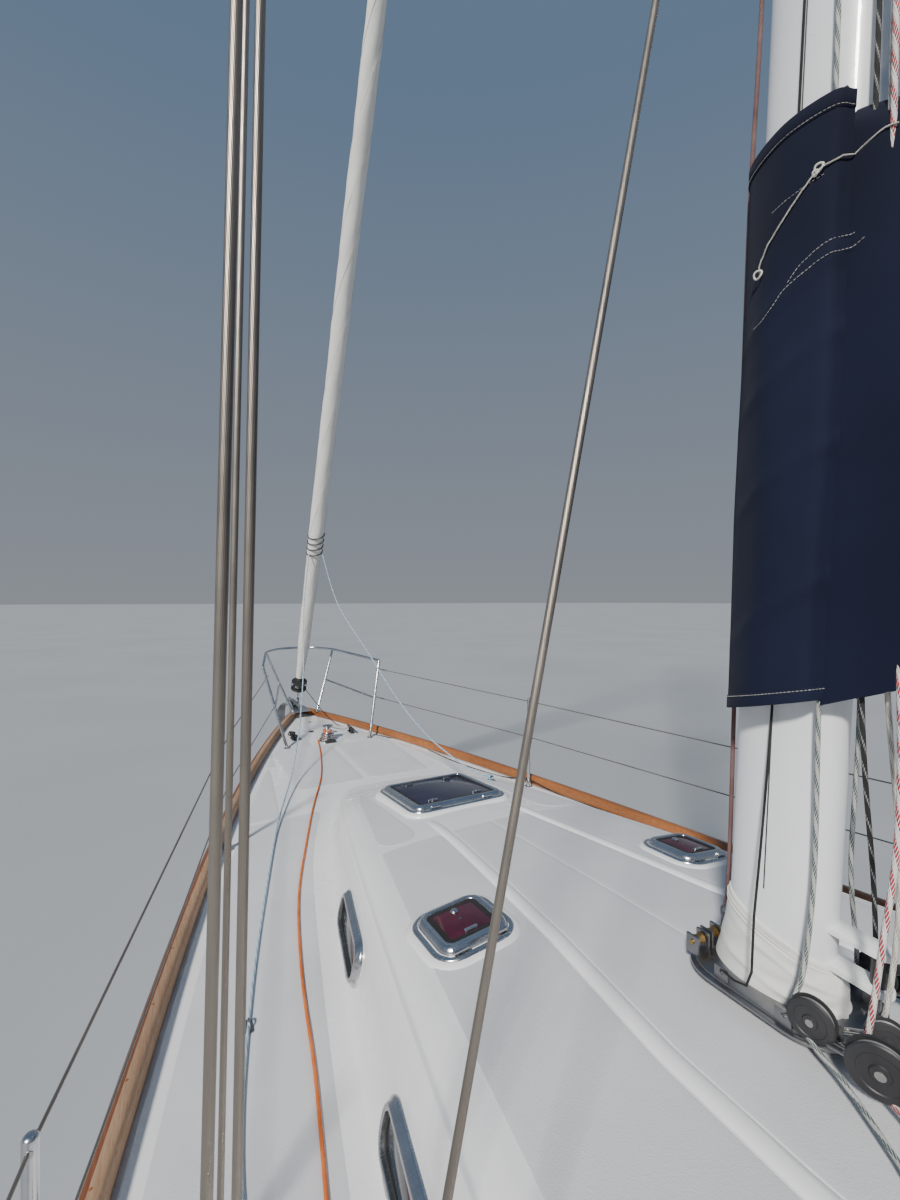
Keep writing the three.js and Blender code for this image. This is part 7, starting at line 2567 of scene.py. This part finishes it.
def draw_pedestal():
    form = Form()
    rings = []
    for half, depth, z in ((0.150, 0.130, COCKPIT_SOLE_Z + 0.0003), (0.146, 0.126, 0.445),
                           (0.132, 0.115, 0.52), (0.112, 0.098, 0.68), (0.097, 0.086, 0.82),
                           (0.09, 0.08, 0.92), (0.09, 0.08, 1.33)):
        rings.append([(x, PEDESTAL_Y + y, z) for x, y in rounded(2 * half, 2 * depth, 0.05)])
    form.loft(rings)
    form.block((-0.110, PEDESTAL_Y - 0.095, 1.30), (0.110, PEDESTAL_Y + 0.095, 1.5295), 0.024, segments=5)
    form.mark = 1
    form.lathe([(0, 0), (0.072, 0), (0.072, 0.004), (0.062, 0.006), (0.06, 0.002), (0, 0.002)],
               (0, PEDESTAL_Y, PEDESTAL_TOP_Z), steps=40)
    for x in (-0.068, 0.068):
        form.lathe([(0, 0), (0.030, 0), (0.030, 0.004), (0.0265, 0.005), (0.026, 0.003), (0, 0.003)],
                   (x, PEDESTAL_Y - 0.0945, 1.485), (0, -1, 0), 32)
    form.lathe([(0, 0.089), (0.042, 0.089), (0.042, 0.1165), (0.038, 0.12), (0, 0.12)],
               (0, PEDESTAL_Y, WHEEL_Z), (0, -1, 0), 32)
    form.mark = 2
    form.lathe([(0, 0.0018), (0.0598, 0.0018), (0.0595, 0.0045), (0, 0.0055)],
               (0, PEDESTAL_Y, PEDESTAL_TOP_Z), steps=40)
    for x in (-0.068, 0.068):
        form.lathe([(0, 0.0028), (0.0262, 0.0028), (0, 0.0038)], (x, PEDESTAL_Y - 0.0945, 1.485),
                   (0, -1, 0), 32)
    form.mark = 3
    form.lathe([(0, 0), (0.024, 0), (0.022, 0.012), (0.012, 0.016), (0, 0.016)], (0.109, PEDESTAL_Y, 1.42),
               (1, 0, 0), 20)
    form.tube([(0.12, PEDESTAL_Y, 1.42), (0.135, PEDESTAL_Y + 0.01, 1.46),
               (0.145, PEDESTAL_Y + 0.025, 1.56)], [0.006, 0.005, 0.0045], 10)
    form.lathe([(0, 0), (0.011, 0.003), (0.014, 0.012), (0.011, 0.022), (0, 0.026)],
               (0.145, PEDESTAL_Y + 0.025, 1.553), steps=16)
    made("pedestal_column", form, [gelcoat, black, port_glass, steel], replaces="pedestal",
         angle=35)


def draw_wheel():
    """A stainless wheel with leather sewn round its rim and a cord binding that marks midships."""
    centre = Vector((0, PEDESTAL_Y - 0.1203, WHEEL_Z))
    rim_y = -0.06

    def on_rim(a, radius=WHEEL_RADIUS, y=rim_y):
        return centre + Vector((sin(a) * radius, y, cos(a) * radius))

    form = Form()
    form.lathe([(0, 0), (0.040, 0), (0.040, 0.038), (0.034, 0.046), (0.034, 0.066), (0.026, 0.076),
                (0.012, 0.08), (0, 0.08)], centre, (0, -1, 0), 32)
    for k in range(6):
        a = k * pi / 3
        form.tube([on_rim(a, 0.03, -0.052), on_rim(a, 0.25, -0.055), on_rim(a, 0.49, rim_y)], 0.009, 12)
    made("wheel_spokes", form, steel, "steering_wheel", "steering_wheel", 40)
    leather_rim = Form().tube([on_rim(a) for a in angles(96)], 0.0148, 14, closed=True)
    made("wheel_leather", leather_rim, leather, "steering_wheel", angle=60)
    stitches = Form()
    for a in angles(220):
        stitches.tube([on_rim(a, WHEEL_RADIUS - 0.0145, -0.063),
                       on_rim(a + 0.012, WHEEL_RADIUS - 0.0153, -0.0575)], 0.0009, 5)
    for k in range(7):
        a = (k - 3) * 0.009
        ring = [on_rim(a, WHEEL_RADIUS + 0.0158 * cos(b), rim_y + 0.0158 * sin(b)) for b in angles(20)]
        stitches.tube(ring, 0.0022, 8, closed=True)
    made("wheel_stitching", stitches, stitch_thread, "steering_wheel", angle=60)


draw_pedestal()
draw_wheel()


def draw_traveller():
    y, half, z = TRAVELLER_Y, 0.76, 1.85
    form = Form()
    section = [(-0.024, 0.0), (0.024, 0.0), (0.024, 0.010), (0.012, 0.014), (0.012, 0.020), (0.024, 0.024),
               (0.024, 0.032), (0.022, 0.034), (-0.022, 0.034), (-0.024, 0.032), (-0.024, 0.024),
               (-0.012, 0.020), (-0.012, 0.014), (-0.024, 0.010)]
    form.loft([[(x, y + dy, z + dz) for dy, dz in section] for x in (-half, -0.4, 0.0, 0.4, half)])
    made("traveller_track", form, alloy, replaces="traveller", angle=30)
    feet = Form()
    for sign in (-1, 1):
        feet.block((-0.03, -0.04, 1.60), (0.03, 0.04, z + 0.0005), 0.01, place=(sign * 0.73, y, 0),
                   segments=3)
    made("traveller_feet", feet, gelcoat, angle=40)
    car = Form()
    car.block((-0.06, -0.034, z + 0.0305), (0.06, 0.034, z + 0.058), 0.01, place=(0, y, 0), segments=3)
    for sign in (-1, 1):
        car.block((-0.018, -0.03, z + 0.004), (0.018, 0.03, z + 0.05), 0.008, place=(sign * 0.735, y, 0),
                  segments=3)
    car.mark = 1
    ring = [(0.016 * cos(a), y, z + 0.066 + 0.024 * sin(a)) for a in angles(24)]
    car.tube(ring, 0.0045, 8, closed=True)
    car.mark = 2
    for dy in (-0.028, 0.028):
        car.tube([(-0.72, y + dy, z + 0.017), (-0.06, y + dy, z + 0.046)], 0.0028, 8)
        car.tube([(0.06, y + dy, z + 0.046), (0.72, y + dy, z + 0.017)], 0.0028, 8)
    made("traveller_car", car, [black, steel, black_rope], angle=40)


def draw_backstay():
    foot = Vector((0, BACKSTAY_Y, deck_z(0, BACKSTAY_Y) + 0.07))
    head = Vector((0, mast_axis(MASTHEAD_Z) - 0.18, MASTHEAD_Z - 0.037))
    way = (head - foot).normalized()
    start = foot + way * 0.3
    wire_form = Form().tube([start.lerp(head, t) for t in spaced(0, 1, 24)], 0.005, 12)
    made("backstay_wire", wire_form, wire, replaces="backstay", angle=60)
    fittings = Form()
    draw_screw(fittings, foot, way, 0.006)
    draw_terminal(fittings, head, -way, 0.005)
    z = deck_z(0, BACKSTAY_Y)
    plate = [(-6.655, -0.02), (-6.575, -0.02), (-6.578, 0.04), (-6.59, 0.075), (-6.608, 0.089),
             (-6.632, 0.089), (-6.647, 0.075), (-6.654, 0.04)]
    fittings.cheek(0, 0.0055, plate, z)
    fittings.plate(rounded(0.07, 0.15, 0.02), z - 0.004, z + 0.005, 0.002, moved(0, -6.615, 0))
    fittings.pin(0, BACKSTAY_Y, z + 0.07, 0.016, 0.006, 12)
    made("backstay_fittings", fittings, dull_steel, angle=40)


draw_traveller()
draw_backstay()


# Clutches and organisers: the lines from the mast's foot come aft to them along the roof

CLUTCH_X = [0.44, 0.51, 0.58]


def draw_clutches(name, sign, side):
    form = Form()
    for x in CLUTCH_X:
        z = roof_z(x, CLUTCH_Y)
        form.block((-0.024, -0.10, -0.004), (0.024, 0.10, 0.042), 0.008, place=(sign * x, CLUTCH_Y, z),
                   segments=3)
        form.block((-0.014, -0.02, 0.038), (0.014, 0.085, 0.052), 0.006, place=(sign * x, CLUTCH_Y, z),
                   segments=3)
    z = roof_z(0.5, ORGANISER_Y)
    form.block((-0.12, -0.036, -0.004), (0.12, 0.036, 0.010), 0.005, place=(sign * 0.5, ORGANISER_Y, z))
    form.block((-0.115, -0.030, 0.028), (0.115, 0.030, 0.036), 0.004, place=(sign * 0.5, ORGANISER_Y, z))
    form.mark = 1
    for x in CLUTCH_X:
        form.lathe([(0, 0.010), (0.026, 0.010), (0.021, 0.019), (0.026, 0.028), (0, 0.028)],
                   (sign * (x - 0.01), ORGANISER_Y, z), steps=24)
    made(name, form, [black, grey_block], angle=40)


def draw_tail_coil(name, material, x, y, radius):
    """A line's tail, coiled flat on the roof aft of its clutch."""
    path = [Vector((x, -0.83, roof_z(x, -0.83) + 0.022)),
            Vector((x, -0.95, roof_z(x, -0.95) + radius + 0.002))]
    rounds, steps = 4, 20
    for k in range(rounds * steps + 1):
        a = pi / 2 + 2 * pi * k / steps
        reach = mix(0.085, 0.05, k / (rounds * steps))
        px, py = x + reach * 0.8 * cos(a) * (1 if x > 0 else -1), y + reach * sin(a)
        path.append(Vector((px, py, roof_z(px, py) + radius + 0.002 + 0.0022 * k / steps * rounds)))
    rope(name, path, 0.03, radius, material, 8)


both_sides(draw_clutches, "line_clutches")
draw_tail_coil("halyard_tail_grey", grey_rope, -0.44, -1.05, 0.0055)
draw_tail_coil("halyard_tail_red", red_rope, -0.51, -1.05, 0.006)
draw_tail_coil("halyard_tail_black", black_rope, 0.44, -1.05, 0.0055)


# Under the water

def foil_ring(chord, thick, y, z):
    """A fin's section, leading edge forward at y, as in the part's source."""
    samples = 14
    shares = [(i / samples) ** 1.7 for i in range(samples + 1)]
    half = [2.6 * thick * (sqrt(s) - s) + 0.0005 * (1 - s) + 0.002 for s in shares]
    near = [(h, y - s * chord, z) for h, s in zip(half, shares)]
    return near + [(-x, yy, zz) for x, yy, zz in near[::-1]]


def blade(sections):
    """A fin's sections, with six steps between each given one and the next."""
    rings = []
    for a, b in zip(sections, sections[1:]):
        rings += [foil_ring(*[mix(p, q, k / 6) for p, q in zip(a, b)]) for k in range(6)]
    return rings + [foil_ring(*sections[-1])]


def draw_keel():
    form = Form().loft(blade([(2.75, 0.33, 1.35, -0.4), (2.45, 0.3, 1.15, -0.7), (1.8, 0.26, 0.8, -1.85)]))
    rows = [(0.66, 0.012, 0.03), (0.64, 0.04, 0.06), (0.60, 0.07, 0.085), (0.52, 0.10, 0.105),
            (0.25, 0.15, 0.13), (-0.1, 0.163, 0.138), (-0.5, 0.163, 0.138), (-0.9, 0.14, 0.124),
            (-1.3, 0.10, 0.1), (-1.55, 0.055, 0.075), (-1.65, 0.02, 0.055)]
    rings = []
    for y, half, high in rows:
        rings.append([(half * cos(a), y, -2.049 + high * 0.95 * (1 + sin(a))) for a in angles(32)])
    form.loft(rings)
    made("keel_and_bulb", form, antifouling, replaces="keel", angle=35)


def draw_rudder():
    sections = [(0.58, 0.11, 0.17, -0.215), (0.56, 0.10, 0.165, -0.8), (0.40, 0.07, 0.10, -1.75)]
    form = Form().loft([[(x, y + RUDDER_Y, z) for x, y, z in ring] for ring in blade(sections)])
    form.mark = 1
    form.tube([(0, RUDDER_Y, -0.8), (0, RUDDER_Y, -0.2), (0, RUDDER_Y, 0.24)], 0.034, 28)
    made("rudder_blade", form, [antifouling, dull_steel], "rudder", "rudder", 40)


def draw_drive():
    form = Form().loft(blade([(0.33, 0.11, -2.66, -0.4), (0.31, 0.10, -2.67, -0.72),
                              (0.30, 0.09, -2.68, -1.0)]))
    form.lathe([(0, -0.15), (0.014, -0.148), (0.030, -0.138), (0.045, -0.115), (0.058, -0.085),
                (0.066, -0.04), (0.068, 0.0), (0.067, 0.08), (0.062, 0.16), (0.055, 0.21), (0.050, 0.24),
                (0, 0.24)], (0, -2.78, DRIVE_Z), (0, -1, 0), 32)
    form.mark = 1
    ring = foil_ring(0.37, 0.16, -2.64, 0)
    hull_z = keel_line(-2.8)
    form.loft([[(x, y, hull_z + dz) for x, y, _ in ring] for dz in (-0.02, 0.05)])
    made("saildrive_leg", form, [antifouling, rubber], replaces="saildrive", angle=35)
    wheel = Form()
    place = Vector((0, -3.0203, DRIVE_Z))
    wheel.lathe([(0, 0), (0.048, 0), (0.049, 0.03), (0.047, 0.075), (0.038, 0.105), (0.028, 0.122),
                 (0.012, 0.132), (0, 0.134)], place, (0, -1, 0), 32)
    rows = [(0.03, 0.034, 0.85, 0.008), (0.06, 0.045, 0.75, 0.0075), (0.09, 0.057, 0.64, 0.007),
            (0.12, 0.066, 0.55, 0.006), (0.155, 0.064, 0.48, 0.005), (0.19, 0.055, 0.42, 0.004),
            (0.213, 0.043, 0.38, 0.003), (0.226, 0.026, 0.36, 0.002), (0.2295, 0.010, 0.36, 0.001)]
    for k in range(3):
        turn = Matrix.Rotation(2 * pi * k / 3, 3, "Y")
        rings = []
        for r, chord, pitch, thick in rows:
            ring = []
            for a in angles(16):
                c, t = -chord * cos(a), thick * sin(a)
                ring.append(place + turn @ Vector((c * cos(pitch) + t * sin(pitch),
                            -0.04 - c * sin(pitch) + t * cos(pitch), r)))
            rings.append(ring)
        wheel.loft(rings)
    made("propeller_blades", wheel, bronze, "propeller", "propeller", 35)


draw_keel()
draw_rudder()
draw_drive()


# The floor is the water's plane, left plain, under a soft sky

def set_stage():
    data = bpy.data.meshes.new("plain_floor")
    data.from_pydata([(-400, -400, 0), (400, -400, 0), (400, 400, 0), (-400, 400, 0)], [], [(0, 1, 2, 3)])
    pale = plain_finish("pale_floor", [(0.36, 0.38, 0.40), (0.40, 0.42, 0.44)], 0.75, 0.05, 3.0, fade=0.2)
    data.materials.append(pale)
    linked("plain_floor", data)
    world = bpy.data.worlds.new("soft_sky")
    world.use_nodes = True
    bpy.context.scene.world = world
    tree = world.node_tree
    back = tree.nodes["Background"]
    source = tree.nodes.new("ShaderNodeTexCoord")
    split = tree.nodes.new("ShaderNodeSeparateXYZ")
    ramp = tree.nodes.new("ShaderNodeValToRGB")
    ramp.color_ramp.elements[0].position = 0.0
    ramp.color_ramp.elements[0].color = (0.62, 0.67, 0.74, 1)
    ramp.color_ramp.elements[1].position = 0.7
    ramp.color_ramp.elements[1].color = (0.30, 0.44, 0.66, 1)
    tree.links.new(source.outputs["Generated"], split.inputs[0])
    tree.links.new(split.outputs["Z"], ramp.inputs["Fac"])
    tree.links.new(ramp.outputs["Color"], back.inputs["Color"])
    back.inputs["Strength"].default_value = 0.42
    sun = bpy.data.lights.new("low_sun", "SUN")
    sun.energy = 4.6
    sun.angle = radians(6)
    sun.color = (1.0, 0.965, 0.91)
    lamp = linked("low_sun", sun)
    lamp.rotation_euler = Vector((0.64, 0.50, -0.62)).to_track_quat("-Z", "Y").to_euler()


set_stage()
